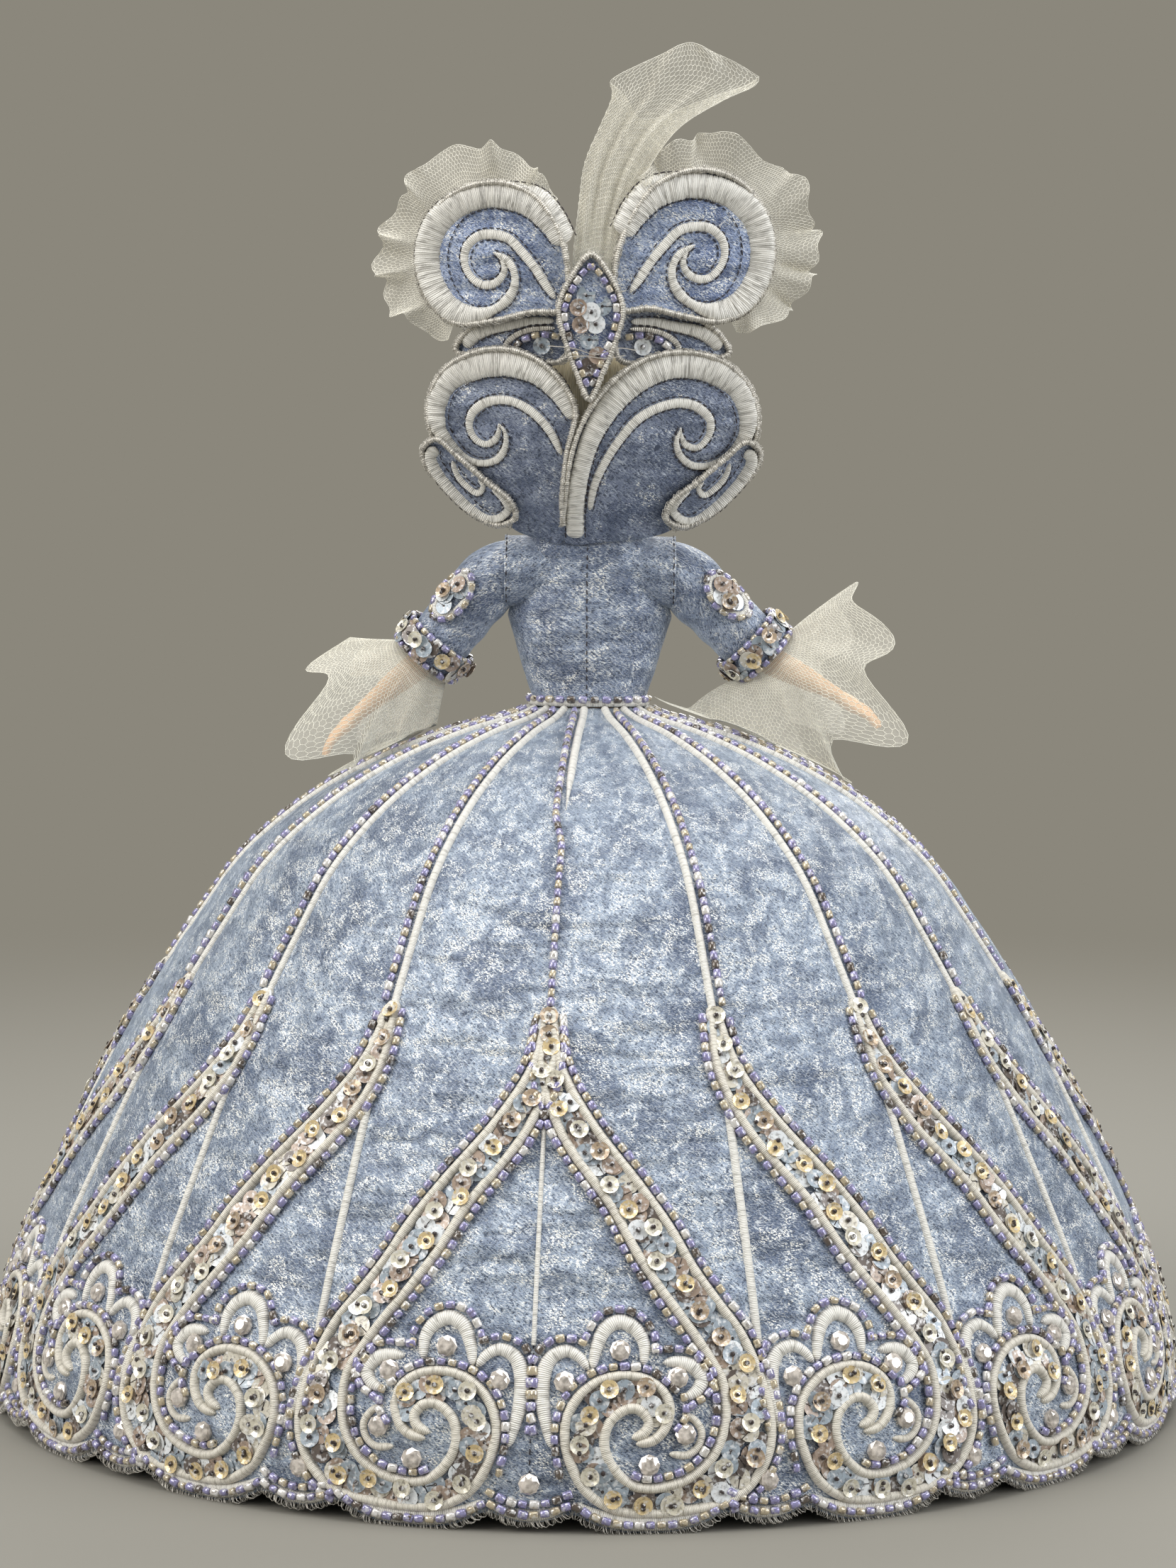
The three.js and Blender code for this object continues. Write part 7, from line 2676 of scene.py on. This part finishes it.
@dataclass
class Arm:
    """A vinyl arm with an open hand."""

    side: Side
    looks: Looks

    def build(self) -> None:
        """Make the arm."""
        s, at = self.side.sign, arm_points(self.side)
        bend, elbow, wrist, palm, tip = (at[k] for k in ("bend", "elbow", "wrist", "palm", "tip"))
        route = [
            (s * 16.5, 0, SHOULDER_HEIGHT), (s * 23, 0, SHOULDER_HEIGHT),
            (s * 27.5, 0.2, SHOULDER_HEIGHT - 2.6), bend, bend + (elbow - bend) * 0.55, elbow,
            elbow + (wrist - elbow) * 0.5, wrist,
            wrist + (palm - wrist) * 0.5, palm, palm + (tip - palm) * 0.26,
        ]
        sizes = [
            (6.4, 6.4), (6.5, 6.4), (6.1, 6), (5.5, 5.4), (4.9, 4.8), (4.3, 4.2), (3.7, 3.5), (2.5, 2.2),
            (3.0, 2.0), (3.8, 1.9), (3.6, 1.4),
        ]
        skin = MeshBuffer()
        wide = np.array([0.0, 1.0, 0.35])
        limb(skin, np.array([tuple(p) for p in route]), sizes, wide)
        forward = unit(tip - palm)
        across = unit(wide - forward * float(forward @ wide))
        down = np.cross(forward, across)
        down = down if down[2] < 0 else -down
        finger = [(1.05, 1.0), (0.98, 0.95), (0.86, 0.84), (0.62, 0.6)]
        for i, (length, spread) in enumerate(((6.6, -0.16), (8.2, -0.04), (8.6, 0.05), (7.6, 0.17))):
            root = palm + (tip - palm) * 0.22 + across * (i - 1.5) * 1.85
            heading = unit(forward + across * spread)
            bends = ((0.0, 0.0), (0.4, -0.1), (0.72, 0.5), (1.0, 1.2))
            knuckles = [root + heading * length * share + down * drop for share, drop in bends]
            limb(skin, np.array(knuckles), finger, across, 4)
        thumb = [
            wrist + (palm - wrist) * 0.55 + across * 1.6, palm + across * 3.6 - forward * 0.6,
            palm + across * 5.2 + forward * 2.2 + down * 0.4,
            palm + across * 5.7 + forward * 4.6 + down * 0.9,
        ]
        limb(skin, np.array(thumb), [(1.5, 1.5), (1.35, 1.3), (1.1, 1.05), (0.75, 0.7)], forward, 4)
        name = self.side.value
        arm = skin.build(f"arm_skin_{name}", self.looks["vinyl"], f"arm_{name}", "vinyl")
        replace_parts(arm, f"arm_{name}")


@dataclass
class Crinoline:
    """Tapes and waistband that hold the hoops."""

    bell: Bell
    looks: Looks
    tapes: int = 6

    def build(self) -> None:
        """Make the tapes and the band."""
        buffer = MeshBuffer()
        arc = np.linspace(self.bell.length - 2, self.bell.arc(24.0), 60)
        half = np.where(arc > self.bell.length - 14, 1.4, 3.0)
        z = self.bell.height(arc)
        section = ((-1.0, -1.75), (1.0, -1.75), (1.0, -2.25), (-1.0, -2.25), (-1.0, -1.75))
        uv = np.stack([np.stack([s * half, arc], axis=-1) for s, _ in section], axis=1)
        for i in range(self.tapes):
            middle = SKIRT_TWIST + 60.0 * i + 5.0
            rows = []
            for s, depth in section:
                spots = np.stack([middle + np.degrees(s * half / self.bell.radius(z)), arc], axis=-1)
                rows.append(self.bell.place(spots, depth - self.bell.puff(spots[:, 0], z)))
            buffer.grid(np.stack(rows, axis=1), uv, flip=True)
        turn = np.linspace(-np.pi, np.pi, 97)
        outline = ((0.35, 185.6), (0.35, 189.6), (1.0, 189.6), (1.0, 185.6), (0.35, 185.6))
        points = np.stack([trunk_ring(np.full_like(turn, height), turn, out) for out, height in outline])
        uv = np.stack([np.broadcast_to(turn * 13.5, points.shape[:2]), points[..., 2]], axis=-1)
        buffer.grid(points, uv, flip=True)
        tapes = buffer.build("crinoline_frame", self.looks["tape"], "doll", "tape")
        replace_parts(tapes, "crinoline_band", *(f"crinoline_tape_{i + 1}" for i in range(self.tapes)))


def dress_node(name: str, material: Material, angle: float = 40.0) -> None:
    """Give a CAD node its finish.

    Args:
        name: The node.
        material: The finish.
        angle: Edges that turn more than this, in degrees, stay sharp.
    """
    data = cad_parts[name].data
    data.materials.clear()
    data.materials.append(material)
    data.polygons.foreach_set("use_smooth", np.ones(len(data.polygons), bool))
    data.set_sharp_from_angle(angle=math.radians(angle))
    data.update()


@dataclass(frozen=True)
class Studio:
    """Floor, backdrop, lights and camera; places and sizes are in metres, and turns in degrees."""

    distance: float = 0.966
    height: float = 0.227
    pitch: float = 3.49
    roll: float = 0.56
    lens: float = 104.85
    paper: Point = srgb(131, 128, 119)
    backdrop: Point = srgb(139, 135, 124)

    def build(self) -> None:
        """Make the studio."""
        self._floor()
        self._light("key", (-1.4, -0.75, 1.1), 1.1, 20.0, (1.0, 0.98, 0.95))
        self._light("fill", (1.5, -0.6, 0.85), 1.1, 17.0, (0.95, 0.97, 1.0))
        self._light("top", (0.0, -0.1, 1.6), 1.2, 17.0, (1.0, 1.0, 1.0))
        self._light("front", (0.3, 1.4, 0.9), 1.0, 10.0, (1.0, 0.99, 0.97))
        self._room()
        self._camera()

    def _floor(self) -> None:
        """Make the floor, a disc that fades into the backdrop's colour far from the doll."""
        rings = turned([(radius, 0.0) for radius in (6000, 2500, 1200, 600, 250, 60)], circle(72))
        buffer = MeshBuffer()
        buffer.grid(rings, wrap=True)
        buffer.fan(rings[-1])
        s = Shader("paper", Roughness=0.9, Base_Color=self.paper)
        away = s.add("VectorMath", {0: s.inside()}, operation="LENGTH").outputs["Value"]
        far = s.add("MapRange", {0: away, 1: 0.3, 2: 1.3}, interpolation_type="SMOOTHSTEP").outputs[0]
        glow = s.add("Emission", {"Color": self.backdrop, "Strength": 1.0}).outputs[0]
        share = s.math("MULTIPLY", self._seen(s), far)
        blend = s.add("MixShader", {0: share, 1: s.surface.outputs[0], 2: glow}).outputs[0]
        s.put(s.tree.nodes["Material Output"].inputs["Surface"], blend)
        floor = helper("paper_floor", buffer.mesh("paper_floor"))
        floor.data.materials.append(s.material)

    @staticmethod
    def _seen(tree: Tree) -> Socket:
        """Tell where the backdrop is seen, also in gloss and through glass.

        Args:
            tree: The node tree.

        Returns:
            1 where it is seen and 0 where it lights.
        """
        path = tree.add("LightPath").outputs
        seen = tree.math("MAXIMUM", path["Is Camera Ray"], path["Is Glossy Ray"])
        return tree.math("MAXIMUM", seen, path["Is Transmission Ray"])

    @staticmethod
    def _light(name: str, place: Point, size: float, power: float, colour: Point) -> None:
        """Make a soft square light that looks at the doll.

        Args:
            name: Its name.
            place: Where it is.
            size: Its side.
            power: Its power in watts.
            colour: Its colour.
        """
        lamp = bpy.data.lights.new(name, "AREA")
        lamp.shape = "SQUARE"
        lamp.size = size
        lamp.energy = power
        lamp.color = colour
        obj = helper(name, lamp)
        obj.location = place
        obj.rotation_euler = (Vector((0.0, 0.0, 0.15)) - Vector(place)).to_track_quat("-Z", "Y").to_euler()

    def _room(self) -> None:
        """Make the room's own light and the backdrop."""
        world = bpy.data.worlds.new("room")
        world.use_nodes = True
        tree = Tree(world.node_tree)
        light = tree.tree.nodes["Background"]
        tree.put(light.inputs["Color"], (0.92, 0.94, 0.96, 1.0))
        tree.put(light.inputs["Strength"], 0.5)
        back = tree.add("Background", {"Color": self.backdrop}).outputs[0]
        blend = tree.add("MixShader", {0: self._seen(tree), 1: light.outputs[0], 2: back}).outputs[0]
        tree.put(tree.tree.nodes["World Output"].inputs["Surface"], blend)
        bpy.context.scene.world = world
        bpy.context.scene.view_settings.view_transform = "Standard"

    def _camera(self) -> None:
        """Make the camera that took the photograph."""
        data = bpy.data.cameras.new("camera")
        data.lens = self.lens
        data.sensor_fit = "HORIZONTAL"
        data.sensor_width = 36.0
        data.clip_start, data.clip_end = 0.01, 20.0
        obj = helper("camera", data)
        tilt = Matrix.Rotation(math.radians(90 - self.pitch), 4, "X")
        turn = tilt @ Matrix.Rotation(math.radians(self.roll), 4, "Z")
        obj.matrix_world = Matrix.Translation((0.0, -self.distance, self.height)) @ turn
        bpy.context.scene.camera = obj


class Doll:
    """The whole doll."""

    def build(self) -> None:
        """Make every piece, and give the CAD nodes that stay their finish."""
        looks = {finish.name: finish.build() for finish in FINISHES}
        bell = Bell()
        net = netting_tree()
        Skirt(bell, looks).build()
        Crinoline(bell, looks).build()
        Bodice(looks).build()
        shop = Haberdashery(looks)
        for side in Side:
            sleeve = Sleeve(side, bell, looks, net)
            sleeve.build()
            SleeveNeedlework(sleeve, looks, shop).build()
            Arm(side, looks).build()
        Head(looks).build()
        StandingCollar(looks, net).build()
        SkirtNeedlework(bell, looks, shop).build()
        CollarNeedlework(looks, shop).build()
        BodiceNeedlework(looks, shop).build()
        shop.clear()
        dress_node("torso", looks["body_plastic"])
        dress_node("neck_knob", looks["body_plastic"])
        for name in ("hoop_lower", "hoop_middle", "hoop_upper"):
            dress_node(name, looks["wire_cover"], 80)
        dress_node("hip_axle", looks["steel"])
        for side in Side:
            dress_node(f"leg_{side.value}", looks["vinyl"])
            dress_node(f"shoe_{side.value}", looks["shoe"])


def main() -> None:
    """Build the scene."""
    logging.basicConfig(level=logging.INFO, format="%(message)s")
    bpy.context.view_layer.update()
    Doll().build()
    Studio().build()


if __name__ == "__main__":
    main()
